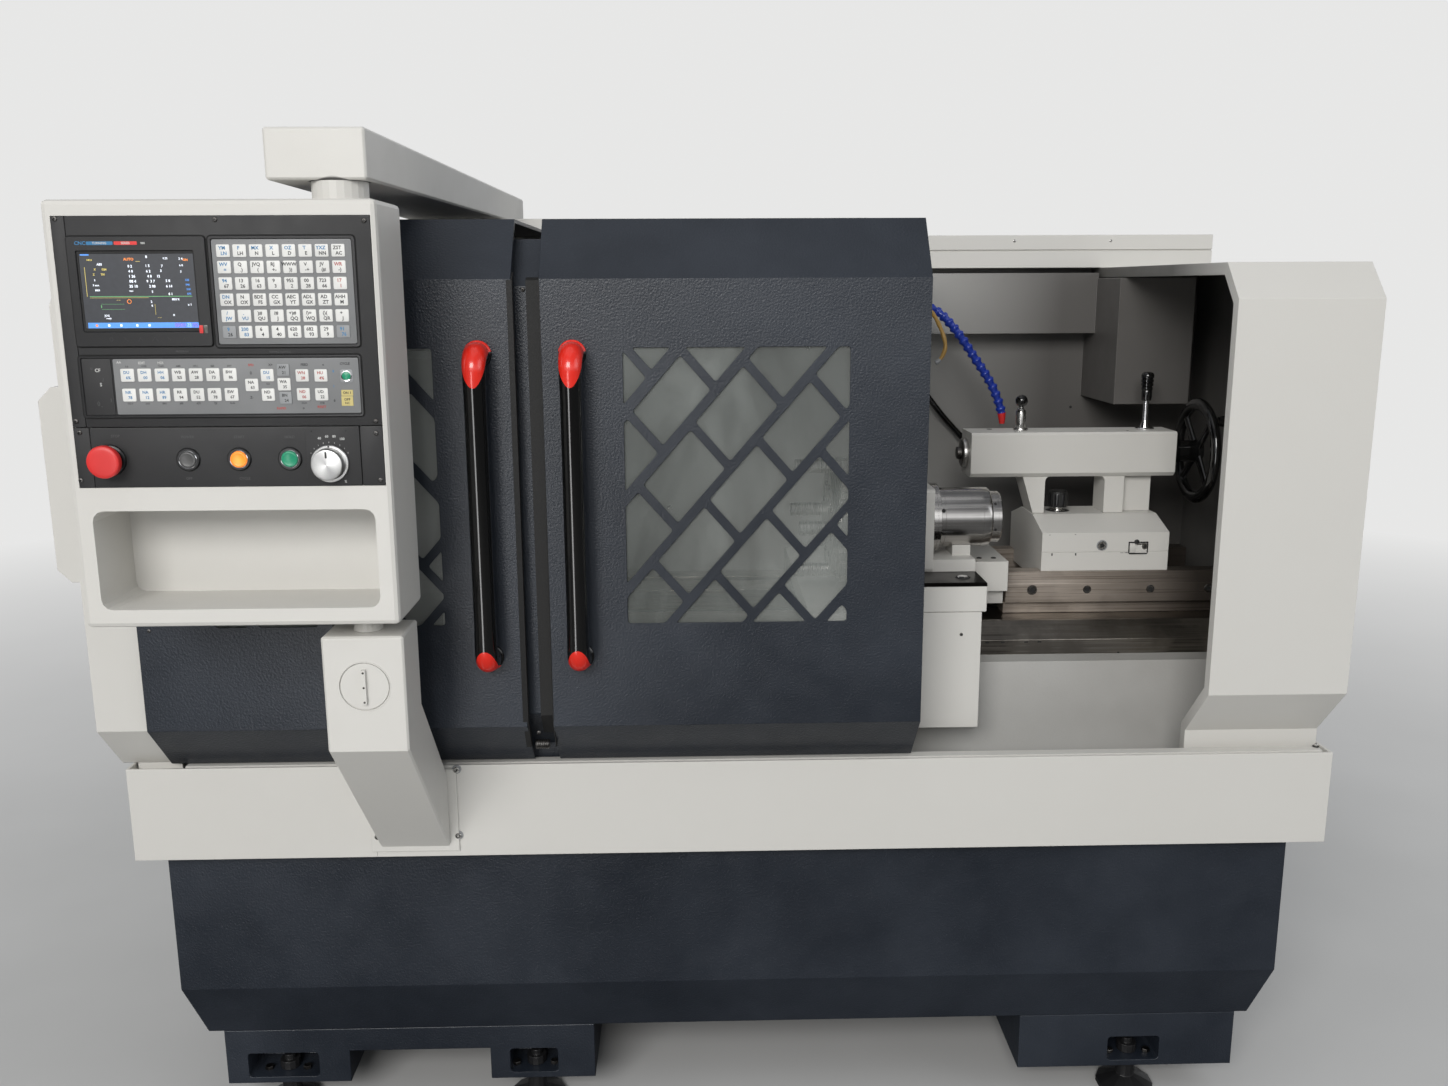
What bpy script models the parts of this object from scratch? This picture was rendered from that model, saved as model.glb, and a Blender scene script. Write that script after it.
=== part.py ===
"""Flat-bed turning lathe with a sliding-door guard, modelled as the separate pieces it is built from."""

import math

import bmesh
import bpy
from mathutils import Matrix, Vector

# Driving dimensions, in metres. X runs from the left end of the chip tray to its right end, Y from the
# plane of the door fronts to the back of the machine, Z up from the floor.
GAP = 0.0003
CUT_OVERRUN = 0.02
SHEET = 0.003

# Chip tray
TRAY_LENGTH = 2.041
TRAY_DEPTH = 0.872
TRAY_FRONT_Y = 0.058
TRAY_BOTTOM_Z = 0.540
TRAY_HEIGHT = 0.164
TRAY_FLOOR = 0.005
LEDGE_DROP = 0.014
LEDGE_DEPTH = 0.054

# Base cabinet and its foot blocks
BASE_INSET_LEFT = 0.041
BASE_INSET_RIGHT = 0.051
BASE_SETBACK = 0.030
BASE_REAR_SETBACK = 0.030
BASE_BOTTOM_Z = 0.169
BASE_CHAMFER_HEIGHT = 0.111
BASE_CHAMFER_DEPTH = 0.045
BASE_CHAMFER_WIDTH = 0.022
BASE_WALL = 0.006
BASE_FLOOR = 0.012
FOOT_HEIGHT = 0.107
FOOT_LEFT_START = 0.090
FOOT_LEFT_LENGTH = 0.671
FOOT_RIGHT_START = 1.545
FOOT_RIGHT_LENGTH = 0.400
FOOT_ARCH_START = 0.314
FOOT_ARCH_LENGTH = 0.256
FOOT_ARCH_HEIGHT = 0.062
POCKET_FLOOR = 0.012
POCKET_HEIGHT = 0.048
POCKET_DEPTH = 0.072
POCKET_RADIUS = 0.006
POCKET_CENTRES = (0.193, 0.6495, 1.760)
POCKET_LENGTHS = (0.128, 0.087, 0.096)
LEVELLER_INSET = 0.036
LEVELLER_PAD_RADIUS = 0.052
LEVELLER_PAD_EDGE = 0.008
LEVELLER_PAD_HEIGHT = 0.024
LEVELLER_NECK_RADIUS = 0.017
LEVELLER_STEM_RADIUS = 0.010
LEVELLER_NUT_RADIUS = 0.018
LEVELLER_NUT_HEIGHT = 0.016
LEVELLER_STEM_ABOVE = 0.020

# Guard doors
LEFT_DOOR_START = 0.069
LEFT_DOOR_WIDTH = 0.610
DOOR_GAP = 0.0425
RIGHT_DOOR_WIDTH = 0.598
DOOR_BOTTOM_Z = 0.706
DOOR_LOWER_CHAMFER_Z = 0.791
DOOR_UPPER_CHAMFER_Z = 1.5015
DOOR_TOP_Z = 1.593
DOOR_BOTTOM_SET = 0.078
DOOR_TOP_SET = 0.073
DOOR_ROOF_REAR_Y = 0.765
DOOR_HEM = 0.006
WINDOW_MARGIN = 0.124
WINDOW_BOTTOM_Z = 0.9625
WINDOW_TOP_Z = 1.3985
PANE_MARGIN = 0.016
PANE_THICKNESS = 0.004
LATTICE_BAR = 0.0130
LATTICE_PITCH = 0.1146
LATTICE_RUN_ANGLE = math.radians(52.0)
LATTICE_CROSS_ANGLE = math.radians(-47.0)
LATTICE_CROSS_STEP = 0.1300
LATTICE_CROSS_SHIFT = 0.0490
LATTICE_START_X = 0.1480
LATTICE_START_Z = 0.4030
LATTICE_CORNER = 0.007
LATTICE_SMALLEST = 0.010
HANDLE_STANDOFF = 0.040
HANDLE_RADIUS = 0.0140
HANDLE_BOTTOM_Z = 0.912
HANDLE_TOP_Z = 1.388
HANDLE_END_LENGTH = 0.021
HANDLE_POST_RADIUS = 0.0126
HANDLE_EDGE_LEFT = 0.054
HANDLE_EDGE_RIGHT = 0.0475

# Lower door rail and upper beam
RAIL_Y = 0.070
RAIL_DEPTH = 0.022
RAIL_END_INSET = 0.012
BEAM_FRONT_Y = 0.700
BEAM_DEPTH = 0.100
BEAM_BOTTOM_Z = 1.5236
BEAM_GROOVE_Z = 1.557
BEAM_GROOVE = 0.004
BEAM_GROOVE_HEIGHT = 0.003

# End covers
COVER_TOP_Z = 1.5233
COVER_SHOULDER_Z = 1.467
COVER_SHOULDER_DEPTH = 0.052
RIGHT_COVER_START = 1.801
RIGHT_COVER_END = 2.0335
RIGHT_COVER_FRONT_Y = 0.020
RIGHT_COVER_KNEE_Z = 0.822
RIGHT_COVER_SHIN_Z = 0.731
RIGHT_COVER_SHIN_Y = 0.104
COVER_LIP = 0.020
LEFT_COVER_START = -0.018
LEFT_COVER_END = 0.082
LEFT_COVER_FRONT_Y = 0.014
LEFT_COVER_KNEE_Z = 0.787
LEFT_COVER_SHIN_Z = 0.7055
LEFT_COVER_FOOT_X = 0.008
GEAR_COVER_OUT = 0.088
GEAR_COVER_FRONT_Y = 0.120
GEAR_COVER_REAR_Y = 0.620
GEAR_COVER_BOTTOM_Z = 1.011
GEAR_COVER_TOP_Z = 1.335
GEAR_COVER_CHAMFER = 0.022
MULLION_START = 0.660
MULLION_WIDTH = 0.075
MULLION_SET = 0.030
MULLION_DEPTH = 0.012

# Rear guard with its junction box and cable trunking
GUARD_Y = 0.752
GUARD_FOLD = 0.024
TRUNKING_START = 0.560
TRUNKING_FRONT_Y = 0.680
TRUNKING_BOTTOM_Z = 1.390
TRUNKING_TOP_Z = 1.513
JUNCTION_START = 1.791
JUNCTION_LENGTH = 0.150
JUNCTION_FRONT_Y = 0.540
JUNCTION_BOTTOM_Z = 1.255
JUNCTION_TOP_Z = 1.502

# Bed and ways
BED_START = 0.110
BED_END = 1.965
BED_WALL = 0.030
BED_FRONT_Y = 0.245
BED_REAR_Y = 0.695
WAY_FRONT_Y = 0.228
WAY_EDGE_Z = 0.835
WAY_FOOT_Z = 0.861
WAY_APEX_Z = 0.890
WAY_APEX_FLAT = 0.007
WAY_BACK_FOOT_Z = 0.870
WAY_NECK_Z = 0.815
SEAT_START_Y = 0.300
SEAT_END_Y = 0.385
SEAT_Z = 0.880
SEAT_UNDER_Z = 0.840
SEAT_HAUNCH_Z = 0.800
REAR_WAY_START_Y = 0.656
REAR_WAY_END_Y = 0.712
REAR_WAY_Z = 0.885
RIB_THICKNESS = 0.020
RIB_COUNT = 5
RIB_TOP_Z = 0.760
RIB_WINDOW_EDGE = 0.060
BEARING_RIB_Z = 0.855
HEAD_PAD_END = 0.512
HEAD_PAD_Z = 0.8927
HEAD_PAD_UNDER_Z = 0.800

# Spindle line
AXIS_Y = 0.470
AXIS_Z = 1.170
HEAD_START = 0.116
HEAD_END = 0.500
HEAD_FRONT_Y = 0.255
HEAD_REAR_Y = 0.685
HEAD_ABOVE_AXIS = 0.195
HEAD_CHAMFER = 0.050
HEAD_FOOT_HEIGHT = 0.060
HEAD_WAIST = 0.020
HEAD_RING_RADIUS = 0.085
HEAD_RING_DEPTH = 0.0045
SPINDLE_RADIUS = 0.045
SPINDLE_CLEAR = 0.0007
SPINDLE_BORE = 0.026
SPINDLE_START = 0.052
SPINDLE_FLANGE_RADIUS = 0.070
SPINDLE_FLANGE = 0.020
CHUCK_RADIUS = 0.125
CHUCK_LENGTH = 0.080
CHUCK_BORE = 0.030
CHUCK_EDGE = 0.004
CHUCK_KEYHOLE = 0.008
CHUCK_KEYHOLE_DEPTH = 0.025
CHUCK_KEYHOLE_SHARE = 0.4
JAW_COUNT = 3
JAW_WIDTH = 0.026
JAW_SLOT_DEPTH = 0.020
JAW_INNER = 0.038
JAW_OUTER = 0.110
JAW_HEIGHT = 0.048
JAW_STEP_SHARES = ((0.0, 1.0), (0.34, 1.0), (0.34, 0.66), (0.67, 0.66), (0.67, 0.33), (1.0, 0.33))
PULLEY_START = 0.056
PULLEY_WIDTH = 0.048
SPINDLE_PULLEY_RADIUS = 0.090
MOTOR_PULLEY_RADIUS = 0.060
PULLEY_GROOVES = 3
PULLEY_GROOVE_DEPTH = 0.006
PULLEY_LAND = 0.005
BELT_THICKNESS = 0.008
BELT_INSET = 0.004
BELT_CLEAR = 0.0012
MOTOR_Y = 0.600
MOTOR_Z = 0.345
MOTOR_START = 0.128
MOTOR_LENGTH = 0.330
MOTOR_RADIUS = 0.100
MOTOR_FLANGE_RADIUS = 0.118
MOTOR_FLANGE = 0.014
MOTOR_SHAFT_RADIUS = 0.019
MOTOR_FOOT_WIDTH = 0.180
MOTOR_FOOT_HEIGHT = 0.060
MOTOR_FIN_COUNT = 4
MOTOR_FIN_DEPTH = 0.008
BELT_SLOT_START = 0.050
BELT_SLOT_WIDTH = 0.058
BELT_SLOT_FRONT_Y = 0.350
BELT_SLOT_REAR_Y = 0.700

# Carriage drive
SCREW_Y = 0.420
SCREW_Z = 0.815
SCREW_RADIUS = 0.016
SCREW_JOURNAL = 0.010
SCREW_START = 0.524
BEARING_LEFT_START = 0.530
BEARING_RIGHT_START = 1.750
SCREW_END = 1.790
DRIVE_LENGTH = 0.130
DRIVE_SIDE = 0.068
DRIVE_REAR_LENGTH = 0.030
DRIVE_REAR_SIDE = 0.056

# Carriage
SADDLE_START = 1.150
SADDLE_END = 1.455
SADDLE_FRONT_Y = 0.190
SADDLE_REAR_Y = 0.725
SADDLE_FRONT_Z = 0.845
SADDLE_TOP_Z = 0.9345
SADDLE_UNDER_Z = 0.900
WAY_CLEAR = 0.0005
WING_START = 1.4635
WING_END = 1.5345
WING_FRONT_Y = 0.310
WING_REAR_Y = 0.620
WING_TOP_Z = 0.988
NUT_START = 1.285
NUT_LENGTH = 0.060
NUT_WIDTH = 0.056
NUT_DROP = 0.150
APRON_START = 1.145
APRON_END = 1.450
APRON_FRONT_Y = 0.150
APRON_BOTTOM_Z = 0.725
SLIDE_START = 1.276
SLIDE_END = 1.458
SLIDE_FRONT_Y = 0.150
SLIDE_REAR_Y = 0.620
SLIDE_TOP_Z = 0.987

# Turret
TURRET_Y = 0.300
TURRET_Z = 1.075
TURRET_BOX_START = 1.278
TURRET_BOX_END = 1.379
TURRET_BOX_WIDTH = 0.136
TURRET_BOX_TOP_Z = 1.137
TURRET_SHOE_END = 1.455
TURRET_SHOE_HEIGHT = 0.022
TURRET_CRADLE_START = 1.420
TURRET_CRADLE_LENGTH = 0.036
TURRET_CRADLE_WIDTH = 0.060
TURRET_CRADLE_CLEAR = 0.004
DRUM_RING_RADIUS = 0.0625
DRUM_RING_LENGTH = 0.0150
DRUM_RADIUS = 0.0540
DRUM_LENGTH = 0.0940
DRUM_CAP_RADIUS = 0.0465
DRUM_CAP_LENGTH = 0.0190
DRUM_EDGE = 0.003
DISC_START = 1.196
DISC_LENGTH = 0.070
DISC_ACROSS_FLATS = 0.180
DISC_STATIONS = 8
DISC_HUB_RADIUS = 0.045
DISC_HUB_LENGTH = 0.0115
TOOL_REACH = 0.130
TOOL_SIDE = 0.020
TOOL_BLOCK_SIDE = 0.044
TOOL_BLOCK_HEIGHT = 0.018
BORING_BAR_RADIUS = 0.0125
BORING_BAR_LENGTH = 0.060

# Tailstock
TAIL_RAIL_START = 1.536
TAIL_RAIL_FRONT_Y = 0.330
TAIL_RAIL_FOOT_Y = 0.345
TAIL_RAIL_FOOT_Z = 0.904
TAIL_RAIL_SHOULDER_Z = 0.940
TAIL_RAIL_TOP_Z = 0.959
TAIL_TIE_LENGTH = 0.022
TAIL_TIE_Z = 0.915
TAIL_BASE_START = 1.6075
TAIL_BASE_END = 1.8485
TAIL_BASE_FRONT_Y = 0.353
TAIL_BASE_HEIGHT = 0.0352
TAIL_SEAM = 0.0015
TAIL_SEAM_DEPTH = 0.0015
TAIL_TONGUE = 0.024
TAIL_FOOT_Z = 1.032
TAIL_SHOULDER_Z = 1.055
BARREL_START = 1.484
BARREL_END = 1.880
BARREL_SIDE = 0.086
BARREL_TOP_CHAMFER = 0.004
BARREL_LOW_CHAMFER = 0.008
LEG_SETBACK = 0.010
LEFT_LEG_TOP_X = 1.588
LEFT_LEG_FOOT_X = 1.610
LEG_WINDOW_START = 1.632
LEG_WINDOW_END = 1.748
LEG_WINDOW_RADIUS = 0.010
RIGHT_LEG_END = 1.844
RIGHT_LEG_FLARE_X = 1.768
RIGHT_LEG_WAIST_X = 1.786
QUILL_RADIUS = 0.0245
QUILL_OUT = 0.020
QUILL_END = 1.780
QUILL_COLLAR_RADIUS = 0.0285
QUILL_COLLAR_LENGTH = 0.0105
QUILL_NOSE_RADIUS = 0.012
QUILL_NOSE_LENGTH = 0.009
QUILL_BORE = 0.0088
QUILL_BORE_DEPTH = 0.180
BARREL_BORE_END = 1.800
TAIL_SCREW_RADIUS = 0.0080
TAIL_SCREW_START = 1.640
HANDWHEEL_HUB_START = 1.8803
HANDWHEEL_HUB_RADIUS = 0.022
HANDWHEEL_HUB_LENGTH = 0.064
HANDWHEEL_X = 1.936
HANDWHEEL_RADIUS = 0.1025
HANDWHEEL_RIM_DEPTH = 0.019
HANDWHEEL_RIM_WIDTH = 0.024
HANDWHEEL_SPOKES = 4
SPOKE_WIDTH = 0.018
SPOKE_THICKNESS = 0.011
GRIP_RADIUS = 0.011
GRIP_LENGTH = 0.055
CLAMP_X = 1.588
CLAMP_FLANGE_RADIUS = 0.014
CLAMP_FLANGE = 0.005
CLAMP_SLEEVE_RADIUS = 0.0095
CLAMP_SLEEVE_HEIGHT = 0.040
CLAMP_NECK_RADIUS = 0.005
CLAMP_BALL_RADIUS = 0.0118
LOCK_X = 1.831
LOCK_ROD_RADIUS = 0.0055
LOCK_ROD_HEIGHT = 0.050
LOCK_GRIP_RADIUS = 0.0125
LOCK_GRIP_WAIST = 0.0095
LOCK_GRIP_HEIGHT = 0.056
LOCK_FLANGE_RADIUS = 0.018
CLAMP_KNOB_X = 1.668
CLAMP_KNOB_RADIUS = 0.018
CLAMP_KNOB_HEIGHT = 0.032
CLAMP_KNOB_STEM = 0.009
CLAMP_KNOB_LIFT = 0.008

# Coolant line and pipe, as points on their centre lines
HOSE_RADIUS = 0.0098
HOSE_WAIST = 0.0072
HOSE_SEGMENT = 0.0155
HOSE_NOZZLE_TIP = 0.0052
HOSE_ROUTE = (
    (1.395, 0.6795, 1.433), (1.395, 0.650, 1.433), (1.406, 0.610, 1.446), (1.436, 0.570, 1.440),
    (1.472, 0.555, 1.404), (1.512, 0.550, 1.348), (1.548, 0.548, 1.293), (1.567, 0.546, 1.245),
    (1.570, 0.545, 1.218),
)
PIPE_RADIUS = 0.0065
PIPE_ROUTE = (
    (1.380, 0.7515, 1.352), (1.380, 0.735, 1.352), (1.394, 0.727, 1.336), (1.440, 0.727, 1.276),
    (1.482, 0.727, 1.222), (1.520, 0.727, 1.180), (1.544, 0.728, 1.156), (1.552, 0.735, 1.150),
    (1.552, 0.7515, 1.150),
)

# Electrical cabinet and overhead duct
CABINET_START = 0.330
CABINET_LENGTH = 1.000
CABINET_DEPTH = 0.285
CABINET_RISE = 0.0379
CABINET_WALL = 0.003
CABINET_FRAME = 0.024
CABINET_DOOR = 0.016
CABINET_DOOR_EDGE = 0.004
CABINET_BLOCK_DEPTH = 0.120
CABINET_BLOCK_EDGE = 0.060
CABINET_BLOCK_SHARES = (
    (0.03, 0.58, 0.22, 0.96), (0.28, 0.58, 0.47, 0.96), (0.53, 0.66, 0.95, 0.96),
    (0.03, 0.30, 0.60, 0.50), (0.66, 0.30, 0.95, 0.58), (0.03, 0.05, 0.95, 0.20),
)
LATCH_RADIUS = 0.013
LATCH_OUT = 0.009
LATCH_SHARES = (0.3, 0.7)
DUCT_FRONT_Y = -0.190
DUCT_LEFT_X = 0.386
DUCT_WIDTH = 0.135
DUCT_HEIGHT = 0.068
DUCT_FLARE = 0.042
DUCT_FALL = 0.010
DUCT_EDGE = 0.003

# Operator pendant and its arm
PIVOT_X = 0.4745
PIVOT_Y = -0.1515
PENDANT_LEFT_X = 0.1013
PENDANT_WIDTH = 0.4367
PENDANT_DEPTH = 0.143
PENDANT_FRONT_Y = -0.223
PENDANT_BOTTOM_Z = 1.0253
PENDANT_TOP_Z = 1.605
PENDANT_EDGE = 0.007
NICHE_SIDE = 0.0255
NICHE_BOTTOM = 0.0257
NICHE_HEIGHT = 0.140
NICHE_DEPTH = 0.112
NICHE_RADIUS = 0.015
PANEL_SIDE_LEFT = 0.0131
PANEL_SIDE_RIGHT = 0.0083
PANEL_TOP_EDGE = 0.0215
PANEL_HEIGHT = 0.3595
PANEL_RECESS = 0.006
PANEL_PROUD = 0.001
PANEL_SPLIT = 0.081
PANEL_SEAM = 0.0012
SCREEN_LEFT = 0.0190
SCREEN_WIDTH = 0.1830
SCREEN_TOP = 0.0260
SCREEN_HEIGHT = 0.1455
SCREEN_FRAME = 0.0140
SCREEN_FRAME_TOP = 0.0210
SCREEN_FRAME_WIDE = 0.0280
SCREEN_RISE = 0.0025
KEYPAD_LEFT = 0.2030
KEYPAD_WIDTH = 0.1930
KEYPAD_RISE = 0.0008
MODE_LEFT = 0.0180
MODE_WIDTH = 0.3780
MODE_TOP = 0.1860
MODE_HEIGHT = 0.0760
BUTTON_Z = 1.2620
BUTTON_X = (0.2653, 0.3341, 0.4027)
BUTTON_NAMES = ("grey_button", "orange_button", "green_button")
BUTTON_RADIUS = 0.0110
BUTTON_OUT = 0.0060
BUTTON_TRAVEL = 0.0035
BEZEL_RADIUS = 0.0145
BEZEL_OUT = 0.0030
BEZEL_CLEAR = 0.0004
STOP_X = 0.1604
STOP_RADIUS = 0.0225
STOP_STEM = 0.0110
STOP_OUT = 0.0260
STOP_CAP = 0.0120
STOP_TRAVEL = 0.0050
KNOB_X = 0.4565
KNOB_Z = 1.2550
KNOB_RADIUS = 0.0215
KNOB_SKIRT = 0.0260
KNOB_SKIRT_LENGTH = 0.0035
KNOB_OUT = 0.0200
NECK_RADIUS = 0.038
POST_RADIUS = 0.021
ARM_START = 0.4160
ARM_WIDTH = 0.1180
ARM_TOP_Z = 1.0007
ARM_FRONT_Y = -0.195
ARM_REAR_Y = -0.100
ARM_KNEE_Z = 0.827
ARM_HEEL_Z = 0.869
ARM_FOOT_BOTTOM_Z = 0.559
ARM_FOOT_TOP_Z = 0.6905
ARM_EDGE = 0.003
ARM_PLATE = 0.004
ARM_PLATE_OUT = 0.015
HATCH_RADIUS = 0.0370
HATCH_GROOVE = 0.0020
HATCH_Z = 0.926
HATCH_BAR_LENGTH = 0.052
HATCH_BAR_WIDTH = 0.006
HATCH_BAR_OUT = 0.006

ROUND_STEPS = 24
FINE_ROUND_STEPS = 14
CORNER_STEPS = 3

# Sizes that follow from the driving dimensions
TRAY_TOP_Z = TRAY_BOTTOM_Z + TRAY_HEIGHT
TRAY_REAR_Y = TRAY_FRONT_Y + TRAY_DEPTH
TRAY_FLOOR_Z = TRAY_BOTTOM_Z + TRAY_FLOOR
LEDGE_Z = TRAY_TOP_Z - LEDGE_DROP
BASE_START = BASE_INSET_LEFT
BASE_END = TRAY_LENGTH - BASE_INSET_RIGHT
BASE_FRONT_Y = TRAY_FRONT_Y + BASE_SETBACK
BASE_REAR_Y = TRAY_REAR_Y - BASE_REAR_SETBACK
BASE_TOP_Z = TRAY_BOTTOM_Z - GAP
FOOT_TOP_Z = BASE_BOTTOM_Z - GAP
FOOT_BOTTOM_Z = FOOT_TOP_Z - FOOT_HEIGHT
FOOT_FRONT_Y = BASE_FRONT_Y + BASE_CHAMFER_DEPTH
FOOT_REAR_Y = BASE_REAR_Y - BASE_CHAMFER_DEPTH
LEFT_DOOR_END = LEFT_DOOR_START + LEFT_DOOR_WIDTH
RIGHT_DOOR_START = LEFT_DOOR_END + DOOR_GAP
RIGHT_DOOR_END = RIGHT_DOOR_START + RIGHT_DOOR_WIDTH
BEAM_TOP_Z = DOOR_TOP_Z - SHEET - GAP
CABINET_TOP_Z = DOOR_TOP_Z + CABINET_RISE
HEAD_TOP_Z = AXIS_Z + HEAD_ABOVE_AXIS
GEAR_COVER_START = LEFT_COVER_START - GEAR_COVER_OUT
SPINDLE_FLANGE_START = HEAD_END + HEAD_RING_DEPTH
CHUCK_START = SPINDLE_FLANGE_START + SPINDLE_FLANGE + GAP
CHUCK_FACE = CHUCK_START + CHUCK_LENGTH
PENDANT_REAR_Y = PENDANT_FRONT_Y + PENDANT_DEPTH
PANEL_LEFT_X = PENDANT_LEFT_X + PANEL_SIDE_LEFT
PANEL_RIGHT_X = PENDANT_LEFT_X + PENDANT_WIDTH - PANEL_SIDE_RIGHT
PANEL_TOP_Z = PENDANT_TOP_Z - PANEL_TOP_EDGE
PANEL_BOTTOM_Z = PANEL_TOP_Z - PANEL_HEIGHT
PANEL_FACE_Y = PENDANT_FRONT_Y - PANEL_PROUD
CABINET_FRONT_Y = BEAM_FRONT_Y + BEAM_DEPTH + GAP
CABINET_REAR_Y = CABINET_FRONT_Y + CABINET_DEPTH
CABINET_END = CABINET_START + CABINET_LENGTH
CABINET_BOTTOM_Z = TRAY_TOP_Z + GAP
DOOR_FACE_Y = CABINET_REAR_Y + GAP + CABINET_DOOR
MACHINE_REAR_Y = DOOR_FACE_Y + LATCH_OUT
CENTRE_X = (GEAR_COVER_START + TRAY_LENGTH) / 2
CENTRE_Y = (PANEL_FACE_Y - STOP_OUT + MACHINE_REAR_Y) / 2


def clear_scene():
    """Remove whatever the scene holds, so that the script can be run again."""
    for thing in list(bpy.data.objects):
        bpy.data.objects.remove(thing)


def material(name, colour, roughness, metallic=0.0):
    """Return a Principled material of the given colour."""
    made = bpy.data.materials.new(name)
    made.use_nodes = True
    shader = made.node_tree.nodes["Principled BSDF"]
    shader.inputs["Base Color"].default_value = (*colour, 1.0)
    shader.inputs["Roughness"].default_value = roughness
    shader.inputs["Metallic"].default_value = metallic
    made.diffuse_color = (*colour, 1.0)
    return made


def solid_from(name, bm):
    """Turn a bmesh into an object in the scene, with its faces pointing out."""
    bmesh.ops.recalc_face_normals(bm, faces=bm.faces[:])
    mesh = bpy.data.meshes.new(name)
    bm.to_mesh(mesh)
    bm.free()
    made = bpy.data.objects.new(name, mesh)
    bpy.context.scene.collection.objects.link(made)
    return made


def prism(name, outline, axis, low, high):
    """Extrude a closed outline along an axis: (y, z) for X, (x, z) for Y, (x, y) for Z."""
    places = {
        "X": lambda a, b: (low, a, b),
        "Y": lambda a, b: (a, low, b),
        "Z": lambda a, b: (a, b, low),
    }
    bm = bmesh.new()
    face = bm.faces.new([bm.verts.new(places[axis](a, b)) for a, b in outline])
    grown = bmesh.ops.extrude_face_region(bm, geom=[face])
    shift = Vector([high - low if axis == letter else 0.0 for letter in "XYZ"])
    moved = [part for part in grown["geom"] if isinstance(part, bmesh.types.BMVert)]
    bmesh.ops.translate(bm, verts=moved, vec=shift)
    return solid_from(name, bm)


def block(name, low, high):
    """A rectangular block between two corners."""
    outline = [(low[0], low[1]), (high[0], low[1]), (high[0], high[1]), (low[0], high[1])]
    return prism(name, outline, "Z", low[2], high[2])


def turned(name, profile, axis, centre, steps=ROUND_STEPS, smooth=True):
    """Turn a profile of (distance along the axis, radius) points about an axis through centre."""
    bm = bmesh.new()
    loops = []
    for along, radius in profile:
        if radius <= 0:
            loops.append([bm.verts.new(spot_on(axis, centre, along, 0.0, 0.0))])
            continue
        turns = [math.tau * (step + 0.5) / steps for step in range(steps)]
        ring = [spot_on(axis, centre, along, radius * math.cos(t), radius * math.sin(t)) for t in turns]
        loops.append([bm.verts.new(spot) for spot in ring])
    for first, second in zip(loops, loops[1:]):
        span_loops(bm, first, second)
    for end in (loops[0], loops[-1]):
        if len(end) > 1:
            bm.faces.new(end)
    made = solid_from(name, bm)
    if smooth:
        shade(made)
    return made


def spot_on(axis, centre, along, across, up):
    """A point by its distance along an axis and its two offsets from that axis."""
    a, b = centre
    spots = {
        "X": (along, a + across, b + up),
        "Y": (a + across, along, b + up),
        "Z": (a + across, b + up, along),
    }
    return spots[axis]


def span_loops(bm, first, second):
    """Join two rings with faces; either may be a single point."""
    count = max(len(first), len(second))
    for step in range(count):
        after = (step + 1) % count
        corners = [first[step % len(first)], first[after % len(first)]]
        corners += [second[after % len(second)], second[step % len(second)]]
        face = []
        for corner in corners:
            if corner not in face:
                face.append(corner)
        bm.faces.new(face)


def tube_along(name, route, radii, steps=10):
    """Sweep a round section of changing radius along a route of points."""
    bm = bmesh.new()
    route = [Vector(spot) for spot in route]
    side = Vector((1.0, 0.0, 0.0))
    loops = []
    for index, (spot, radius) in enumerate(zip(route, radii)):
        ahead = route[min(index + 1, len(route) - 1)] - route[max(index - 1, 0)]
        ahead.normalize()
        side = (side - ahead * side.dot(ahead)).normalized()
        other = ahead.cross(side)
        turns = [math.tau * step / steps for step in range(steps)]
        ring = [spot + (side * math.cos(t) + other * math.sin(t)) * radius for t in turns]
        loops.append([bm.verts.new(place) for place in ring])
    for first, second in zip(loops, loops[1:]):
        span_loops(bm, first, second)
    bm.faces.new(loops[0])
    bm.faces.new(loops[-1])
    made = solid_from(name, bm)
    shade(made)
    return made


def smooth_route(points, spacing):
    """Read evenly spaced points from a smooth curve through the given ones."""
    knots = [Vector(point) for point in points]
    fine = []
    share_count = 24
    for index in range(len(knots) - 1):
        before = knots[max(index - 1, 0)]
        start, end = knots[index], knots[index + 1]
        after = knots[min(index + 2, len(knots) - 1)]
        for step in range(share_count):
            t = step / share_count
            fine.append(catmull(before, start, end, after, t))
    fine.append(knots[-1])
    lengths = [0.0]
    for first, second in zip(fine, fine[1:]):
        lengths.append(lengths[-1] + (second - first).length)
    count = max(2, round(lengths[-1] / spacing))
    spots = []
    at = 0
    for step in range(count + 1):
        want = lengths[-1] * step / count
        while at < len(lengths) - 2 and lengths[at + 1] < want:
            at += 1
        share = (want - lengths[at]) / (lengths[at + 1] - lengths[at])
        spots.append(fine[at].lerp(fine[at + 1], share))
    return spots


def catmull(before, start, end, after, t):
    """Catmull-Rom interpolation between start and end."""
    bend = 2 * before - 5 * start + 4 * end - after
    twist = 3 * start - before - 3 * end + after
    return (2 * start + (end - before) * t + bend * t * t + twist * t * t * t) / 2


def shade(thing, angle=math.radians(30)):
    """Shade smooth, and keep edges sharper than the angle."""
    thing.data.shade_smooth()
    thing.data.set_sharp_from_angle(angle=angle)


def combine(target, tools, operation):
    """Run exact booleans of the tools on the target and take the tools away."""
    for tool in tools:
        modifier = target.modifiers.new(operation.lower(), "BOOLEAN")
        modifier.operation = operation
        modifier.solver = "EXACT"
        modifier.object = tool
        graph = bpy.context.evaluated_depsgraph_get()
        result = bpy.data.meshes.new_from_object(target.evaluated_get(graph))
        target.modifiers.clear()
        target.data = result
        bpy.data.objects.remove(tool)
    return target


def cut(target, *tools):
    """Cut the tools out of the target."""
    return combine(target, tools, "DIFFERENCE")


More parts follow.
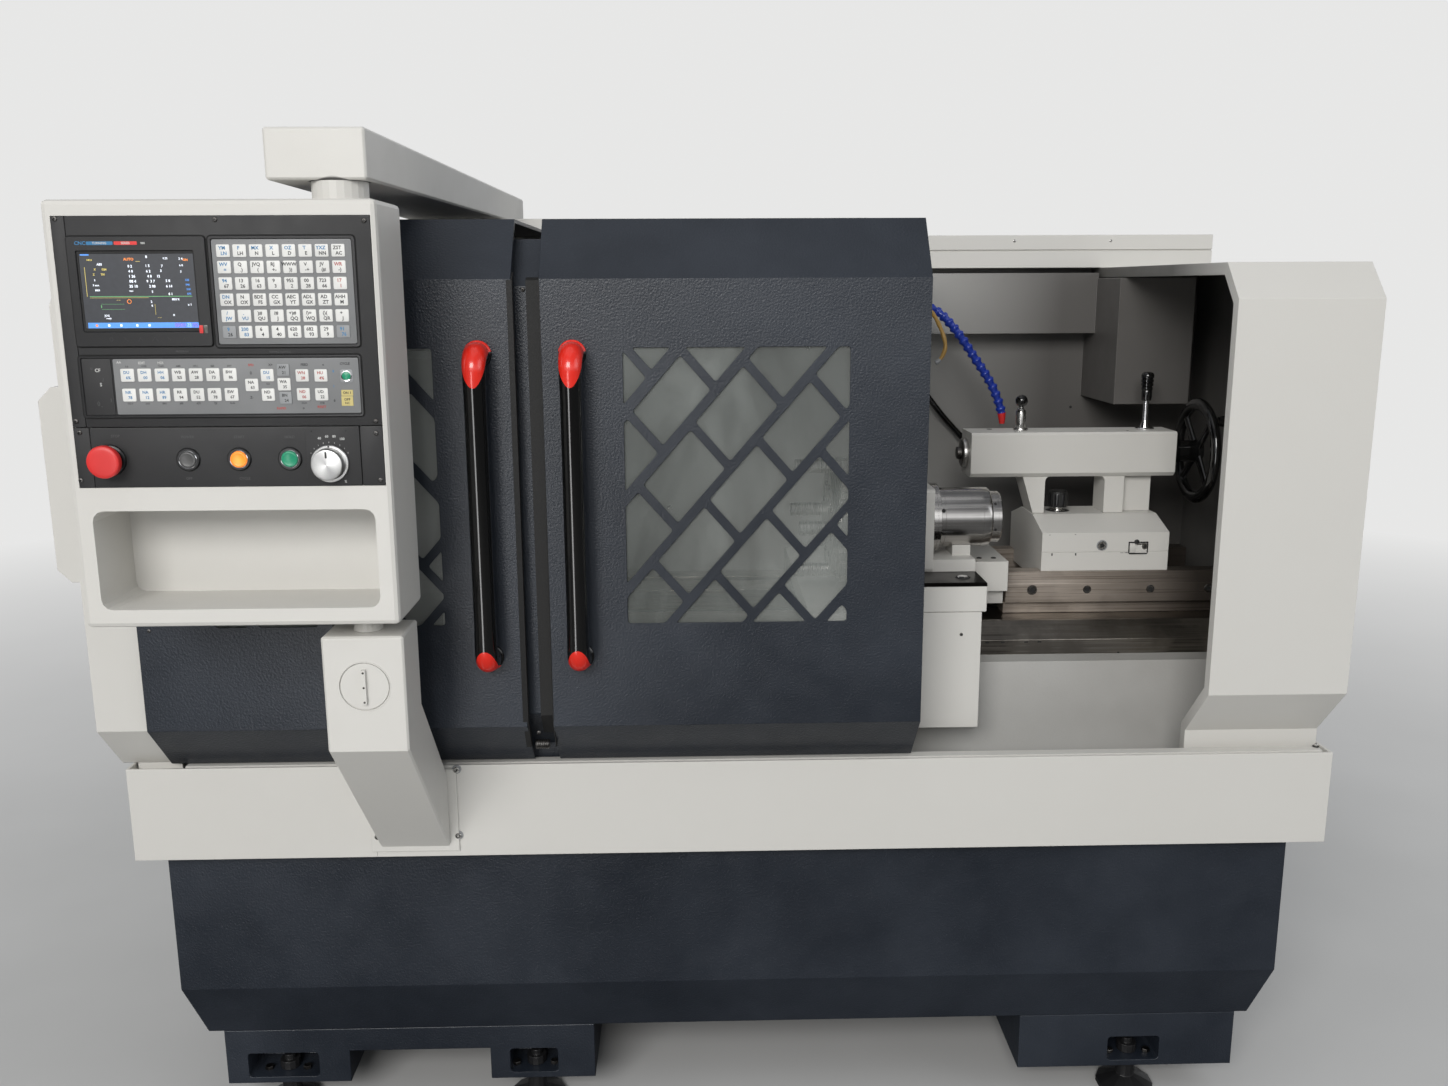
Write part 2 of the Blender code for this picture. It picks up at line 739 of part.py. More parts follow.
def fuse(target, *tools):
    """Join the tools to the target as one body."""
    return combine(target, tools, "UNION")


def soften(thing, width, segments=1):
    """Give the sharp edges of a piece a small bevel."""
    bevel = thing.modifiers.new("edges", "BEVEL")
    bevel.width = width
    bevel.segments = segments
    bevel.limit_method = "ANGLE"
    bevel.angle_limit = math.radians(50)
    return thing


def round_corners(outline, radius, steps=CORNER_STEPS):
    """Round each corner of a closed convex outline with an arc that stays within its sides."""
    rounded = []
    count = len(outline)
    for index in range(count):
        here = Vector(outline[index])
        back = Vector(outline[index - 1]) - here
        ahead = Vector(outline[(index + 1) % count]) - here
        half = back.angle(ahead) / 2
        reach = min(radius / math.tan(half), back.length * 0.45, ahead.length * 0.45)
        fitted = reach * math.tan(half)
        middle = here + (back.normalized() + ahead.normalized()).normalized() * (fitted / math.sin(half))
        start = here + back.normalized() * reach - middle
        end = here + ahead.normalized() * reach - middle
        sweep = start.angle_signed(end)
        for step in range(steps + 1):
            turn = Matrix.Rotation(-sweep * step / steps, 2)
            rounded.append(tuple(middle + turn @ start))
    return rounded


def rectangle(left, right, low, high):
    """Corners of a rectangle, anticlockwise."""
    return [(left, low), (right, low), (right, high), (left, high)]


def offset_line(points, distance):
    """Shift an open line to its right-hand side by a distance, keeping its corners mitred."""
    points = [Vector(point) for point in points]
    shifted = []
    for index, here in enumerate(points):
        sides = []
        if index:
            sides.append((here - points[index - 1]).normalized())
        if index < len(points) - 1:
            sides.append((points[index + 1] - here).normalized())
        normals = [Vector((side.y, -side.x)) for side in sides]
        if len(normals) == 1:
            shifted.append(tuple(here + normals[0] * distance))
            continue
        middle = (normals[0] + normals[1]).normalized()
        shifted.append(tuple(here + middle * (distance / middle.dot(normals[0]))))
    return shifted


def folded_sheet(name, line, start, end, depth, left_hem, right_hem):
    """A folded sheet that follows a (y, z) line along X, with a hem turned in at either end."""
    outer = line
    inner = offset_line(line, depth)
    made = prism(name, outer + inner[::-1], "X", start, end)
    skin = offset_line(line, SHEET)
    far = offset_line(line, depth + CUT_OVERRUN)
    low = start + SHEET if left_hem else start - CUT_OVERRUN
    high = end - SHEET if right_hem else end + CUT_OVERRUN
    hollow = stretch_ends(skin, CUT_OVERRUN) + stretch_ends(far, CUT_OVERRUN)[::-1]
    return cut(made, prism("pocket", hollow, "X", low, high))


def stretch_ends(line, amount):
    """Lengthen an open line at both ends."""
    points = [Vector(point) for point in line]
    first = points[0] + (points[0] - points[1]).normalized() * amount
    last = points[-1] + (points[-1] - points[-2]).normalized() * amount
    return [tuple(first)] + [tuple(point) for point in points[1:-1]] + [tuple(last)]


def clip(outline, inside, crossing):
    """Clip a convex outline by one straight side."""
    kept = []
    for index, here in enumerate(outline):
        before = outline[index - 1]
        if inside(here) != inside(before):
            kept.append(crossing(before, here))
        if inside(here):
            kept.append(here)
    return kept


def clip_to_rectangle(outline, left, right, low, high):
    """Clip a convex outline to a rectangle."""
    limits = ((0, left, 1), (0, right, -1), (1, low, 1), (1, high, -1))
    for axis, value, sign in limits:
        if len(outline) < 3:
            return []

        def inside(point, axis=axis, value=value, sign=sign):
            return (point[axis] - value) * sign >= 0

        def crossing(first, second, axis=axis, value=value):
            share = (value - first[axis]) / (second[axis] - first[axis])
            return tuple(a + (b - a) * share for a, b in zip(first, second))

        outline = clip(outline, inside, crossing)
    return outline


def outline_area(outline):
    """Signed area of a closed outline."""
    pairs = zip(outline, outline[1:] + outline[:1])
    return sum(a[0] * b[1] - b[0] * a[1] for a, b in pairs) / 2


def lattice_cells(width, height):
    """Openings of the window lattice: a leaning brick bond of cells between bars, clipped to the window."""
    run = Vector((math.cos(LATTICE_RUN_ANGLE), math.sin(LATTICE_RUN_ANGLE)))
    cross = Vector((math.cos(LATTICE_CROSS_ANGLE), math.sin(LATTICE_CROSS_ANGLE)))
    sine = abs(run.x * cross.y - run.y * cross.x)
    strip = Vector((LATTICE_PITCH, 0.0))
    across = strip.dot(Vector((run.y, -run.x))) / sine
    half_cross = (across - LATTICE_BAR / sine) / 2
    half_run = (LATTICE_CROSS_STEP - LATTICE_BAR / sine) / 2
    strips = math.ceil((width + height) / LATTICE_PITCH)
    cells = []
    for column in range(-strips, strips + 1):
        for row in range(-strips, strips + 1):
            centre = Vector((LATTICE_START_X, LATTICE_START_Z)) + cross * (across * column)
            centre += run * (LATTICE_CROSS_STEP * row + LATTICE_CROSS_SHIFT * column)
            corners = [
                centre - run * half_run - cross * half_cross,
                centre - run * half_run + cross * half_cross,
                centre + run * half_run + cross * half_cross,
                centre + run * half_run - cross * half_cross,
            ]
            cell = clip_to_rectangle([tuple(corner) for corner in corners], 0.0, width, 0.0, height)
            cell = merge_close(cell, LATTICE_SMALLEST / 4)
            if len(cell) < 3 or abs(outline_area(cell)) < LATTICE_SMALLEST * LATTICE_SMALLEST:
                continue
            if outline_area(cell) < 0:
                cell = cell[::-1]
            cells.append(round_corners(cell, LATTICE_CORNER, 1))
    return cells


def merge_close(outline, least):
    """Drop outline points that lie closer to the one before than the least distance."""
    kept = []
    for point in outline:
        if not kept or (Vector(point) - Vector(kept[-1])).length > least:
            kept.append(point)
    if len(kept) > 1 and (Vector(kept[0]) - Vector(kept[-1])).length <= least:
        kept.pop()
    return kept


def stacked(name, sections):
    """Loft rectangles given as (z, left, right, front, rear)."""
    bm = bmesh.new()
    loops = []
    for z, left, right, front, rear in sections:
        loops.append([bm.verts.new((x, y, z)) for x, y in rectangle(left, right, front, rear)])
    for first, second in zip(loops, loops[1:]):
        span_loops(bm, first, second)
    bm.faces.new(loops[0])
    bm.faces.new(loops[-1])
    return solid_from(name, bm)


def ring_turned(name, profile, axis, centre, steps=ROUND_STEPS):
    """Turn a closed profile that leaves a bore along the axis."""
    bm = bmesh.new()
    loops = []
    for along, radius in profile:
        turns = [math.tau * (step + 0.5) / steps for step in range(steps)]
        ring = [spot_on(axis, centre, along, radius * math.cos(t), radius * math.sin(t)) for t in turns]
        loops.append([bm.verts.new(spot) for spot in ring])
    for first, second in zip(loops, loops[1:] + loops[:1]):
        span_loops(bm, first, second)
    made = solid_from(name, bm)
    shade(made)
    return made


def rod(name, radius, axis, centre, low, high, steps=ROUND_STEPS):
    """A plain round bar."""
    return turned(name, [(low, radius), (high, radius)], axis, centre, steps)


def base_profile(wall):
    """Sections of the base cabinet, shrunk inwards by a wall."""
    low = BASE_BOTTOM_Z + (BASE_FLOOR if wall else 0)
    knee = BASE_BOTTOM_Z + BASE_CHAMFER_HEIGHT
    share = 1 - (low - BASE_BOTTOM_Z) / BASE_CHAMFER_HEIGHT
    side = BASE_CHAMFER_WIDTH * share + wall
    face = BASE_CHAMFER_DEPTH * share + wall
    top = BASE_TOP_Z + (CUT_OVERRUN if wall else 0)
    return [
        (low, BASE_START + side, BASE_END - side, BASE_FRONT_Y + face, BASE_REAR_Y - face),
        (knee, BASE_START + wall, BASE_END - wall, BASE_FRONT_Y + wall, BASE_REAR_Y - wall),
        (top, BASE_START + wall, BASE_END - wall, BASE_FRONT_Y + wall, BASE_REAR_Y - wall),
    ]


def base_cabinet():
    """The hollow base under the chip tray, drawn in towards its foot."""
    return cut(stacked("base_cabinet", base_profile(0)), stacked("inside", base_profile(BASE_WALL)))


def pocket_span(index):
    """Left and right ends of one leveller pocket."""
    half = POCKET_LENGTHS[index] / 2
    return POCKET_CENTRES[index] - half, POCKET_CENTRES[index] + half


def foot_block(name, outline, pockets):
    """A foot block with leveller pockets open to the front and the rear."""
    made = prism(name, outline, "Y", FOOT_FRONT_Y, FOOT_REAR_Y)
    floor = FOOT_BOTTOM_Z + POCKET_FLOOR
    tools = []
    for index in pockets:
        left, right = pocket_span(index)
        shape = round_corners(rectangle(left, right, floor, floor + POCKET_HEIGHT), POCKET_RADIUS, 2)
        ends = ((FOOT_FRONT_Y - CUT_OVERRUN, FOOT_FRONT_Y + POCKET_DEPTH),
                (FOOT_REAR_Y - POCKET_DEPTH, FOOT_REAR_Y + CUT_OVERRUN))
        for low, high in ends:
            tools.append(prism("pocket", shape, "Y", low, high))
        for y in leveller_rows():
            bore = LEVELLER_STEM_RADIUS + GAP
            spot = (POCKET_CENTRES[index], y)
            under = FOOT_BOTTOM_Z - CUT_OVERRUN
            tools.append(rod("bore", bore, "Z", spot, under, floor + GAP, FINE_ROUND_STEPS))
    return cut(made, *tools)


def leveller_rows():
    """Front and rear positions of the levelling feet."""
    return FOOT_FRONT_Y + LEVELLER_INSET, FOOT_REAR_Y - LEVELLER_INSET


def foot_blocks():
    """Both foot blocks; the left one bridges an arch."""
    left = FOOT_LEFT_START
    right = left + FOOT_LEFT_LENGTH
    arch = (FOOT_ARCH_START, FOOT_ARCH_START + FOOT_ARCH_LENGTH)
    crown = FOOT_BOTTOM_Z + FOOT_ARCH_HEIGHT
    bridge = [
        (left, FOOT_BOTTOM_Z), (arch[0], FOOT_BOTTOM_Z), (arch[0], crown), (arch[1], crown),
        (arch[1], FOOT_BOTTOM_Z), (right, FOOT_BOTTOM_Z), (right, FOOT_TOP_Z), (left, FOOT_TOP_Z),
    ]
    plain = rectangle(FOOT_RIGHT_START, FOOT_RIGHT_START + FOOT_RIGHT_LENGTH, FOOT_BOTTOM_Z, FOOT_TOP_Z)
    return [foot_block("foot_block_left", bridge, (0, 1)), foot_block("foot_block_right", plain, (2,))]


def levelling_feet():
    """Threaded levelling feet, with a nut on the pocket floor and a pad on the ground."""
    nut_bottom = FOOT_BOTTOM_Z + POCKET_FLOOR + GAP
    nut_top = nut_bottom + LEVELLER_NUT_HEIGHT
    profile = [
        (0, 0), (0, LEVELLER_PAD_RADIUS), (LEVELLER_PAD_EDGE, LEVELLER_PAD_RADIUS),
        (LEVELLER_PAD_HEIGHT, LEVELLER_NECK_RADIUS), (FOOT_BOTTOM_Z - GAP, LEVELLER_NECK_RADIUS),
        (FOOT_BOTTOM_Z - GAP, LEVELLER_STEM_RADIUS), (nut_bottom, LEVELLER_STEM_RADIUS),
        (nut_bottom, LEVELLER_NUT_RADIUS), (nut_top, LEVELLER_NUT_RADIUS), (nut_top, LEVELLER_STEM_RADIUS),
        (nut_top + LEVELLER_STEM_ABOVE / 2, LEVELLER_STEM_RADIUS), (nut_top + LEVELLER_STEM_ABOVE / 2, 0),
    ]
    feet = []
    for y in leveller_rows():
        for x in POCKET_CENTRES:
            feet.append(turned(f"levelling_foot_{len(feet) + 1}", profile, "Z", (x, y), 12))
    return feet


def chip_tray():
    """The folded tray with its ledge, the door rail on the front ledge and a deck behind the guard."""
    made = block("chip_tray", (0, TRAY_FRONT_Y, TRAY_BOTTOM_Z), (TRAY_LENGTH, TRAY_REAR_Y, TRAY_TOP_Z))
    wall = TRAY_FLOOR
    front, rear = TRAY_FRONT_Y + wall, TRAY_REAR_Y - wall
    right = TRAY_LENGTH - wall
    deck = GUARD_Y - GAP
    above = TRAY_TOP_Z + CUT_OVERRUN
    under = block("under", (wall, front, TRAY_FLOOR_Z), (right, rear, LEDGE_Z - SHEET))
    throat_low = (LEDGE_DEPTH, TRAY_FRONT_Y + LEDGE_DEPTH, LEDGE_Z - CUT_OVERRUN)
    throat = block("throat", throat_low, (TRAY_LENGTH - LEDGE_DEPTH, deck, above))
    recess = block("recess", (wall, front, LEDGE_Z), (right, deck, above))
    hollow_low = (wall, deck + SHEET, LEDGE_Z - CUT_OVERRUN)
    hollow = block("hollow", hollow_low, (right, rear, TRAY_TOP_Z - SHEET))
    slot_low = (BELT_SLOT_START, BELT_SLOT_FRONT_Y, TRAY_BOTTOM_Z - CUT_OVERRUN)
    slot_high = (BELT_SLOT_START + BELT_SLOT_WIDTH, BELT_SLOT_REAR_Y, TRAY_FLOOR_Z + CUT_OVERRUN)
    cut(made, under, throat, recess, hollow, block("slot", slot_low, slot_high))
    rail_start = LEFT_COVER_END + RAIL_END_INSET
    rail_end = TRAY_LENGTH - RAIL_END_INSET
    rail_high = (rail_end, RAIL_Y + RAIL_DEPTH, TRAY_TOP_Z - GAP)
    return fuse(made, block("rail", (rail_start, RAIL_Y, LEDGE_Z - SHEET), rail_high))


def bed_section():
    """Outlines (y, z) of the bed's front and rear walls with their ways."""
    low = TRAY_FLOOR_Z + GAP
    half = WAY_APEX_FLAT / 2
    apex = WAY_FRONT_Y + (WAY_APEX_Z - WAY_FOOT_Z) + half
    back_foot = apex + half + WAY_APEX_Z - WAY_BACK_FOOT_Z
    inside = BED_FRONT_Y + BED_WALL
    front = [
        (BED_FRONT_Y, low), (BED_FRONT_Y, WAY_NECK_Z), (WAY_FRONT_Y, WAY_EDGE_Z), (WAY_FRONT_Y, WAY_FOOT_Z),
        (apex - half, WAY_APEX_Z), (apex + half, WAY_APEX_Z), (back_foot, WAY_BACK_FOOT_Z),
        (SEAT_START_Y, WAY_BACK_FOOT_Z), (SEAT_START_Y, SEAT_Z), (SEAT_END_Y, SEAT_Z),
        (SEAT_END_Y, SEAT_UNDER_Z), (inside, SEAT_HAUNCH_Z), (inside, low),
    ]
    inner_rear = BED_REAR_Y - BED_WALL
    rear = [
        (inner_rear, low), (inner_rear, SEAT_HAUNCH_Z), (mirrored(SEAT_END_Y), SEAT_UNDER_Z),
        (mirrored(SEAT_END_Y), SEAT_Z), (mirrored(SEAT_START_Y), SEAT_Z),
        (mirrored(SEAT_START_Y), WAY_BACK_FOOT_Z), (REAR_WAY_START_Y, WAY_BACK_FOOT_Z),
        (REAR_WAY_START_Y, REAR_WAY_Z), (REAR_WAY_END_Y, REAR_WAY_Z), (REAR_WAY_END_Y, WAY_EDGE_Z),
        (BED_REAR_Y, WAY_NECK_Z), (BED_REAR_Y, low),
    ]
    return front, rear


def mirrored(y):
    """The same place on the other side of the spindle axis."""
    return 2 * AXIS_Y - y


def bed_casting():
    """The bed: two walls with ground ways, joined by windowed ribs, bearing ribs and the headstock pad."""
    front, rear = bed_section()
    made = prism("bed_casting", front, "X", BED_START, BED_END)
    low = TRAY_FLOOR_Z + GAP
    inner = (BED_FRONT_Y + BED_WALL / 2, BED_REAR_Y - BED_WALL / 2)
    tools = [prism("rear", rear, "X", BED_START, BED_END)]
    for index in range(RIB_COUNT):
        start = BED_START + (BED_END - BED_START - RIB_THICKNESS) * index / (RIB_COUNT - 1)
        rib = block("rib", (start, inner[0], low), (start + RIB_THICKNESS, inner[1], RIB_TOP_Z))
        shape = rectangle(BED_FRONT_Y + BED_WALL + RIB_WINDOW_EDGE, BED_REAR_Y - BED_WALL - RIB_WINDOW_EDGE,
                          low + RIB_WINDOW_EDGE / 2, RIB_TOP_Z - RIB_WINDOW_EDGE)
        window = prism("window", shape, "X", start - CUT_OVERRUN, start + RIB_THICKNESS + CUT_OVERRUN)
        tools.append(cut(rib, window))
    for start in (BEARING_LEFT_START, BEARING_RIGHT_START):
        rib = block("bearing", (start, inner[0], low), (start + RIB_THICKNESS, inner[1], BEARING_RIB_Z))
        end = start + RIB_THICKNESS + CUT_OVERRUN
        centre = (SCREW_Y, SCREW_Z)
        tools.append(cut(rib, rod("bore", SCREW_JOURNAL + GAP, "X", centre, start - CUT_OVERRUN, end)))
    pad_high = (HEAD_PAD_END, HEAD_REAR_Y, HEAD_PAD_Z - GAP)
    tools.append(block("pad", (BED_START, HEAD_FRONT_Y, HEAD_PAD_UNDER_Z), pad_high))
    return fuse(made, *tools)


def tailstock_ways():
    """The raised pair of rails that carry the tailstock, with their end ties."""
    low = SEAT_Z + GAP
    chamfer = TAIL_RAIL_TOP_Z - TAIL_RAIL_SHOULDER_Z
    section = [
        (TAIL_RAIL_FOOT_Y, low), (TAIL_RAIL_FOOT_Y, TAIL_RAIL_FOOT_Z), (TAIL_RAIL_FRONT_Y, TAIL_RAIL_FOOT_Z),
        (TAIL_RAIL_FRONT_Y, TAIL_RAIL_SHOULDER_Z), (TAIL_RAIL_FRONT_Y + chamfer, TAIL_RAIL_TOP_Z),
        (SEAT_END_Y, TAIL_RAIL_TOP_Z), (SEAT_END_Y, low),
    ]
    made = prism("tailstock_ways", section, "X", TAIL_RAIL_START, BED_END)
    far = prism("far", [(mirrored(y), z) for y, z in section], "X", TAIL_RAIL_START, BED_END)
    overlap = SEAT_END_Y - TAIL_RAIL_FOOT_Y
    ties = []
    for start in (TAIL_RAIL_START, BED_END - TAIL_TIE_LENGTH):
        corner = (start, SEAT_END_Y - overlap / 2, low)
        ties.append(block("tie", corner, (start + TAIL_TIE_LENGTH, mirrored(corner[1]), TAIL_TIE_Z)))
    return fuse(made, far, *ties)


def headstock():
    """The headstock casting with its bearing cap, bored for the spindle."""
    low = HEAD_PAD_Z
    knee = low + HEAD_FOOT_HEIGHT
    front, rear = HEAD_FRONT_Y, HEAD_REAR_Y
    outline = [
        (front, low), (front, knee), (front + HEAD_WAIST, knee + HEAD_WAIST),
        (front + HEAD_WAIST, HEAD_TOP_Z - HEAD_CHAMFER), (front + HEAD_WAIST + HEAD_CHAMFER, HEAD_TOP_Z),
        (rear - HEAD_WAIST - HEAD_CHAMFER, HEAD_TOP_Z), (rear - HEAD_WAIST, HEAD_TOP_Z - HEAD_CHAMFER),
        (rear - HEAD_WAIST, knee + HEAD_WAIST), (rear, knee), (rear, low),
    ]
    made = prism("headstock", outline, "X", HEAD_START, HEAD_END)
    centre = (AXIS_Y, AXIS_Z)
    cap_end = SPINDLE_FLANGE_START - GAP
    fuse(made, rod("cap", HEAD_RING_RADIUS, "X", centre, HEAD_END - CUT_OVERRUN, cap_end))
    bore = SPINDLE_RADIUS + SPINDLE_CLEAR
    return cut(made, rod("bore", bore, "X", centre, HEAD_START - CUT_OVERRUN, HEAD_END + CUT_OVERRUN))


def spindle():
    """The hollow spindle with its mounting flange."""
    flange_end = SPINDLE_FLANGE_START + SPINDLE_FLANGE
    profile = [
        (SPINDLE_START, SPINDLE_BORE), (SPINDLE_START, SPINDLE_RADIUS),
        (SPINDLE_FLANGE_START, SPINDLE_RADIUS),
        (SPINDLE_FLANGE_START, SPINDLE_FLANGE_RADIUS), (flange_end, SPINDLE_FLANGE_RADIUS),
        (flange_end, SPINDLE_BORE),
    ]
    return ring_turned("spindle", profile, "X", (AXIS_Y, AXIS_Z))


def grooved_rim(radius):
    """Outer profile of a V-belt pulley, as (x, radius) points from left to right."""
    points = []
    pitch = (PULLEY_WIDTH - PULLEY_LAND) / PULLEY_GROOVES
    start = PULLEY_START
    for index in range(PULLEY_GROOVES + 1):
        land = start + pitch * index
        points += [(land, radius), (land + PULLEY_LAND, radius)]
        if index < PULLEY_GROOVES:
            points.append((land + (pitch + PULLEY_LAND) / 2, radius - PULLEY_GROOVE_DEPTH))
    return points


def spindle_pulley():
    """The grooved pulley on the rear end of the spindle."""
    bore = SPINDLE_RADIUS + GAP
    rim = grooved_rim(SPINDLE_PULLEY_RADIUS)
    profile = [(PULLEY_START, bore)] + rim + [(PULLEY_START + PULLEY_WIDTH, bore)]
    return ring_turned("spindle_pulley", profile, "X", (AXIS_Y, AXIS_Z))


def motor_pulley():
    """The grooved motor pulley with its shaft."""
    end = MOTOR_START - GAP
    rim = grooved_rim(MOTOR_PULLEY_RADIUS)
    shaft = [(PULLEY_START + PULLEY_WIDTH, MOTOR_SHAFT_RADIUS), (end, MOTOR_SHAFT_RADIUS), (end, 0)]
    return turned("motor_pulley", [(PULLEY_START, 0)] + rim + shaft, "X", (MOTOR_Y, MOTOR_Z), 16)


def drive_belt():
    """The flat loop of belts round both pulleys."""
    outer = belt_loop(BELT_CLEAR + BELT_THICKNESS)
    inner = belt_loop(BELT_CLEAR)
    start = PULLEY_START + BELT_INSET
    end = PULLEY_START + PULLEY_WIDTH - BELT_INSET
    bm = bmesh.new()
    loops = []
    for x, loop in ((start, outer), (end, outer), (end, inner), (start, inner)):
        loops.append([bm.verts.new((x, y, z)) for y, z in loop])
    for first, second in zip(loops, loops[1:] + loops[:1]):
        span_loops(bm, first, second)
    made = solid_from("drive_belt", bm)
    shade(made)
    return made


def belt_loop(lift):
    """The closed (y, z) line that wraps both pulleys at a height above their rims."""
    top = Vector((AXIS_Y, AXIS_Z))
    low = Vector((MOTOR_Y, MOTOR_Z))
    line = low - top
    lean = math.acos((SPINDLE_PULLEY_RADIUS - MOTOR_PULLEY_RADIUS) / line.length)
    heading = math.atan2(line.y, line.x)
    steps = 14
    points = []
    for centre, radius, start, end in (
        (top, SPINDLE_PULLEY_RADIUS, heading + lean, heading + math.tau - lean),
        (low, MOTOR_PULLEY_RADIUS, heading - lean, heading + lean),
    ):
        for step in range(steps + 1):
            turn = start + (end - start) * step / steps
            points.append(tuple(centre + Vector((math.cos(turn), math.sin(turn))) * (radius + lift)))
    return points


def spindle_motor():
    """The main motor: flange, finned body and a foot on the base floor."""
    fin = MOTOR_LENGTH - MOTOR_FLANGE * 2
    pitch = fin / MOTOR_FIN_COUNT
    flange = MOTOR_START + MOTOR_FLANGE
    profile = [(MOTOR_START, 0), (MOTOR_START, MOTOR_FLANGE_RADIUS), (flange, MOTOR_FLANGE_RADIUS)]
    inner = MOTOR_RADIUS - MOTOR_FIN_DEPTH
    for index in range(MOTOR_FIN_COUNT):
        start = flange + pitch * index
        middle = start + pitch / 2
        profile += [(start, inner), (middle, inner), (middle, MOTOR_RADIUS), (start + pitch, MOTOR_RADIUS)]
    end = MOTOR_START + MOTOR_LENGTH
    profile += [(end, MOTOR_RADIUS), (end, 0)]
    made = turned("spindle_motor", drop_repeats(profile), "X", (MOTOR_Y, MOTOR_Z), 16)
    floor = BASE_BOTTOM_Z + BASE_FLOOR + GAP
    foot_low = (flange + MOTOR_FLANGE, MOTOR_Y - MOTOR_FOOT_WIDTH / 2, floor)
    foot_high = (end - MOTOR_FLANGE, MOTOR_Y + MOTOR_FOOT_WIDTH / 2, MOTOR_Z - MOTOR_FOOT_HEIGHT)
    return fuse(made, block("foot", foot_low, foot_high))


def drop_repeats(points):
    """Drop points equal to the one before."""
    return [point for index, point in enumerate(points) if index == 0 or point != points[index - 1]]


def z_ballscrew():
    """The carriage screw between its two bearing ribs."""
    left = BEARING_LEFT_START + RIB_THICKNESS + GAP
    right = BEARING_RIGHT_START - GAP
    profile = [
        (SCREW_START, 0), (SCREW_START, SCREW_JOURNAL), (left, SCREW_JOURNAL), (left, SCREW_RADIUS),
        (right, SCREW_RADIUS), (right, SCREW_JOURNAL), (SCREW_END, SCREW_JOURNAL), (SCREW_END, 0),
    ]
    return turned("z_ballscrew", profile, "X", (SCREW_Y, SCREW_Z), FINE_ROUND_STEPS)


def z_motor():
    """The carriage drive motor on the right bearing rib, with a smaller encoder housing behind."""
    start = BEARING_RIGHT_START + RIB_THICKNESS + GAP
    middle = start + DRIVE_LENGTH - DRIVE_REAR_LENGTH
    half, rear_half = DRIVE_SIDE / 2, DRIVE_REAR_SIDE / 2
    shape = round_corners(centred_square(SCREW_Y, SCREW_Z, half), half / 6, 2)
    made = prism("z_motor", shape, "X", start, middle)
    rear = prism("rear", centred_square(SCREW_Y, SCREW_Z, rear_half), "X", middle - GAP, start + DRIVE_LENGTH)
    fuse(made, rear)
    centre = (SCREW_Y, SCREW_Z)
    pocket = rod("pocket", SCREW_JOURNAL + SHEET, "X", centre, start - CUT_OVERRUN, SCREW_END + SHEET, 16)
    return cut(made, pocket)


def centred_square(a, b, half):
    """A square outline round a point."""
    return rectangle(a - half, a + half, b - half, b + half)


def saddle():
    """The carriage saddle on the ways, with the screw nut below and the raised cover at its right."""
    half = WAY_APEX_FLAT / 2
    apex = WAY_FRONT_Y + (WAY_APEX_Z - WAY_FOOT_Z) + half
    back_foot = apex + half + WAY_APEX_Z - WAY_BACK_FOOT_Z
    lift = WAY_CLEAR
    skirt = WAY_FRONT_Y - lift
    outline = [
        (SADDLE_FRONT_Y, SADDLE_FRONT_Z), (skirt, SADDLE_FRONT_Z), (skirt, WAY_FOOT_Z),
        (apex - half, WAY_APEX_Z + lift), (apex + half, WAY_APEX_Z + lift),
        (back_foot, WAY_BACK_FOOT_Z + lift), (SEAT_START_Y - SHEET, WAY_BACK_FOOT_Z + lift),
        (SEAT_START_Y - SHEET, SADDLE_UNDER_Z), (mirrored(SEAT_START_Y), SADDLE_UNDER_Z),
        (mirrored(SEAT_START_Y), REAR_WAY_Z + lift), (SADDLE_REAR_Y, REAR_WAY_Z + lift),
        (SADDLE_REAR_Y, SADDLE_TOP_Z), (SADDLE_FRONT_Y, SADDLE_TOP_Z),
    ]
    made = prism("saddle", outline, "X", SADDLE_START, SADDLE_END)
    nut_low = (NUT_START, SCREW_Y - NUT_WIDTH / 2, SADDLE_TOP_Z - NUT_DROP)
    nut = block("nut", nut_low, (NUT_START + NUT_LENGTH, SCREW_Y + NUT_WIDTH / 2, SADDLE_UNDER_Z + SHEET))
    neck_low = (SADDLE_END - SHEET, WING_FRONT_Y + CUT_OVERRUN, SADDLE_UNDER_Z + SHEET)
    neck = block("neck", neck_low, (WING_END - SHEET, WING_REAR_Y - CUT_OVERRUN, SADDLE_TOP_Z))
    wing_low = (WING_START, WING_FRONT_Y, SADDLE_TOP_Z - SHEET)
    wing = block("wing", wing_low, (WING_END, WING_REAR_Y, WING_TOP_Z))
    fuse(made, nut, neck, wing)
    bore = SCREW_RADIUS + GAP
    end = NUT_START + NUT_LENGTH + CUT_OVERRUN
    return cut(made, rod("bore", bore, "X", (SCREW_Y, SCREW_Z), NUT_START - CUT_OVERRUN, end))


def apron_cover():
    """The sheet cover on the front of the saddle, open at its back."""
    rear = WAY_FRONT_Y - SHEET
    step = SADDLE_FRONT_Z - GAP
    near = SADDLE_FRONT_Y - GAP
    outline = [
        (APRON_FRONT_Y, APRON_BOTTOM_Z), (rear, APRON_BOTTOM_Z), (rear, step), (near, step),
        (near, SADDLE_TOP_Z), (APRON_FRONT_Y, SADDLE_TOP_Z),
    ]
    made = prism("apron_cover", outline, "X", APRON_START, APRON_END)
    low = (APRON_START + SHEET, APRON_FRONT_Y + SHEET, APRON_BOTTOM_Z + SHEET)
    inside = block("inside", low, (APRON_END - SHEET, rear + CUT_OVERRUN, SADDLE_TOP_Z - SHEET))
    return cut(made, inside)


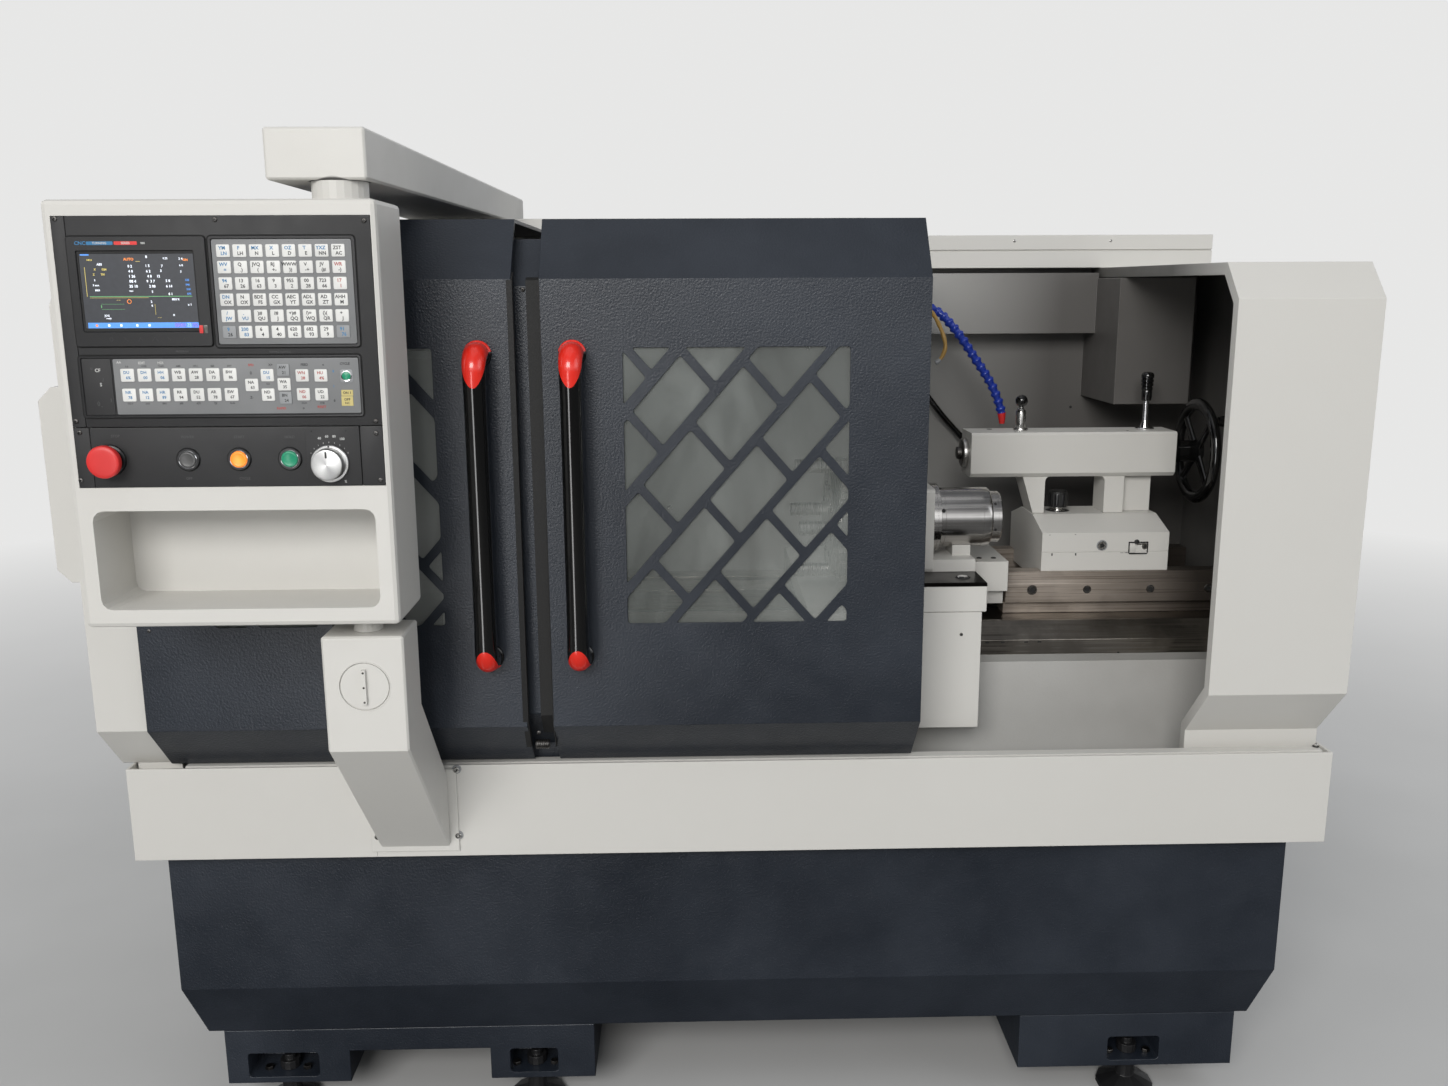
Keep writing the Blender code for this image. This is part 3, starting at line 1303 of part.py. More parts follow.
def cross_slide():
    """The cross slide that carries the turret."""
    low = SADDLE_TOP_Z + GAP
    made = block("cross_slide", (SLIDE_START, SLIDE_FRONT_Y, low), (SLIDE_END, SLIDE_REAR_Y, SLIDE_TOP_Z))
    return soften(made, SHEET / 2)


def turret_housing():
    """The turret gearbox with its shoe and the cradle under the drive cylinder."""
    low = SLIDE_TOP_Z + GAP
    half = TURRET_BOX_WIDTH / 2
    front, rear = TURRET_Y - half, TURRET_Y + half
    start, end = TURRET_BOX_START, TURRET_BOX_END - GAP
    shape = round_corners(rectangle(front, rear, low, TURRET_BOX_TOP_Z), SHEET * 2, 2)
    made = prism("turret_housing", shape, "X", start, end)
    shoe_high = (TURRET_SHOE_END, rear - SHEET, low + TURRET_SHOE_HEIGHT)
    shoe = block("shoe", (start + SHEET, front + SHEET, low), shoe_high)
    cradle_half = TURRET_CRADLE_WIDTH / 2
    top = TURRET_Z - DRUM_RADIUS + TURRET_CRADLE_CLEAR * 2
    cradle_low = (TURRET_CRADLE_START, TURRET_Y - cradle_half, low + SHEET)
    cradle_end = TURRET_CRADLE_START + TURRET_CRADLE_LENGTH - SHEET
    fuse(made, shoe, block("cradle", cradle_low, (cradle_end, TURRET_Y + cradle_half, top)))
    centre = (TURRET_Y, TURRET_Z)
    bore = rod("bore", DRUM_RADIUS + GAP, "X", centre, end + SHEET, TURRET_SHOE_END + CUT_OVERRUN, 28)
    return cut(made, bore)


def turret_drive_cylinder():
    """The turned drive cylinder: mounting ring, barrel and end cap."""
    start = TURRET_BOX_END
    ring = start + DRUM_RING_LENGTH
    body = ring + DRUM_LENGTH
    end = body + DRUM_CAP_LENGTH
    profile = [
        (start, 0), (start, DRUM_RING_RADIUS), (ring, DRUM_RING_RADIUS), (ring, DRUM_RADIUS),
        (body - DRUM_EDGE, DRUM_RADIUS), (body, DRUM_RADIUS - DRUM_EDGE), (body, DRUM_CAP_RADIUS),
        (end - DRUM_EDGE, DRUM_CAP_RADIUS), (end, DRUM_CAP_RADIUS - DRUM_EDGE), (end, 0),
    ]
    return turned("turret_drive_cylinder", profile, "X", (TURRET_Y, TURRET_Z), 28)


def turret_disc():
    """The eight-sided tool disc with alternating turning tools and boring bars."""
    radius = DISC_ACROSS_FLATS / 2 / math.cos(math.pi / DISC_STATIONS)
    corners = [math.tau * (index + 0.5) / DISC_STATIONS for index in range(DISC_STATIONS)]
    outline = [(TURRET_Y + radius * math.cos(t), TURRET_Z + radius * math.sin(t)) for t in corners]
    made = prism("turret_disc", outline, "X", DISC_START, DISC_START + DISC_LENGTH)
    centre = (TURRET_Y, TURRET_Z)
    hub_end = DISC_START + DISC_LENGTH + DISC_HUB_LENGTH
    tools = [rod("hub", DISC_HUB_RADIUS, "X", centre, DISC_START + CUT_OVERRUN, hub_end, 24)]
    middle = DISC_START + DISC_LENGTH / 2
    flat = DISC_ACROSS_FLATS / 2
    for index in range(DISC_STATIONS):
        half = TOOL_BLOCK_SIDE / 2
        top = flat + TOOL_BLOCK_HEIGHT
        holder = [block("holder", (middle - half, -half, flat - SHEET), (middle + half, half, top))]
        if index % 2:
            tool_half = TOOL_SIDE / 2
            corner = (middle - half + GAP, -tool_half, flat)
            holder.append(block("tool", corner, (middle - half + TOOL_SIDE, tool_half, TOOL_REACH)))
        else:
            up = flat + TOOL_BLOCK_HEIGHT / 2 - SHEET
            bar_start = DISC_START - BORING_BAR_LENGTH
            holder.append(rod("bar", BORING_BAR_RADIUS, "X", (0.0, up), bar_start, middle, 12))
        turn = Matrix.Rotation(math.tau * index / DISC_STATIONS, 4, "X")
        for piece in holder:
            piece.data.transform(Matrix.Translation((0.0, TURRET_Y, TURRET_Z)) @ turn)
        tools += holder
    return fuse(made, *tools)


def chuck_body():
    """The chuck body with three jaw slots, a bore and key sockets."""
    edge = CHUCK_EDGE
    profile = [
        (CHUCK_START, CHUCK_BORE), (CHUCK_START, CHUCK_RADIUS - edge), (CHUCK_START + edge, CHUCK_RADIUS),
        (CHUCK_FACE - edge, CHUCK_RADIUS), (CHUCK_FACE, CHUCK_RADIUS - edge), (CHUCK_FACE, CHUCK_BORE),
    ]
    made = ring_turned("chuck_body", profile, "X", (AXIS_Y, AXIS_Z), 36)
    tools = []
    for index in range(JAW_COUNT):
        half = JAW_WIDTH / 2 + GAP
        slot_low = (CHUCK_FACE - JAW_SLOT_DEPTH, -half, 0.0)
        tools.append(block("slot", slot_low, (CHUCK_FACE + CUT_OVERRUN, half, CHUCK_RADIUS + CUT_OVERRUN)))
        depth = CHUCK_RADIUS - CHUCK_KEYHOLE_DEPTH
        spot = (CHUCK_START + CHUCK_LENGTH * CHUCK_KEYHOLE_SHARE, 0.0)
        tools.append(rod("key", CHUCK_KEYHOLE, "Z", spot, depth, CHUCK_RADIUS + CUT_OVERRUN, 8))
        spin_on_axis(tools[-2:], index, 0.0)
    spin_on_axis(tools[1::2], 0, math.pi / JAW_COUNT, False)
    return cut(made, *tools)


def spin_on_axis(pieces, index, extra, place=True):
    """Turn pieces modelled above the origin to their place round the spindle axis."""
    turn = Matrix.Rotation(math.tau * index / JAW_COUNT + extra, 4, "X")
    home = Matrix.Translation((0.0, AXIS_Y, AXIS_Z))
    for piece in pieces:
        piece.data.transform(home @ turn if place else home @ turn @ home.inverted())


def chuck_jaws():
    """Three stepped jaws seated in the chuck's slots."""
    jaws = []
    base = CHUCK_FACE - JAW_SLOT_DEPTH + GAP
    steps = [(JAW_INNER + (JAW_OUTER - JAW_INNER) * along, JAW_HEIGHT * up) for along, up in JAW_STEP_SHARES]
    outline = [(base, JAW_INNER)] + [(CHUCK_FACE + up, radius) for radius, up in steps] + [(base, JAW_OUTER)]
    for index in range(JAW_COUNT):
        jaw = prism(f"chuck_jaw_{index + 1}", outline, "Y", -JAW_WIDTH / 2, JAW_WIDTH / 2)
        spin_on_axis([jaw], index, 0.0)
        jaws.append(jaw)
    return jaws


def tailstock_base():
    """The two-part tailstock base with its tongue between the rails and the clamp knob."""
    low = TAIL_RAIL_TOP_Z + GAP
    seam = low + TAIL_BASE_HEIGHT
    front = TAIL_BASE_FRONT_Y
    shoulder = AXIS_Y - BARREL_SIDE / 2
    half = [
        (front, low), (front, seam), (front + TAIL_SEAM_DEPTH, seam),
        (front + TAIL_SEAM_DEPTH, seam + TAIL_SEAM), (front, seam + TAIL_SEAM),
        (front, TAIL_FOOT_Z), (shoulder, TAIL_SHOULDER_Z),
    ]
    outline = half + [(mirrored(y), z) for y, z in half[::-1]]
    made = prism("tailstock_base", outline, "X", TAIL_BASE_START, TAIL_BASE_END)
    tongue_y = SEAT_END_Y + GAP * 2
    tongue_low = (TAIL_BASE_START, tongue_y, low - TAIL_TONGUE)
    tongue = block("tongue", tongue_low, (TAIL_BASE_END, mirrored(tongue_y), low + SHEET))
    top = TAIL_SHOULDER_Z + CLAMP_KNOB_LIFT
    knob_top = top + CLAMP_KNOB_HEIGHT
    profile = [
        (TAIL_SHOULDER_Z - SHEET, 0), (TAIL_SHOULDER_Z - SHEET, CLAMP_KNOB_STEM), (top, CLAMP_KNOB_STEM),
        (top, CLAMP_KNOB_RADIUS), (knob_top - SHEET, CLAMP_KNOB_RADIUS),
        (knob_top, CLAMP_KNOB_RADIUS - SHEET), (knob_top, 0),
    ]
    knob = turned("knob", profile, "Z", (CLAMP_KNOB_X, AXIS_Y), 20)
    return fuse(made, tongue, knob)


def tailstock_body():
    """The tailstock casting: a long barrel block on two legs, bored for the quill."""
    half = BARREL_SIDE / 2
    front, rear = AXIS_Y - half, AXIS_Y + half
    top, low = AXIS_Z + half, AXIS_Z - half
    slim, broad = BARREL_TOP_CHAMFER, BARREL_LOW_CHAMFER
    outline = [
        (front, low + broad), (front, top - slim), (front + slim, top), (rear - slim, top),
        (rear, top - slim), (rear, low + broad), (rear - broad, low), (front + broad, low),
    ]
    made = prism("tailstock_body", outline, "X", BARREL_START, BARREL_END)
    foot = TAIL_SHOULDER_Z + GAP
    legs = [
        (LEFT_LEG_FOOT_X, foot), (RIGHT_LEG_WAIST_X, foot), (RIGHT_LEG_WAIST_X, AXIS_Z - half / 2),
        (LEFT_LEG_TOP_X, AXIS_Z - half / 2), (LEFT_LEG_TOP_X, low),
    ]
    leg = prism("leg", legs, "Y", front + LEG_SETBACK, rear - LEG_SETBACK)
    rib_half = LEG_SETBACK + LEG_SETBACK / 2
    rib_shape = [(RIGHT_LEG_FLARE_X, foot), (RIGHT_LEG_END, foot), (RIGHT_LEG_END, AXIS_Z - half / 2),
                 (RIGHT_LEG_FLARE_X, AXIS_Z - half / 2)]
    rib = prism("rib", rib_shape, "Y", AXIS_Y - rib_half, AXIS_Y + rib_half)
    fuse(made, leg, rib)
    opening = rectangle(LEG_WINDOW_START, LEG_WINDOW_END, foot - CUT_OVERRUN, low)
    shape = round_corners(opening, LEG_WINDOW_RADIUS)
    window = prism("window", shape, "Y", front - CUT_OVERRUN, rear + CUT_OVERRUN)
    centre = (AXIS_Y, AXIS_Z)
    bore = rod("bore", QUILL_RADIUS + GAP, "X", centre, BARREL_START - CUT_OVERRUN, BARREL_BORE_END)
    hole_start, hole_end = BARREL_BORE_END - SHEET, BARREL_END + CUT_OVERRUN
    hole = rod("hole", TAIL_SCREW_RADIUS + GAP, "X", centre, hole_start, hole_end, 16)
    return cut(made, window, bore, hole)


def quill():
    """The quill with its collar and nose, bored from behind for the screw."""
    start = BARREL_START - QUILL_OUT
    collar = start + QUILL_NOSE_LENGTH
    collar_end = collar + QUILL_COLLAR_LENGTH
    bore_start = QUILL_END - QUILL_BORE_DEPTH
    profile = [
        (start, 0), (start, QUILL_NOSE_RADIUS), (collar, QUILL_NOSE_RADIUS), (collar, QUILL_COLLAR_RADIUS),
        (collar_end, QUILL_COLLAR_RADIUS), (collar_end, QUILL_RADIUS), (QUILL_END, QUILL_RADIUS),
        (QUILL_END, QUILL_BORE), (bore_start, QUILL_BORE), (bore_start, 0),
    ]
    return turned("quill", profile, "X", (AXIS_Y, AXIS_Z))


def tailstock_handwheel():
    """The spoked handwheel with its screw, hub and grip."""
    centre = (AXIS_Y, AXIS_Z)
    half = HANDWHEEL_RIM_DEPTH / 2
    inner = HANDWHEEL_RADIUS - HANDWHEEL_RIM_WIDTH
    edge = half / 2
    rim = ring_turned("tailstock_handwheel", [
        (HANDWHEEL_X - half, inner + edge), (HANDWHEEL_X - half, HANDWHEEL_RADIUS - edge),
        (HANDWHEEL_X, HANDWHEEL_RADIUS), (HANDWHEEL_X + half, HANDWHEEL_RADIUS - edge),
        (HANDWHEEL_X + half, inner + edge), (HANDWHEEL_X, inner),
    ], "X", centre, 28)
    hub_start = HANDWHEEL_HUB_START
    hub_end = hub_start + HANDWHEEL_HUB_LENGTH
    hub = turned("hub", [
        (TAIL_SCREW_START, 0), (TAIL_SCREW_START, TAIL_SCREW_RADIUS), (hub_start, TAIL_SCREW_RADIUS),
        (hub_start, HANDWHEEL_HUB_RADIUS), (hub_end, HANDWHEEL_HUB_RADIUS), (hub_end, 0),
    ], "X", centre, 24)
    tools = [hub]
    for index in range(HANDWHEEL_SPOKES):
        low = (HANDWHEEL_X - SPOKE_THICKNESS / 2, -SPOKE_WIDTH / 2, HANDWHEEL_HUB_RADIUS / 2)
        spoke = block("spoke", low, (HANDWHEEL_X + SPOKE_THICKNESS / 2, SPOKE_WIDTH / 2, inner + edge))
        turn = Matrix.Rotation(math.tau * (index + 0.5) / HANDWHEEL_SPOKES, 4, "X")
        spoke.data.transform(Matrix.Translation((0.0, AXIS_Y, AXIS_Z)) @ turn)
        tools.append(spoke)
    reach = (HANDWHEEL_RADIUS + inner) / 2
    spot = (AXIS_Y - reach * math.sin(math.pi / 4), AXIS_Z + reach * math.cos(math.pi / 4))
    tools.append(rod("grip", GRIP_RADIUS, "X", spot, HANDWHEEL_X, HANDWHEEL_X + half + GRIP_LENGTH, 14))
    return fuse(rim, *tools)


def quill_clamp_lever():
    """The chrome sleeve with a ball that clamps the quill."""
    low = AXIS_Z + BARREL_SIDE / 2 + GAP
    flange = low + CLAMP_FLANGE
    sleeve = flange + CLAMP_SLEEVE_HEIGHT
    profile = [
        (low, 0), (low, CLAMP_FLANGE_RADIUS), (flange, CLAMP_FLANGE_RADIUS), (flange, CLAMP_SLEEVE_RADIUS),
        (sleeve, CLAMP_SLEEVE_RADIUS), (sleeve, CLAMP_NECK_RADIUS),
    ]
    ball = sleeve + CLAMP_BALL_RADIUS
    for index in range(1, 7):
        turn = math.pi * (index + 0.4) / 7
        profile.append((ball - CLAMP_BALL_RADIUS * math.cos(turn), CLAMP_BALL_RADIUS * math.sin(turn)))
    profile.append((ball + CLAMP_BALL_RADIUS, 0))
    return turned("quill_clamp_lever", profile, "Z", (CLAMP_X, AXIS_Y), 12)


def tailstock_clamp_lever():
    """The rod with a fluted grip that locks the tailstock to its rails."""
    low = AXIS_Z + BARREL_SIDE / 2 + GAP
    flange = low + CLAMP_FLANGE
    rod_top = flange + LOCK_ROD_HEIGHT
    grip = rod_top + LOCK_GRIP_HEIGHT
    middle = (rod_top + grip) / 2
    profile = [
        (low, 0), (low, LOCK_FLANGE_RADIUS), (flange, LOCK_FLANGE_RADIUS), (flange, LOCK_ROD_RADIUS),
        (rod_top, LOCK_ROD_RADIUS), (rod_top, LOCK_GRIP_WAIST), (middle, LOCK_GRIP_WAIST),
        (middle + SHEET, LOCK_GRIP_RADIUS), (grip - SHEET * 2, LOCK_GRIP_RADIUS), (grip, LOCK_GRIP_WAIST / 2),
        (grip, 0),
    ]
    return turned("tailstock_clamp_lever", profile, "Z", (LOCK_X, AXIS_Y), 12)


def cover_line(front, knee, shin, shin_y, low):
    """The (y, z) line of an end cover from its foot up over the shoulder to the rear guard."""
    return [
        (shin_y, low), (shin_y, shin), (front, knee), (front, COVER_SHOULDER_Z),
        (front + COVER_SHOULDER_DEPTH, COVER_TOP_Z), (GUARD_Y - GAP, COVER_TOP_Z),
    ]


def end_wall(line, start, end):
    """The side wall that closes an end cover."""
    floor = TRAY_TOP_Z + GAP
    return prism("wall", [(line[1][0], floor)] + line[1:] + [(line[-1][0], floor)], "X", start, end)


def end_cover_left():
    """The narrow left column with the gear cover on its side."""
    slope = DOOR_BOTTOM_SET / (DOOR_LOWER_CHAMFER_Z - DOOR_BOTTOM_Z)
    shin_y = LEFT_COVER_FRONT_Y + (LEFT_COVER_KNEE_Z - LEFT_COVER_SHIN_Z) * slope
    foot = TRAY_TOP_Z + GAP
    line = cover_line(LEFT_COVER_FRONT_Y, LEFT_COVER_KNEE_Z, LEFT_COVER_SHIN_Z, shin_y, foot)
    made = folded_sheet("end_cover_left", line, LEFT_COVER_START, LEFT_COVER_END, COVER_LIP, True, False)
    wall = end_wall(line, LEFT_COVER_START, LEFT_COVER_START + SHEET)
    low, high = GEAR_COVER_BOTTOM_Z, GEAR_COVER_TOP_Z
    shape = rectangle(GEAR_COVER_FRONT_Y, GEAR_COVER_REAR_Y, low, high)
    chamfer = GEAR_COVER_CHAMFER
    gear = stacked("gear", [
        (low, GEAR_COVER_START + chamfer, LEFT_COVER_START + SHEET / 2, shape[0][0], shape[1][0]),
        (low + chamfer, GEAR_COVER_START, LEFT_COVER_START + SHEET / 2, shape[0][0], shape[1][0]),
        (high - chamfer, GEAR_COVER_START, LEFT_COVER_START + SHEET / 2, shape[0][0], shape[1][0]),
        (high, GEAR_COVER_START + chamfer, LEFT_COVER_START + SHEET / 2, shape[0][0], shape[1][0]),
    ])
    leg_low = (LEFT_COVER_FOOT_X, shin_y, LEDGE_Z + GAP)
    leg = block("leg", leg_low, (LEFT_COVER_END, shin_y + SHEET, LEFT_COVER_SHIN_Z))
    return fuse(made, wall, gear, leg)


def end_cover_right():
    """The right end cover, closed at its outer end."""
    foot = LEDGE_Z + GAP
    line = cover_line(RIGHT_COVER_FRONT_Y, RIGHT_COVER_KNEE_Z, RIGHT_COVER_SHIN_Z, RIGHT_COVER_SHIN_Y, foot)
    made = folded_sheet("end_cover_right", line, RIGHT_COVER_START, RIGHT_COVER_END, COVER_LIP, True, False)
    return fuse(made, end_wall(line, RIGHT_COVER_END - SHEET, RIGHT_COVER_END))


def back_wall():
    """The rear guard sheet with its cable trunking and junction box."""
    low, high = TRAY_TOP_Z + GAP, BEAM_BOTTOM_Z - GAP
    rear = GUARD_Y + SHEET
    fold = GUARD_Y + GUARD_FOLD
    outline = [
        (GUARD_Y, low), (fold, low), (fold, low + SHEET), (rear, low + SHEET), (rear, high - SHEET),
        (fold, high - SHEET), (fold, high), (GUARD_Y, high),
    ]
    made = prism("back_wall", outline, "X", LEFT_COVER_START, RIGHT_COVER_END)
    inner = GUARD_Y + SHEET / 2
    trunking_low = (TRUNKING_START, TRUNKING_FRONT_Y, TRUNKING_BOTTOM_Z)
    trunking = block("trunking", trunking_low, (JUNCTION_START + SHEET, inner, TRUNKING_TOP_Z))
    junction_low = (JUNCTION_START, JUNCTION_FRONT_Y, JUNCTION_BOTTOM_Z)
    junction = block("junction", junction_low, (JUNCTION_START + JUNCTION_LENGTH, inner, JUNCTION_TOP_Z))
    return fuse(made, trunking, junction)


def rear_top_beam():
    """The long beam over the rear guard, with a shadow groove along its front."""
    front, rear = BEAM_FRONT_Y, BEAM_FRONT_Y + BEAM_DEPTH
    groove_top = BEAM_GROOVE_Z + BEAM_GROOVE_HEIGHT
    outline = [
        (front, BEAM_BOTTOM_Z), (front, BEAM_GROOVE_Z), (front + BEAM_GROOVE, BEAM_GROOVE_Z),
        (front + BEAM_GROOVE, groove_top), (front, groove_top),
        (front, BEAM_TOP_Z), (rear, BEAM_TOP_Z), (rear, BEAM_BOTTOM_Z),
    ]
    return prism("rear_top_beam", outline, "X", LEFT_COVER_START, RIGHT_COVER_END)


def door_line():
    """The (y, z) line of the guard doors from their foot up and back over the beam."""
    return [
        (DOOR_BOTTOM_SET, DOOR_BOTTOM_Z), (0.0, DOOR_LOWER_CHAMFER_Z), (0.0, DOOR_UPPER_CHAMFER_Z),
        (DOOR_TOP_SET, DOOR_TOP_Z), (DOOR_ROOF_REAR_Y, DOOR_TOP_Z),
    ]


def guard_door(name, start, end):
    """A folded sliding door with the window lattice cut through its face."""
    made = folded_sheet(name, door_line(), start, end, DOOR_HEM, True, True)
    relief_low = (start - CUT_OVERRUN, BEAM_FRONT_Y - DOOR_HEM, DOOR_TOP_Z - CUT_OVERRUN)
    relief_high = (end + CUT_OVERRUN, DOOR_ROOF_REAR_Y + CUT_OVERRUN, DOOR_TOP_Z - SHEET)
    relief = block("relief", relief_low, relief_high)
    width = end - start - 2 * WINDOW_MARGIN
    bm = bmesh.new()
    for cell in lattice_cells(width, WINDOW_TOP_Z - WINDOW_BOTTOM_Z):
        corners = [(start + WINDOW_MARGIN + x, WINDOW_BOTTOM_Z + z) for x, z in cell]
        near = [bm.verts.new((x, -CUT_OVERRUN, z)) for x, z in corners]
        far = [bm.verts.new((x, CUT_OVERRUN, z)) for x, z in corners]
        span_loops(bm, near, far)
        bm.faces.new(near)
        bm.faces.new(far)
    return cut(made, relief, solid_from("cells", bm))


def window_pane(name, start, end):
    """The clear pane behind a door's lattice."""
    margin = WINDOW_MARGIN - PANE_MARGIN
    near = SHEET + GAP
    low = (start + margin, near, WINDOW_BOTTOM_Z - PANE_MARGIN)
    return block(name, low, (end - margin, near + PANE_THICKNESS, WINDOW_TOP_Z + PANE_MARGIN))


def door_handle(name, x):
    """A long tube with capped ends on two short posts."""
    low = HANDLE_BOTTOM_Z - HANDLE_END_LENGTH
    high = HANDLE_TOP_Z + HANDLE_END_LENGTH
    tip = HANDLE_RADIUS / 2
    centre = (x, -HANDLE_STANDOFF)
    profile = [
        (low, 0), (low, tip), (low + tip, HANDLE_RADIUS), (high - tip, HANDLE_RADIUS), (high, tip), (high, 0),
    ]
    made = turned(name, profile, "Z", centre, 16)
    posts = []
    for z in (HANDLE_BOTTOM_Z, HANDLE_TOP_Z):
        posts.append(rod("post", HANDLE_POST_RADIUS, "Y", (x, z), -HANDLE_STANDOFF, -GAP, 14))
    return fuse(made, *posts)


def centre_mullion():
    """The dark upright that closes the guard between the two doors."""
    line = offset_line(door_line(), MULLION_SET)
    depth = MULLION_DEPTH
    foot = (line[0][0], LEDGE_Z + GAP)
    outer = [foot] + line[:-1] + [(BEAM_FRONT_Y - GAP, line[-1][1])]
    inner = offset_line(outer, depth)
    inner[0] = (foot[0] + depth, foot[1])
    return prism("centre_mullion", outer + inner[::-1], "X", MULLION_START, MULLION_START + MULLION_WIDTH)


def coolant_hose():
    """The jointed coolant hose with its nozzle."""
    spots = smooth_route(HOSE_ROUTE, HOSE_SEGMENT)
    route, radii = [], []
    for index, (first, second) in enumerate(zip(spots, spots[1:])):
        last = index >= len(spots) - 3
        for share, radius in ((0.0, HOSE_WAIST), (0.5, HOSE_RADIUS)):
            if last and share:
                continue
            route.append(first.lerp(second, share))
            radii.append(radius)
    route.append(spots[-1])
    radii.append(HOSE_NOZZLE_TIP)
    return tube_along("coolant_hose", route, radii, 7)


def coolant_pipe():
    """The bent pipe on the rear guard."""
    route = smooth_route(PIPE_ROUTE, HOSE_SEGMENT)
    return tube_along("coolant_pipe", route, [PIPE_RADIUS] * len(route), 6)


def electrical_cabinet():
    """The cabinet behind the guard, open to its door, with the gear inside."""
    front, rear = CABINET_FRONT_Y, CABINET_REAR_Y
    low, high = CABINET_BOTTOM_Z, CABINET_TOP_Z
    made = block("electrical_cabinet", (CABINET_START, front, low), (CABINET_END, rear, high))
    wall, frame = CABINET_WALL, CABINET_FRAME
    inside_low = (CABINET_START + wall, front + wall, low + wall)
    inside = block("inside", inside_low, (CABINET_END - wall, rear - wall, high - wall))
    mouth_low = (CABINET_START + frame, rear - CUT_OVERRUN, low + frame)
    mouth = block("mouth", mouth_low, (CABINET_END - frame, rear + CUT_OVERRUN, high - frame))
    cut(made, inside, mouth)
    width = CABINET_LENGTH - 2 * CABINET_BLOCK_EDGE
    height = high - low - 2 * CABINET_BLOCK_EDGE
    gear = []
    for left, bottom, right, top in CABINET_BLOCK_SHARES:
        x, z = CABINET_START + CABINET_BLOCK_EDGE, low + CABINET_BLOCK_EDGE
        corner = (x + width * left, front + wall / 2, z + height * bottom)
        far = (x + width * right, front + CABINET_BLOCK_DEPTH, z + height * top)
        gear.append(block("gear", corner, far))
    return fuse(made, *gear)


def cabinet_door():
    """The cabinet's rear door on its hinge line, with two latches."""
    near = CABINET_REAR_Y + GAP
    edge = CABINET_DOOR_EDGE
    low, high = CABINET_BOTTOM_Z + edge, CABINET_TOP_Z - edge
    door_low = (CABINET_START + edge, near, low)
    made = soften(block("cabinet_door", door_low, (CABINET_END - edge, DOOR_FACE_Y, high)), edge / 2)
    latches = []
    for share in LATCH_SHARES:
        spot = (CABINET_END - CABINET_BLOCK_EDGE, low + (high - low) * share)
        latches.append(rod("latch", LATCH_RADIUS, "Y", spot, DOOR_FACE_Y - SHEET, MACHINE_REAR_Y, 14))
    return fuse(apply_modifiers(made), *latches)


def apply_modifiers(thing):
    """Write a piece's modifiers into its mesh."""
    graph = bpy.context.evaluated_depsgraph_get()
    result = bpy.data.meshes.new_from_object(thing.evaluated_get(graph))
    thing.modifiers.clear()
    thing.data = result
    return thing


def overhead_duct():
    """The cable duct from the cabinet over the doors to the pendant, widening to the rear."""
    low = CABINET_TOP_Z + GAP
    front_top = low + DUCT_HEIGHT
    rear_top = front_top - DUCT_FALL
    right = DUCT_LEFT_X + DUCT_WIDTH
    front = [(x, DUCT_FRONT_Y, z) for x, z in rectangle(DUCT_LEFT_X, right, low, front_top)]
    rear_left = DUCT_LEFT_X - DUCT_FLARE
    rear = [(x, CABINET_REAR_Y, z) for x, z in rectangle(rear_left, right + DUCT_FLARE, low, rear_top)]
    bm = bmesh.new()
    loops = [[bm.verts.new(spot) for spot in loop] for loop in (front, rear)]
    span_loops(bm, loops[0], loops[1])
    bm.faces.new(loops[0])
    bm.faces.new(loops[1])
    return soften(solid_from("overhead_duct", bm), DUCT_EDGE)


def pendant_housing():
    """The operator pendant on its swivel post, with the open shelf under the panel."""
    right = PENDANT_LEFT_X + PENDANT_WIDTH
    low = (PENDANT_LEFT_X, PENDANT_FRONT_Y, PENDANT_BOTTOM_Z)
    made = block("pendant_housing", low, (right, PENDANT_REAR_Y, PENDANT_TOP_Z))
    apply_modifiers(soften(made, PENDANT_EDGE, 2))
    bottom = PENDANT_BOTTOM_Z + NICHE_BOTTOM
    shape = rectangle(PENDANT_LEFT_X + NICHE_SIDE, right - NICHE_SIDE, bottom, bottom + NICHE_HEIGHT)
    near = PENDANT_FRONT_Y - CUT_OVERRUN
    niche = prism("niche", round_corners(shape, NICHE_RADIUS), "Y", near, PENDANT_FRONT_Y + NICHE_DEPTH)
    seat_low = (PANEL_LEFT_X - GAP, near, PANEL_BOTTOM_Z - GAP)
    seat = block("seat", seat_low, (PANEL_RIGHT_X + GAP, PENDANT_FRONT_Y + PANEL_RECESS, PANEL_TOP_Z + GAP))
    cut(made, niche, seat)
    pivot = (PIVOT_X, PIVOT_Y)
    neck = rod("neck", NECK_RADIUS, "Z", pivot, PENDANT_TOP_Z - SHEET, CABINET_TOP_Z, 24)
    post = rod("post", POST_RADIUS, "Z", pivot, ARM_TOP_Z + GAP, PENDANT_BOTTOM_Z + SHEET, 20)
    return fuse(made, neck, post)


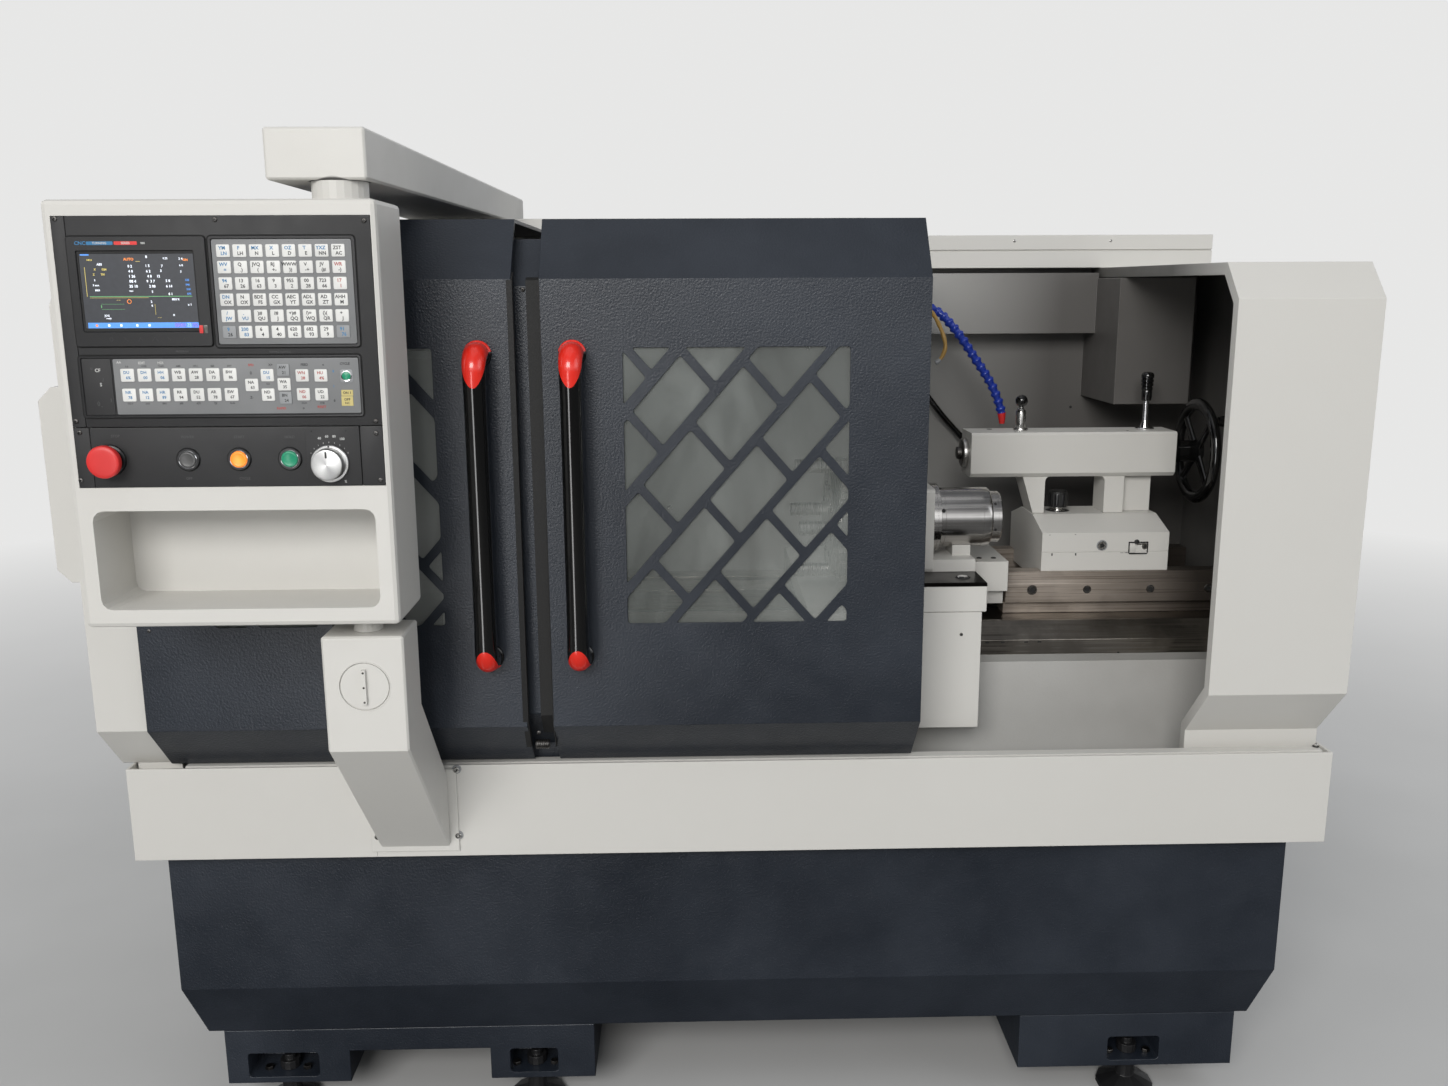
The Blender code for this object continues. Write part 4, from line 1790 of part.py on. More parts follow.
def control_panel():
    """The panel plate: screen pocket, raised key fields and button collars."""
    near = PANEL_FACE_Y
    far = PENDANT_FRONT_Y + PANEL_RECESS - GAP
    made = block("control_panel", (PANEL_LEFT_X, near, PANEL_BOTTOM_Z), (PANEL_RIGHT_X, far, PANEL_TOP_Z))
    screen_left = PANEL_LEFT_X + SCREEN_LEFT
    screen_top = PANEL_TOP_Z - SCREEN_TOP
    screen_low = (screen_left, near - SCREEN_RISE, screen_top - SCREEN_HEIGHT)
    raised = [block("screen", screen_low, (screen_left + SCREEN_WIDTH, near + SHEET, screen_top))]
    keys_left = PANEL_LEFT_X + KEYPAD_LEFT
    keys_low = (keys_left, near - KEYPAD_RISE, screen_top - SCREEN_HEIGHT)
    raised.append(block("keys", keys_low, (keys_left + KEYPAD_WIDTH, near + SHEET, screen_top)))
    mode_left = PANEL_LEFT_X + MODE_LEFT
    mode_top = PANEL_TOP_Z - MODE_TOP
    mode_low = (mode_left, near - KEYPAD_RISE, mode_top - MODE_HEIGHT)
    raised.append(block("mode", mode_low, (mode_left + MODE_WIDTH, near + SHEET, mode_top)))
    for x in BUTTON_X:
        raised.append(rod("collar", BEZEL_RADIUS, "Y", (x, BUTTON_Z), near - BEZEL_OUT, near + SHEET, 16))
    fuse(made, *raised)
    glass_bottom = screen_top - SCREEN_HEIGHT + SCREEN_FRAME_WIDE
    glass_low = (screen_left + SCREEN_FRAME, near - CUT_OVERRUN, glass_bottom)
    glass_right = screen_left + SCREEN_WIDTH - SCREEN_FRAME_WIDE
    tools = [block("glass", glass_low, (glass_right, near, screen_top - SCREEN_FRAME_TOP))]
    seam_low = PANEL_BOTTOM_Z + PANEL_SPLIT
    seam_near = (PANEL_LEFT_X - CUT_OVERRUN, near - CUT_OVERRUN, seam_low)
    seam_far = (PANEL_RIGHT_X + CUT_OVERRUN, near + PANEL_SEAM, seam_low + PANEL_SEAM)
    tools.append(block("seam", seam_near, seam_far))
    holes = [(x, BUTTON_Z, BUTTON_RADIUS) for x in BUTTON_X]
    holes.append((STOP_X, BUTTON_Z, STOP_STEM))
    holes.append((KNOB_X, KNOB_Z, STOP_STEM))
    for x, z, radius in holes:
        hole = radius + BEZEL_CLEAR
        tools.append(rod("hole", hole, "Y", (x, z), near - CUT_OVERRUN, far + CUT_OVERRUN, 16))
    return cut(made, *tools)


def push_buttons():
    """The three push buttons in their collars."""
    made = []
    front = PANEL_FACE_Y - BUTTON_OUT
    rear = PENDANT_FRONT_Y + PANEL_RECESS - BUTTON_TRAVEL - PANEL_PROUD
    edge = BUTTON_RADIUS / 8
    for name, x in zip(BUTTON_NAMES, BUTTON_X):
        profile = [
            (front, 0), (front, BUTTON_RADIUS - edge), (front + edge, BUTTON_RADIUS),
            (rear, BUTTON_RADIUS), (rear, 0),
        ]
        made.append(turned(name, profile, "Y", (x, BUTTON_Z), 16))
    return made


def estop_button():
    """The mushroom-headed stop button."""
    face = PANEL_FACE_Y
    front = face - STOP_OUT
    rear = PENDANT_FRONT_Y + PANEL_RECESS - STOP_TRAVEL - PANEL_PROUD
    edge = STOP_CAP / 4
    profile = [
        (front, 0), (front, STOP_RADIUS - 2 * edge), (front + edge / 2, STOP_RADIUS - edge / 2),
        (front + 2 * edge, STOP_RADIUS), (front + STOP_CAP, STOP_RADIUS), (front + STOP_CAP, STOP_STEM),
        (rear, STOP_STEM), (rear, 0),
    ]
    return turned("estop_button", profile, "Y", (STOP_X, BUTTON_Z), 20)


def override_knob():
    """The turned override knob on its dial skirt."""
    face = PANEL_FACE_Y
    skirt = face - KNOB_SKIRT_LENGTH
    front = face - KNOB_OUT
    rear = PENDANT_FRONT_Y + PANEL_RECESS - PANEL_PROUD
    edge = KNOB_SKIRT_LENGTH / 2
    profile = [
        (front, 0), (front, KNOB_RADIUS - edge), (front + edge, KNOB_RADIUS), (skirt, KNOB_RADIUS),
        (skirt, KNOB_SKIRT), (face - GAP, KNOB_SKIRT), (face - GAP, STOP_STEM), (rear, STOP_STEM), (rear, 0),
    ]
    return turned("override_knob", profile, "Y", (KNOB_X, KNOB_Z), 20)


def pendant_arm():
    """The folded arm from the tray's front up to the pendant post, with its round hatch."""
    foot_y = TRAY_FRONT_Y - GAP
    end = ARM_START + ARM_WIDTH
    outline = [
        (ARM_FRONT_Y, ARM_TOP_Z), (ARM_FRONT_Y, ARM_KNEE_Z), (foot_y - SHEET, ARM_FOOT_BOTTOM_Z),
        (foot_y - SHEET, ARM_FOOT_TOP_Z), (ARM_REAR_Y, ARM_HEEL_Z), (ARM_REAR_Y, ARM_TOP_Z),
    ]
    made = apply_modifiers(soften(prism("pendant_arm", outline, "X", ARM_START, end), ARM_EDGE))
    margin = ARM_PLATE_OUT
    plate_low = (ARM_START - margin, foot_y - ARM_PLATE, ARM_FOOT_BOTTOM_Z - margin / 2)
    plate = block("plate", plate_low, (end + margin, foot_y, ARM_FOOT_TOP_Z + margin / 2))
    centre = (ARM_START + ARM_WIDTH / 2, HATCH_Z)
    near = ARM_FRONT_Y
    half_width, half_length = HATCH_BAR_WIDTH / 2, HATCH_BAR_LENGTH / 2
    bar_low = (centre[0] - half_width, near - HATCH_BAR_OUT, centre[1] - half_length)
    bar = block("bar", bar_low, (centre[0] + half_width, near + SHEET, centre[1] + half_length))
    groove = ring_turned("groove", [
        (near - CUT_OVERRUN, HATCH_RADIUS - HATCH_GROOVE), (near - CUT_OVERRUN, HATCH_RADIUS),
        (near + HATCH_GROOVE, HATCH_RADIUS), (near + HATCH_GROOVE, HATCH_RADIUS - HATCH_GROOVE),
    ], "Y", centre, 28)
    return fuse(cut(made, groove), plate, bar)


def put_origin(thing, spot):
    """Move a piece's origin to a point without moving its shape."""
    thing.data.transform(Matrix.Translation(-Vector(spot)))
    thing.location = spot


def axis_spots():
    """Origins of the pieces that turn about an axis of their own."""
    pivot = (PIVOT_X, PIVOT_Y, PENDANT_BOTTOM_Z)
    spots = {
        "spindle": (HEAD_END, AXIS_Y, AXIS_Z), "spindle_pulley": (PULLEY_START, AXIS_Y, AXIS_Z),
        "chuck_body": (CHUCK_START, AXIS_Y, AXIS_Z), "motor_pulley": (PULLEY_START, MOTOR_Y, MOTOR_Z),
        "z_ballscrew": (SCREW_START, SCREW_Y, SCREW_Z), "turret_disc": (DISC_START, TURRET_Y, TURRET_Z),
        "tailstock_handwheel": (HANDWHEEL_X, AXIS_Y, AXIS_Z), "quill": (BARREL_START, AXIS_Y, AXIS_Z),
        "quill_clamp_lever": (CLAMP_X, AXIS_Y, AXIS_Z), "tailstock_clamp_lever": (LOCK_X, AXIS_Y, AXIS_Z),
        "cabinet_door": (CABINET_START, CABINET_REAR_Y + GAP, CABINET_BOTTOM_Z), "pendant_housing": pivot,
        "control_panel": pivot, "override_knob": (KNOB_X, PANEL_FACE_Y, KNOB_Z),
        "estop_button": (STOP_X, PANEL_FACE_Y, BUTTON_Z),
    }
    for index in range(JAW_COUNT):
        spots[f"chuck_jaw_{index + 1}"] = (CHUCK_FACE, AXIS_Y, AXIS_Z)
    for name, x in zip(BUTTON_NAMES, BUTTON_X):
        spots[name] = (x, PANEL_FACE_Y, BUTTON_Z)
    return spots


def build_pieces():
    """Model every piece of the machine."""
    left_end, right_end = LEFT_DOOR_END, RIGHT_DOOR_END
    pieces = [base_cabinet(), *foot_blocks(), *levelling_feet(), chip_tray(), bed_casting(), tailstock_ways()]
    pieces += [headstock(), spindle(), spindle_pulley(), chuck_body(), *chuck_jaws()]
    pieces += [drive_belt(), spindle_motor(), motor_pulley(), z_ballscrew(), z_motor()]
    pieces += [saddle(), apron_cover(), cross_slide()]
    pieces += [turret_housing(), turret_drive_cylinder(), turret_disc()]
    pieces += [tailstock_base(), tailstock_body(), quill(), tailstock_handwheel()]
    pieces += [quill_clamp_lever(), tailstock_clamp_lever(), end_cover_left(), end_cover_right()]
    pieces += [back_wall(), rear_top_beam(), overhead_duct(), electrical_cabinet(), cabinet_door()]
    pieces += [centre_mullion(), guard_door("left_door", LEFT_DOOR_START, left_end)]
    pieces += [guard_door("right_door", RIGHT_DOOR_START, right_end)]
    pieces += [window_pane("left_pane", LEFT_DOOR_START, left_end)]
    pieces += [window_pane("right_pane", RIGHT_DOOR_START, right_end)]
    pieces += [door_handle("left_handle", left_end - HANDLE_EDGE_LEFT)]
    pieces += [door_handle("right_handle", RIGHT_DOOR_START + HANDLE_EDGE_RIGHT)]
    pieces += [pendant_housing(), control_panel(), estop_button(), *push_buttons()]
    pieces += [override_knob(), pendant_arm()]
    pieces += [coolant_hose(), coolant_pipe()]
    return pieces


def paint(pieces):
    """Give every piece a material of its own."""
    off_white, navy, black = (0.66, 0.65, 0.62), (0.020, 0.027, 0.042), (0.012, 0.012, 0.013)
    steel, iron, glass = (0.42, 0.41, 0.40), (0.30, 0.30, 0.29), (0.55, 0.62, 0.60)
    blue, red, grey = (0.020, 0.060, 0.42), (0.62, 0.020, 0.012), (0.12, 0.12, 0.12)
    orange, green = (0.75, 0.22, 0.02), (0.01, 0.22, 0.10)
    dark = (
        "base_cabinet", "foot_block_left", "foot_block_right", "left_door", "right_door", "centre_mullion",
    )
    blacks = (
        "control_panel", "left_handle", "right_handle", "tailstock_handwheel", "tailstock_clamp_lever",
        "drive_belt", "z_motor", "coolant_pipe",
    )
    metals = (
        "tailstock_ways", "spindle", "chuck_body", "chuck_jaw_1", "chuck_jaw_2", "chuck_jaw_3",
        "z_ballscrew", "turret_drive_cylinder", "turret_disc", "quill", "quill_clamp_lever", "override_knob",
    )
    irons = ("bed_casting", "spindle_pulley", "motor_pulley", "spindle_motor")
    single = {"left_pane": glass, "right_pane": glass, "coolant_hose": blue, "estop_button": red,
              "grey_button": grey, "orange_button": orange, "green_button": green}
    for piece in pieces:
        name = piece.name
        colour, roughness, metallic = off_white, 0.45, 0.0
        if name in dark:
            colour = navy
        if name in blacks or name.startswith("levelling"):
            colour = black
        if name in metals:
            colour, roughness, metallic = steel, 0.30, 1.0
        if name in irons:
            colour, roughness = iron, 0.55
        colour = single.get(name, colour)
        piece.data.materials.clear()
        piece.data.materials.append(material(f"{name}_finish", colour, roughness, metallic))


def build():
    """Build the lathe under one origin on the floor at the middle of its footprint."""
    clear_scene()
    pieces = build_pieces()
    paint(pieces)
    spots = axis_spots()
    origin = bpy.data.objects.new("lathe_origin", None)
    bpy.context.scene.collection.objects.link(origin)
    origin.location = (-CENTRE_X, -CENTRE_Y, 0.0)
    for piece in pieces:
        if piece.name in spots:
            put_origin(piece, spots[piece.name])
        piece.parent = origin


build()
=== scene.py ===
"""Looks of the turning lathe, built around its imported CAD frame."""

import math
import random

import bmesh
import bpy
from mathutils import Matrix, Vector


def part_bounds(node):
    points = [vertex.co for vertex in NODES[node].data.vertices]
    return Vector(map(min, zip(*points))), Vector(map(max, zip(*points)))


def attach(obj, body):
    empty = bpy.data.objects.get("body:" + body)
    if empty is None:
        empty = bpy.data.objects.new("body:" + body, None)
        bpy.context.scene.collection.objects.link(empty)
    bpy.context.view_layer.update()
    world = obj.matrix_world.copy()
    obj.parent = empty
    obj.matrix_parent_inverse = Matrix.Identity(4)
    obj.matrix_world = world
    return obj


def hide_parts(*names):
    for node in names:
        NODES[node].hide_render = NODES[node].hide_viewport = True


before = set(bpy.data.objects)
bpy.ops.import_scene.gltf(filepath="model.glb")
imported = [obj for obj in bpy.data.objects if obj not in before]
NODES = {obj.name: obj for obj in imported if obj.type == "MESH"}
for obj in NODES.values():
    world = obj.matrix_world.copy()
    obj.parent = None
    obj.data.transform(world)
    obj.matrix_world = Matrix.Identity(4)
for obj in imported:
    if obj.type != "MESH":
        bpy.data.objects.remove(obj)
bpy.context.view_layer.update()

# Every size below is in metres in the part's own frame: X from the left end of the chip tray, Y from the
# plane of the door fronts, Z from the floor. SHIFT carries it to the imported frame.
SHIFT = Vector((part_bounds("chip_tray")[0].x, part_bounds("left_door")[0].y, 0.0))

# The control panel: its face, and what stands before it.
PANEL_Y = -0.224
SCREEN_Y = -0.2246
SCREEN_MARK_Y = -0.22683
BADGE_PRINT_Y = -0.22685
BADGE_BLOCK_PRINT_Y = -0.22695
KEYPAD_FACE_Y = -0.2249
KEY_FRONT_Y = -0.2262
KEY_LEGEND_Y = -0.22625
SWITCH_LEGEND_Y = -0.22545
BUTTON_ROW_Z = 1.2620

# The tailstock and the rails under it.
TAILSTOCK_FRONT_Y = 0.3532
BARREL_Y = 0.470
BARREL_TOP_Z = 1.2132
RAIL_FRONT_Y = 0.3300
RAIL_SCREW_Z = 0.9281

# The least rounding of a frame plate's corners.
LEAST_ROUNDING = 0.0002


# Materials.
def new_material(name, colour, roughness, metallic=0.0, **sockets):
    made = bpy.data.materials.new(name)
    made.use_nodes = True
    shader = made.node_tree.nodes["Principled BSDF"]
    shader.inputs["Base Color"].default_value = (*colour, 1.0)
    shader.inputs["Roughness"].default_value = roughness
    shader.inputs["Metallic"].default_value = metallic
    for socket, value in sockets.items():
        shader.inputs[socket.replace("_", " ")].default_value = value
    return made


def add_node(made, kind, **settings):
    node = made.node_tree.nodes.new(kind)
    for setting, value in settings.items():
        setattr(node, setting, value)
    return node


def wire(made, output, socket):
    made.node_tree.links.new(output, socket)


def place(made, stretch=(1.0, 1.0, 1.0)):
    """Object coordinates, stretched."""
    coordinates = add_node(made, "ShaderNodeTexCoord")
    mapping = add_node(made, "ShaderNodeMapping")
    mapping.inputs["Scale"].default_value = stretch
    wire(made, coordinates.outputs["Object"], mapping.inputs["Vector"])
    return mapping.outputs["Vector"]


def noise(made, scale, detail=2.0, stretch=(1.0, 1.0, 1.0), rough=0.5, distortion=0.0):
    node = add_node(made, "ShaderNodeTexNoise")
    node.inputs["Scale"].default_value = scale
    node.inputs["Detail"].default_value = detail
    node.inputs["Roughness"].default_value = rough
    node.inputs["Distortion"].default_value = distortion
    wire(made, place(made, stretch), node.inputs["Vector"])
    return node.outputs["Fac"]


def spread(made, value, low, high, out_low=0.0, out_high=1.0):
    node = add_node(made, "ShaderNodeMapRange")
    node.inputs["From Min"].default_value = low
    node.inputs["From Max"].default_value = high
    node.inputs["To Min"].default_value = out_low
    node.inputs["To Max"].default_value = out_high
    wire(made, value, node.inputs["Value"])
    return node.outputs["Result"]


def mix_colours(made, share, first, second):
    node = add_node(made, "ShaderNodeMix", data_type="RGBA")
    wire(made, share, node.inputs["Factor"])
    for socket, value in ((node.inputs[6], first), (node.inputs[7], second)):
        if isinstance(value, tuple):
            socket.default_value = (*value, 1.0)
        else:
            wire(made, value, socket)
    return node.outputs[2]


def maths(made, operation, first, second):
    node = add_node(made, "ShaderNodeMath", operation=operation)
    for socket, value in zip(node.inputs, (first, second)):
        if isinstance(value, (int, float)):
            socket.default_value = value
        else:
            wire(made, value, socket)
    return node.outputs[0]


def shader_of(made):
    return made.node_tree.nodes["Principled BSDF"]


def set_colour(made, output):
    wire(made, output, shader_of(made).inputs["Base Color"])


def set_roughness(made, output):
    wire(made, output, shader_of(made).inputs["Roughness"])


def add_bump(made, height, strength, distance):
    node = add_node(made, "ShaderNodeBump")
    node.inputs["Strength"].default_value = strength
    node.inputs["Distance"].default_value = distance
    wire(made, height, node.inputs["Height"])
    socket = shader_of(made).inputs["Normal"]
    if socket.is_linked:
        wire(made, socket.links[0].from_socket, node.inputs["Normal"])
    wire(made, node.outputs["Normal"], socket)


def axis_value(made, axis):
    coordinates = add_node(made, "ShaderNodeTexCoord")
    split = add_node(made, "ShaderNodeSeparateXYZ")
    wire(made, coordinates.outputs["Object"], split.inputs["Vector"])
    return split.outputs[axis]


def near_spot(made, spot, radius, edge=0.002):
    """1 inside a ball about a spot of the part, 0 outside."""
    coordinates = add_node(made, "ShaderNodeTexCoord")
    gap = add_node(made, "ShaderNodeVectorMath", operation="DISTANCE")
    gap.inputs[1].default_value = Vector(spot) + SHIFT
    wire(made, coordinates.outputs["Object"], gap.inputs[0])
    return spread(made, gap.outputs["Value"], radius + edge, radius)


def paint(name, colour, dust, roughness, grain, grain_height, patch=0.10, speck=620.0):
    """Powder coat: fine orange peel, faint clouding of tone and gloss, a little dust."""
    made = new_material(name, colour, roughness)
    clouds = noise(made, 2.3, 4.0, rough=0.6)
    fine = noise(made, 26.0, 3.0)
    soft = mix_colours(made, spread(made, clouds, 0.30, 0.75, 0.0, patch * 2.2), colour, dust)
    specks = spread(made, noise(made, speck, 1.0), 0.60, 0.80, 0.0, patch)
    set_colour(made, mix_colours(made, specks, soft, dust))
    blotch = maths(made, "ADD", maths(made, "MULTIPLY", clouds, 0.5), maths(made, "MULTIPLY", fine, 0.5))
    set_roughness(made, spread(made, blotch, 0.3, 0.7, roughness - 0.06, roughness + 0.08))
    add_bump(made, noise(made, grain, 2.0), 0.55, grain_height)
    return made


def steel(name, colour, dark, roughness, stretch, scratch=0.4):
    """Machined steel whose tool marks run across the stretched axis; on the turret drum the same streaks
    are painted reflections instead.
    """
    made = new_material(name, colour, roughness, 1.0)
    lines = noise(made, 1.0, 3.0, stretch, 0.65)
    clouds = noise(made, 9.0, 3.0)
    share = maths(made, "ADD", maths(made, "MULTIPLY", lines, 0.6), maths(made, "MULTIPLY", clouds, 0.4))
    set_colour(made, mix_colours(made, spread(made, share, 0.35, 0.65), dark, colour))
    set_roughness(made, spread(made, lines, 0.3, 0.7, roughness - 0.08, roughness + 0.12))
    add_bump(made, lines, scratch, 0.0003)
    return made


def plastic(name, colour, roughness, grain=900.0, height=0.0001, **sockets):
    made = new_material(name, colour, roughness, **sockets)
    grains = noise(made, grain, 2.0)
    clouds = noise(made, 14.0, 3.0)
    darker = tuple(c * 0.86 for c in colour)
    set_colour(made, mix_colours(made, spread(made, clouds, 0.3, 0.7), darker, colour))
    set_roughness(made, spread(made, grains, 0.3, 0.7, roughness - 0.05, roughness + 0.06))
    add_bump(made, grains, 0.35, height)
    return made


def shaded_wall():
    """Off-white on faces that look to the rear; on all other faces a painted shade, greyer, and darker
    towards the right end where the junction box hangs in the right cover's shadow.
    """
    made = paint("rear_wall_paint", (0.64, 0.63, 0.60), (0.55, 0.53, 0.49), 0.44, 900.0, 0.0003, 0.15)
    under = shader_of(made).inputs["Base Color"].links[0].from_socket
    share = spread(made, axis_value(made, "X"), 1.44 + SHIFT.x, 1.72 + SHIFT.x)
    # Painted shade: the inside tone darkens from left to right, standing in for the shadow behind the right
    # cover.
    inner = mix_colours(made, share, (0.38, 0.375, 0.36), (0.095, 0.090, 0.085))
    surface = add_node(made, "ShaderNodeNewGeometry")
    split = add_node(made, "ShaderNodeSeparateXYZ")
    wire(made, surface.outputs["True Normal"], split.inputs["Vector"])
    rear = spread(made, split.outputs["Y"], 0.5, 0.8)
    set_colour(made, mix_colours(made, rear, inner, under))
    return made


WHITE = (0.64, 0.63, 0.60)
NAVY = (0.0072, 0.0105, 0.0170)
white_paint = paint("off_white_powder_coat", WHITE, (0.55, 0.53, 0.49), 0.44, 900.0, 0.00022)
navy_paint = paint("navy_texture_coat", NAVY, (0.030, 0.037, 0.050), 0.38, 300.0, 0.0012, 0.42, 300.0)
bed_paint = paint("bed_grey_paint", (0.52, 0.52, 0.505), (0.24, 0.22, 0.20), 0.42, 160.0, 0.0006, 0.22)
shaded_wall_paint = shaded_wall()
black_coat = paint("black_coat", (0.010, 0.010, 0.011), (0.03, 0.03, 0.03), 0.42, 700.0, 0.0003, 0.10)
panel_black = paint("panel_black", (0.014, 0.014, 0.015), (0.035, 0.035, 0.037), 0.58, 1300.0, 0.0002, 0.12)
frame_black = plastic("frame_black", (0.007, 0.007, 0.008), 0.34, 1500.0)
gloss_black = new_material("gloss_black", (0.004, 0.004, 0.004), 0.13, Coat_Weight=0.6, Coat_Roughness=0.06)
add_bump(gloss_black, noise(gloss_black, 60.0, 2.0), 0.04, 0.0004)
stop_red = plastic("stop_red", (0.74, 0.030, 0.028), 0.40, 1400.0, 0.00008)
turned_steel = steel("turned_steel", (0.62, 0.61, 0.59), (0.50, 0.49, 0.475), 0.27, (900.0, 6.0, 6.0), 0.10)
bright_steel = steel("bright_steel", (0.70, 0.69, 0.67), (0.48, 0.47, 0.45), 0.22, (90.0, 90.0, 90.0), 0.2)
dark_steel = steel("dark_steel", (0.16, 0.155, 0.15), (0.05, 0.045, 0.04), 0.38, (60.0, 60.0, 60.0), 0.3)
chrome = new_material("chrome", (0.78, 0.78, 0.79), 0.12, 1.0)
set_roughness(chrome, spread(chrome, noise(chrome, 120.0, 2.0), 0.3, 0.7, 0.08, 0.20))
rubber = plastic("rubber", (0.012, 0.012, 0.012), 0.72, 500.0, 0.0003)
hose_blue = plastic("hose_blue", (0.012, 0.040, 0.36), 0.30, 900.0, 0.0001, Coat_Weight=0.2)
ochre = plastic("ochre_tube", (0.40, 0.24, 0.06), 0.42, 700.0, 0.0002)
key_white = plastic("key_white", (0.78, 0.78, 0.76), 0.50, 1600.0, 0.00006)
key_grey = plastic("key_grey", (0.30, 0.31, 0.32), 0.50, 1600.0, 0.00006)
plate_grey = plastic("plate_grey", (0.21, 0.215, 0.22), 0.52, 1500.0, 0.00006)
button_grey = plastic("button_grey", (0.085, 0.085, 0.085), 0.36, 1400.0, 0.00006)
button_green = plastic("button_green", (0.008, 0.29, 0.15), 0.30, 1400.0, 0.00006)
yellow_label = plastic("yellow_label", (0.62, 0.52, 0.20), 0.55, 1500.0, 0.00005)
ink = {
    "blue": plastic("ink_blue", (0.03, 0.20, 0.42), 0.6),
    "grey": plastic("ink_grey", (0.022, 0.023, 0.025), 0.6),
    "red": plastic("ink_red", (0.42, 0.05, 0.04), 0.6),
    "white": plastic("ink_white", (0.55, 0.55, 0.54), 0.6),
    "engraved": plastic("ink_engraved", (0.055, 0.055, 0.057), 0.6),
}


def lit(name, colour, strength, shown=None):
    made = new_material(name, shown or colour, 0.35)
    shader = shader_of(made)
    glow = noise(made, 160.0, 2.0)
    shades = mix_colours(made, spread(made, glow, 0.3, 0.7), tuple(c * 0.8 for c in colour), colour)
    wire(made, shades, shader.inputs["Emission Color"])
    shader.inputs["Emission Strength"].default_value = strength
    return made


def glowing_button(name):
    """Orange lens, bright in the middle where its lamp sits."""
    made = lit(name, (1.0, 0.30, 0.02), 0.55, (0.80, 0.22, 0.02))
    centre = near_spot(made, (0.3341, -0.231, 1.2605), 0.001, 0.008)
    hot = mix_colours(made, centre, (1.0, 0.26, 0.01), (1.0, 0.62, 0.10))
    wire(made, hot, shader_of(made).inputs["Emission Color"])
    return made


def clear_pane():
    """Clouded polycarbonate with faint smears; its pale grey-green colour is partly the pane's own tint and
    partly a painted reflection of a bright room.
    """
    made = new_material("clear_pane", (0.50, 0.53, 0.51), 0.16, Alpha=0.26)
    smears = noise(made, 5.0, 4.0, (1.0, 1.0, 0.5), 0.6, 0.6)
    set_roughness(made, spread(made, smears, 0.3, 0.7, 0.06, 0.24))
    set_colour(made, mix_colours(made, smears, (0.24, 0.265, 0.25), (0.50, 0.53, 0.51)))
    wire(made, spread(made, smears, 0.3, 0.7, 0.12, 0.34), shader_of(made).inputs["Alpha"])
    return made


def way_steel(name, oily_from, oily_to):
    """Ground way that turns dark and oily towards the right end."""
    made = steel(name, (0.56, 0.49, 0.43), (0.30, 0.25, 0.205), 0.30, (3.0, 340.0, 340.0), 0.4)
    shader_of(made).inputs["Metallic"].default_value = 0.45
    fresh = shader_of(made).inputs["Base Color"].links[0].from_socket
    share = spread(made, axis_value(made, "X"), oily_from + SHIFT.x, oily_to + SHIFT.x)
    patches = spread(made, noise(made, 12.0, 4.0), 0.42, 0.60, 0.0, 0.35)
    set_colour(
        made, mix_colours(made, maths(made, "MAXIMUM", share, patches), fresh, (0.060, 0.050, 0.042))
    )
    return made


def aluminium():
    """Turned face: rings about the knob's axis as bumps, and a painted sheen in the colour, lighter and
    darker sectors that fan out from its centre.
    """
    made = new_material("knob_aluminium", (0.62, 0.62, 0.62), 0.36, 1.0)
    coordinates = add_node(made, "ShaderNodeTexCoord")
    offset = add_node(made, "ShaderNodeVectorMath", operation="SUBTRACT")
    offset.inputs[1].default_value = Vector((0.4565, -0.244, 1.2550)) + SHIFT
    wire(made, coordinates.outputs["Object"], offset.inputs[0])
    split = add_node(made, "ShaderNodeSeparateXYZ")
    wire(made, offset.outputs["Vector"], split.inputs["Vector"])
    angle = maths(made, "ARCTAN2", split.outputs["Z"], split.outputs["X"])
    # Painted sheen: the colour swings light and dark round the centre, standing in for the reflection on a
    # turned face.
    painted_sheen_fan = maths(made, "SINE", maths(made, "ADD", maths(made, "MULTIPLY", angle, 2.0), 0.6), 0.0)
    fine = noise(made, 900.0, 2.0)
    share = maths(made, "ADD", maths(made, "MULTIPLY", painted_sheen_fan, 0.4), maths(made, "MULTIPLY", fine, 0.3))
    set_colour(
        made, mix_colours(made, spread(made, share, -0.3, 0.6), (0.30, 0.30, 0.30), (0.74, 0.74, 0.73))
    )
    set_roughness(made, spread(made, fine, 0.3, 0.7, 0.34, 0.46))
    reach = add_node(made, "ShaderNodeVectorMath", operation="LENGTH")
    wire(made, offset.outputs["Vector"], reach.inputs[0])
    rings = maths(made, "SINE", maths(made, "MULTIPLY", reach.outputs["Value"], 16000.0), 0.0)
    add_bump(made, rings, 0.10, 0.0001)
    return made


orange_lens = glowing_button("button_orange")
pane_clear = clear_pane()
rail_steel = way_steel("rail_steel", 1.66, 1.90)
knob_metal = aluminium()
screen_glass = new_material("screen_glass", (0.010, 0.012, 0.016), 0.10)
set_roughness(screen_glass, spread(screen_glass, noise(screen_glass, 30.0, 2.0), 0.3, 0.7, 0.06, 0.16))
screen_base = lit("screen_base", (0.030, 0.034, 0.042), 1.0, (0.02, 0.02, 0.022))
SCREEN = {
    "white": lit("screen_white", (0.72, 0.76, 0.84), 1.0),
    "yellow": lit("screen_yellow", (0.55, 0.45, 0.12), 1.0),
    "green": lit("screen_green", (0.14, 0.42, 0.16), 1.0),
    "orange": lit("screen_orange", (0.75, 0.22, 0.04), 1.0),
    "blue": lit("screen_blue", (0.07, 0.22, 0.58), 1.0),
    "pink": lit("screen_pink", (0.62, 0.34, 0.52), 1.0),
}


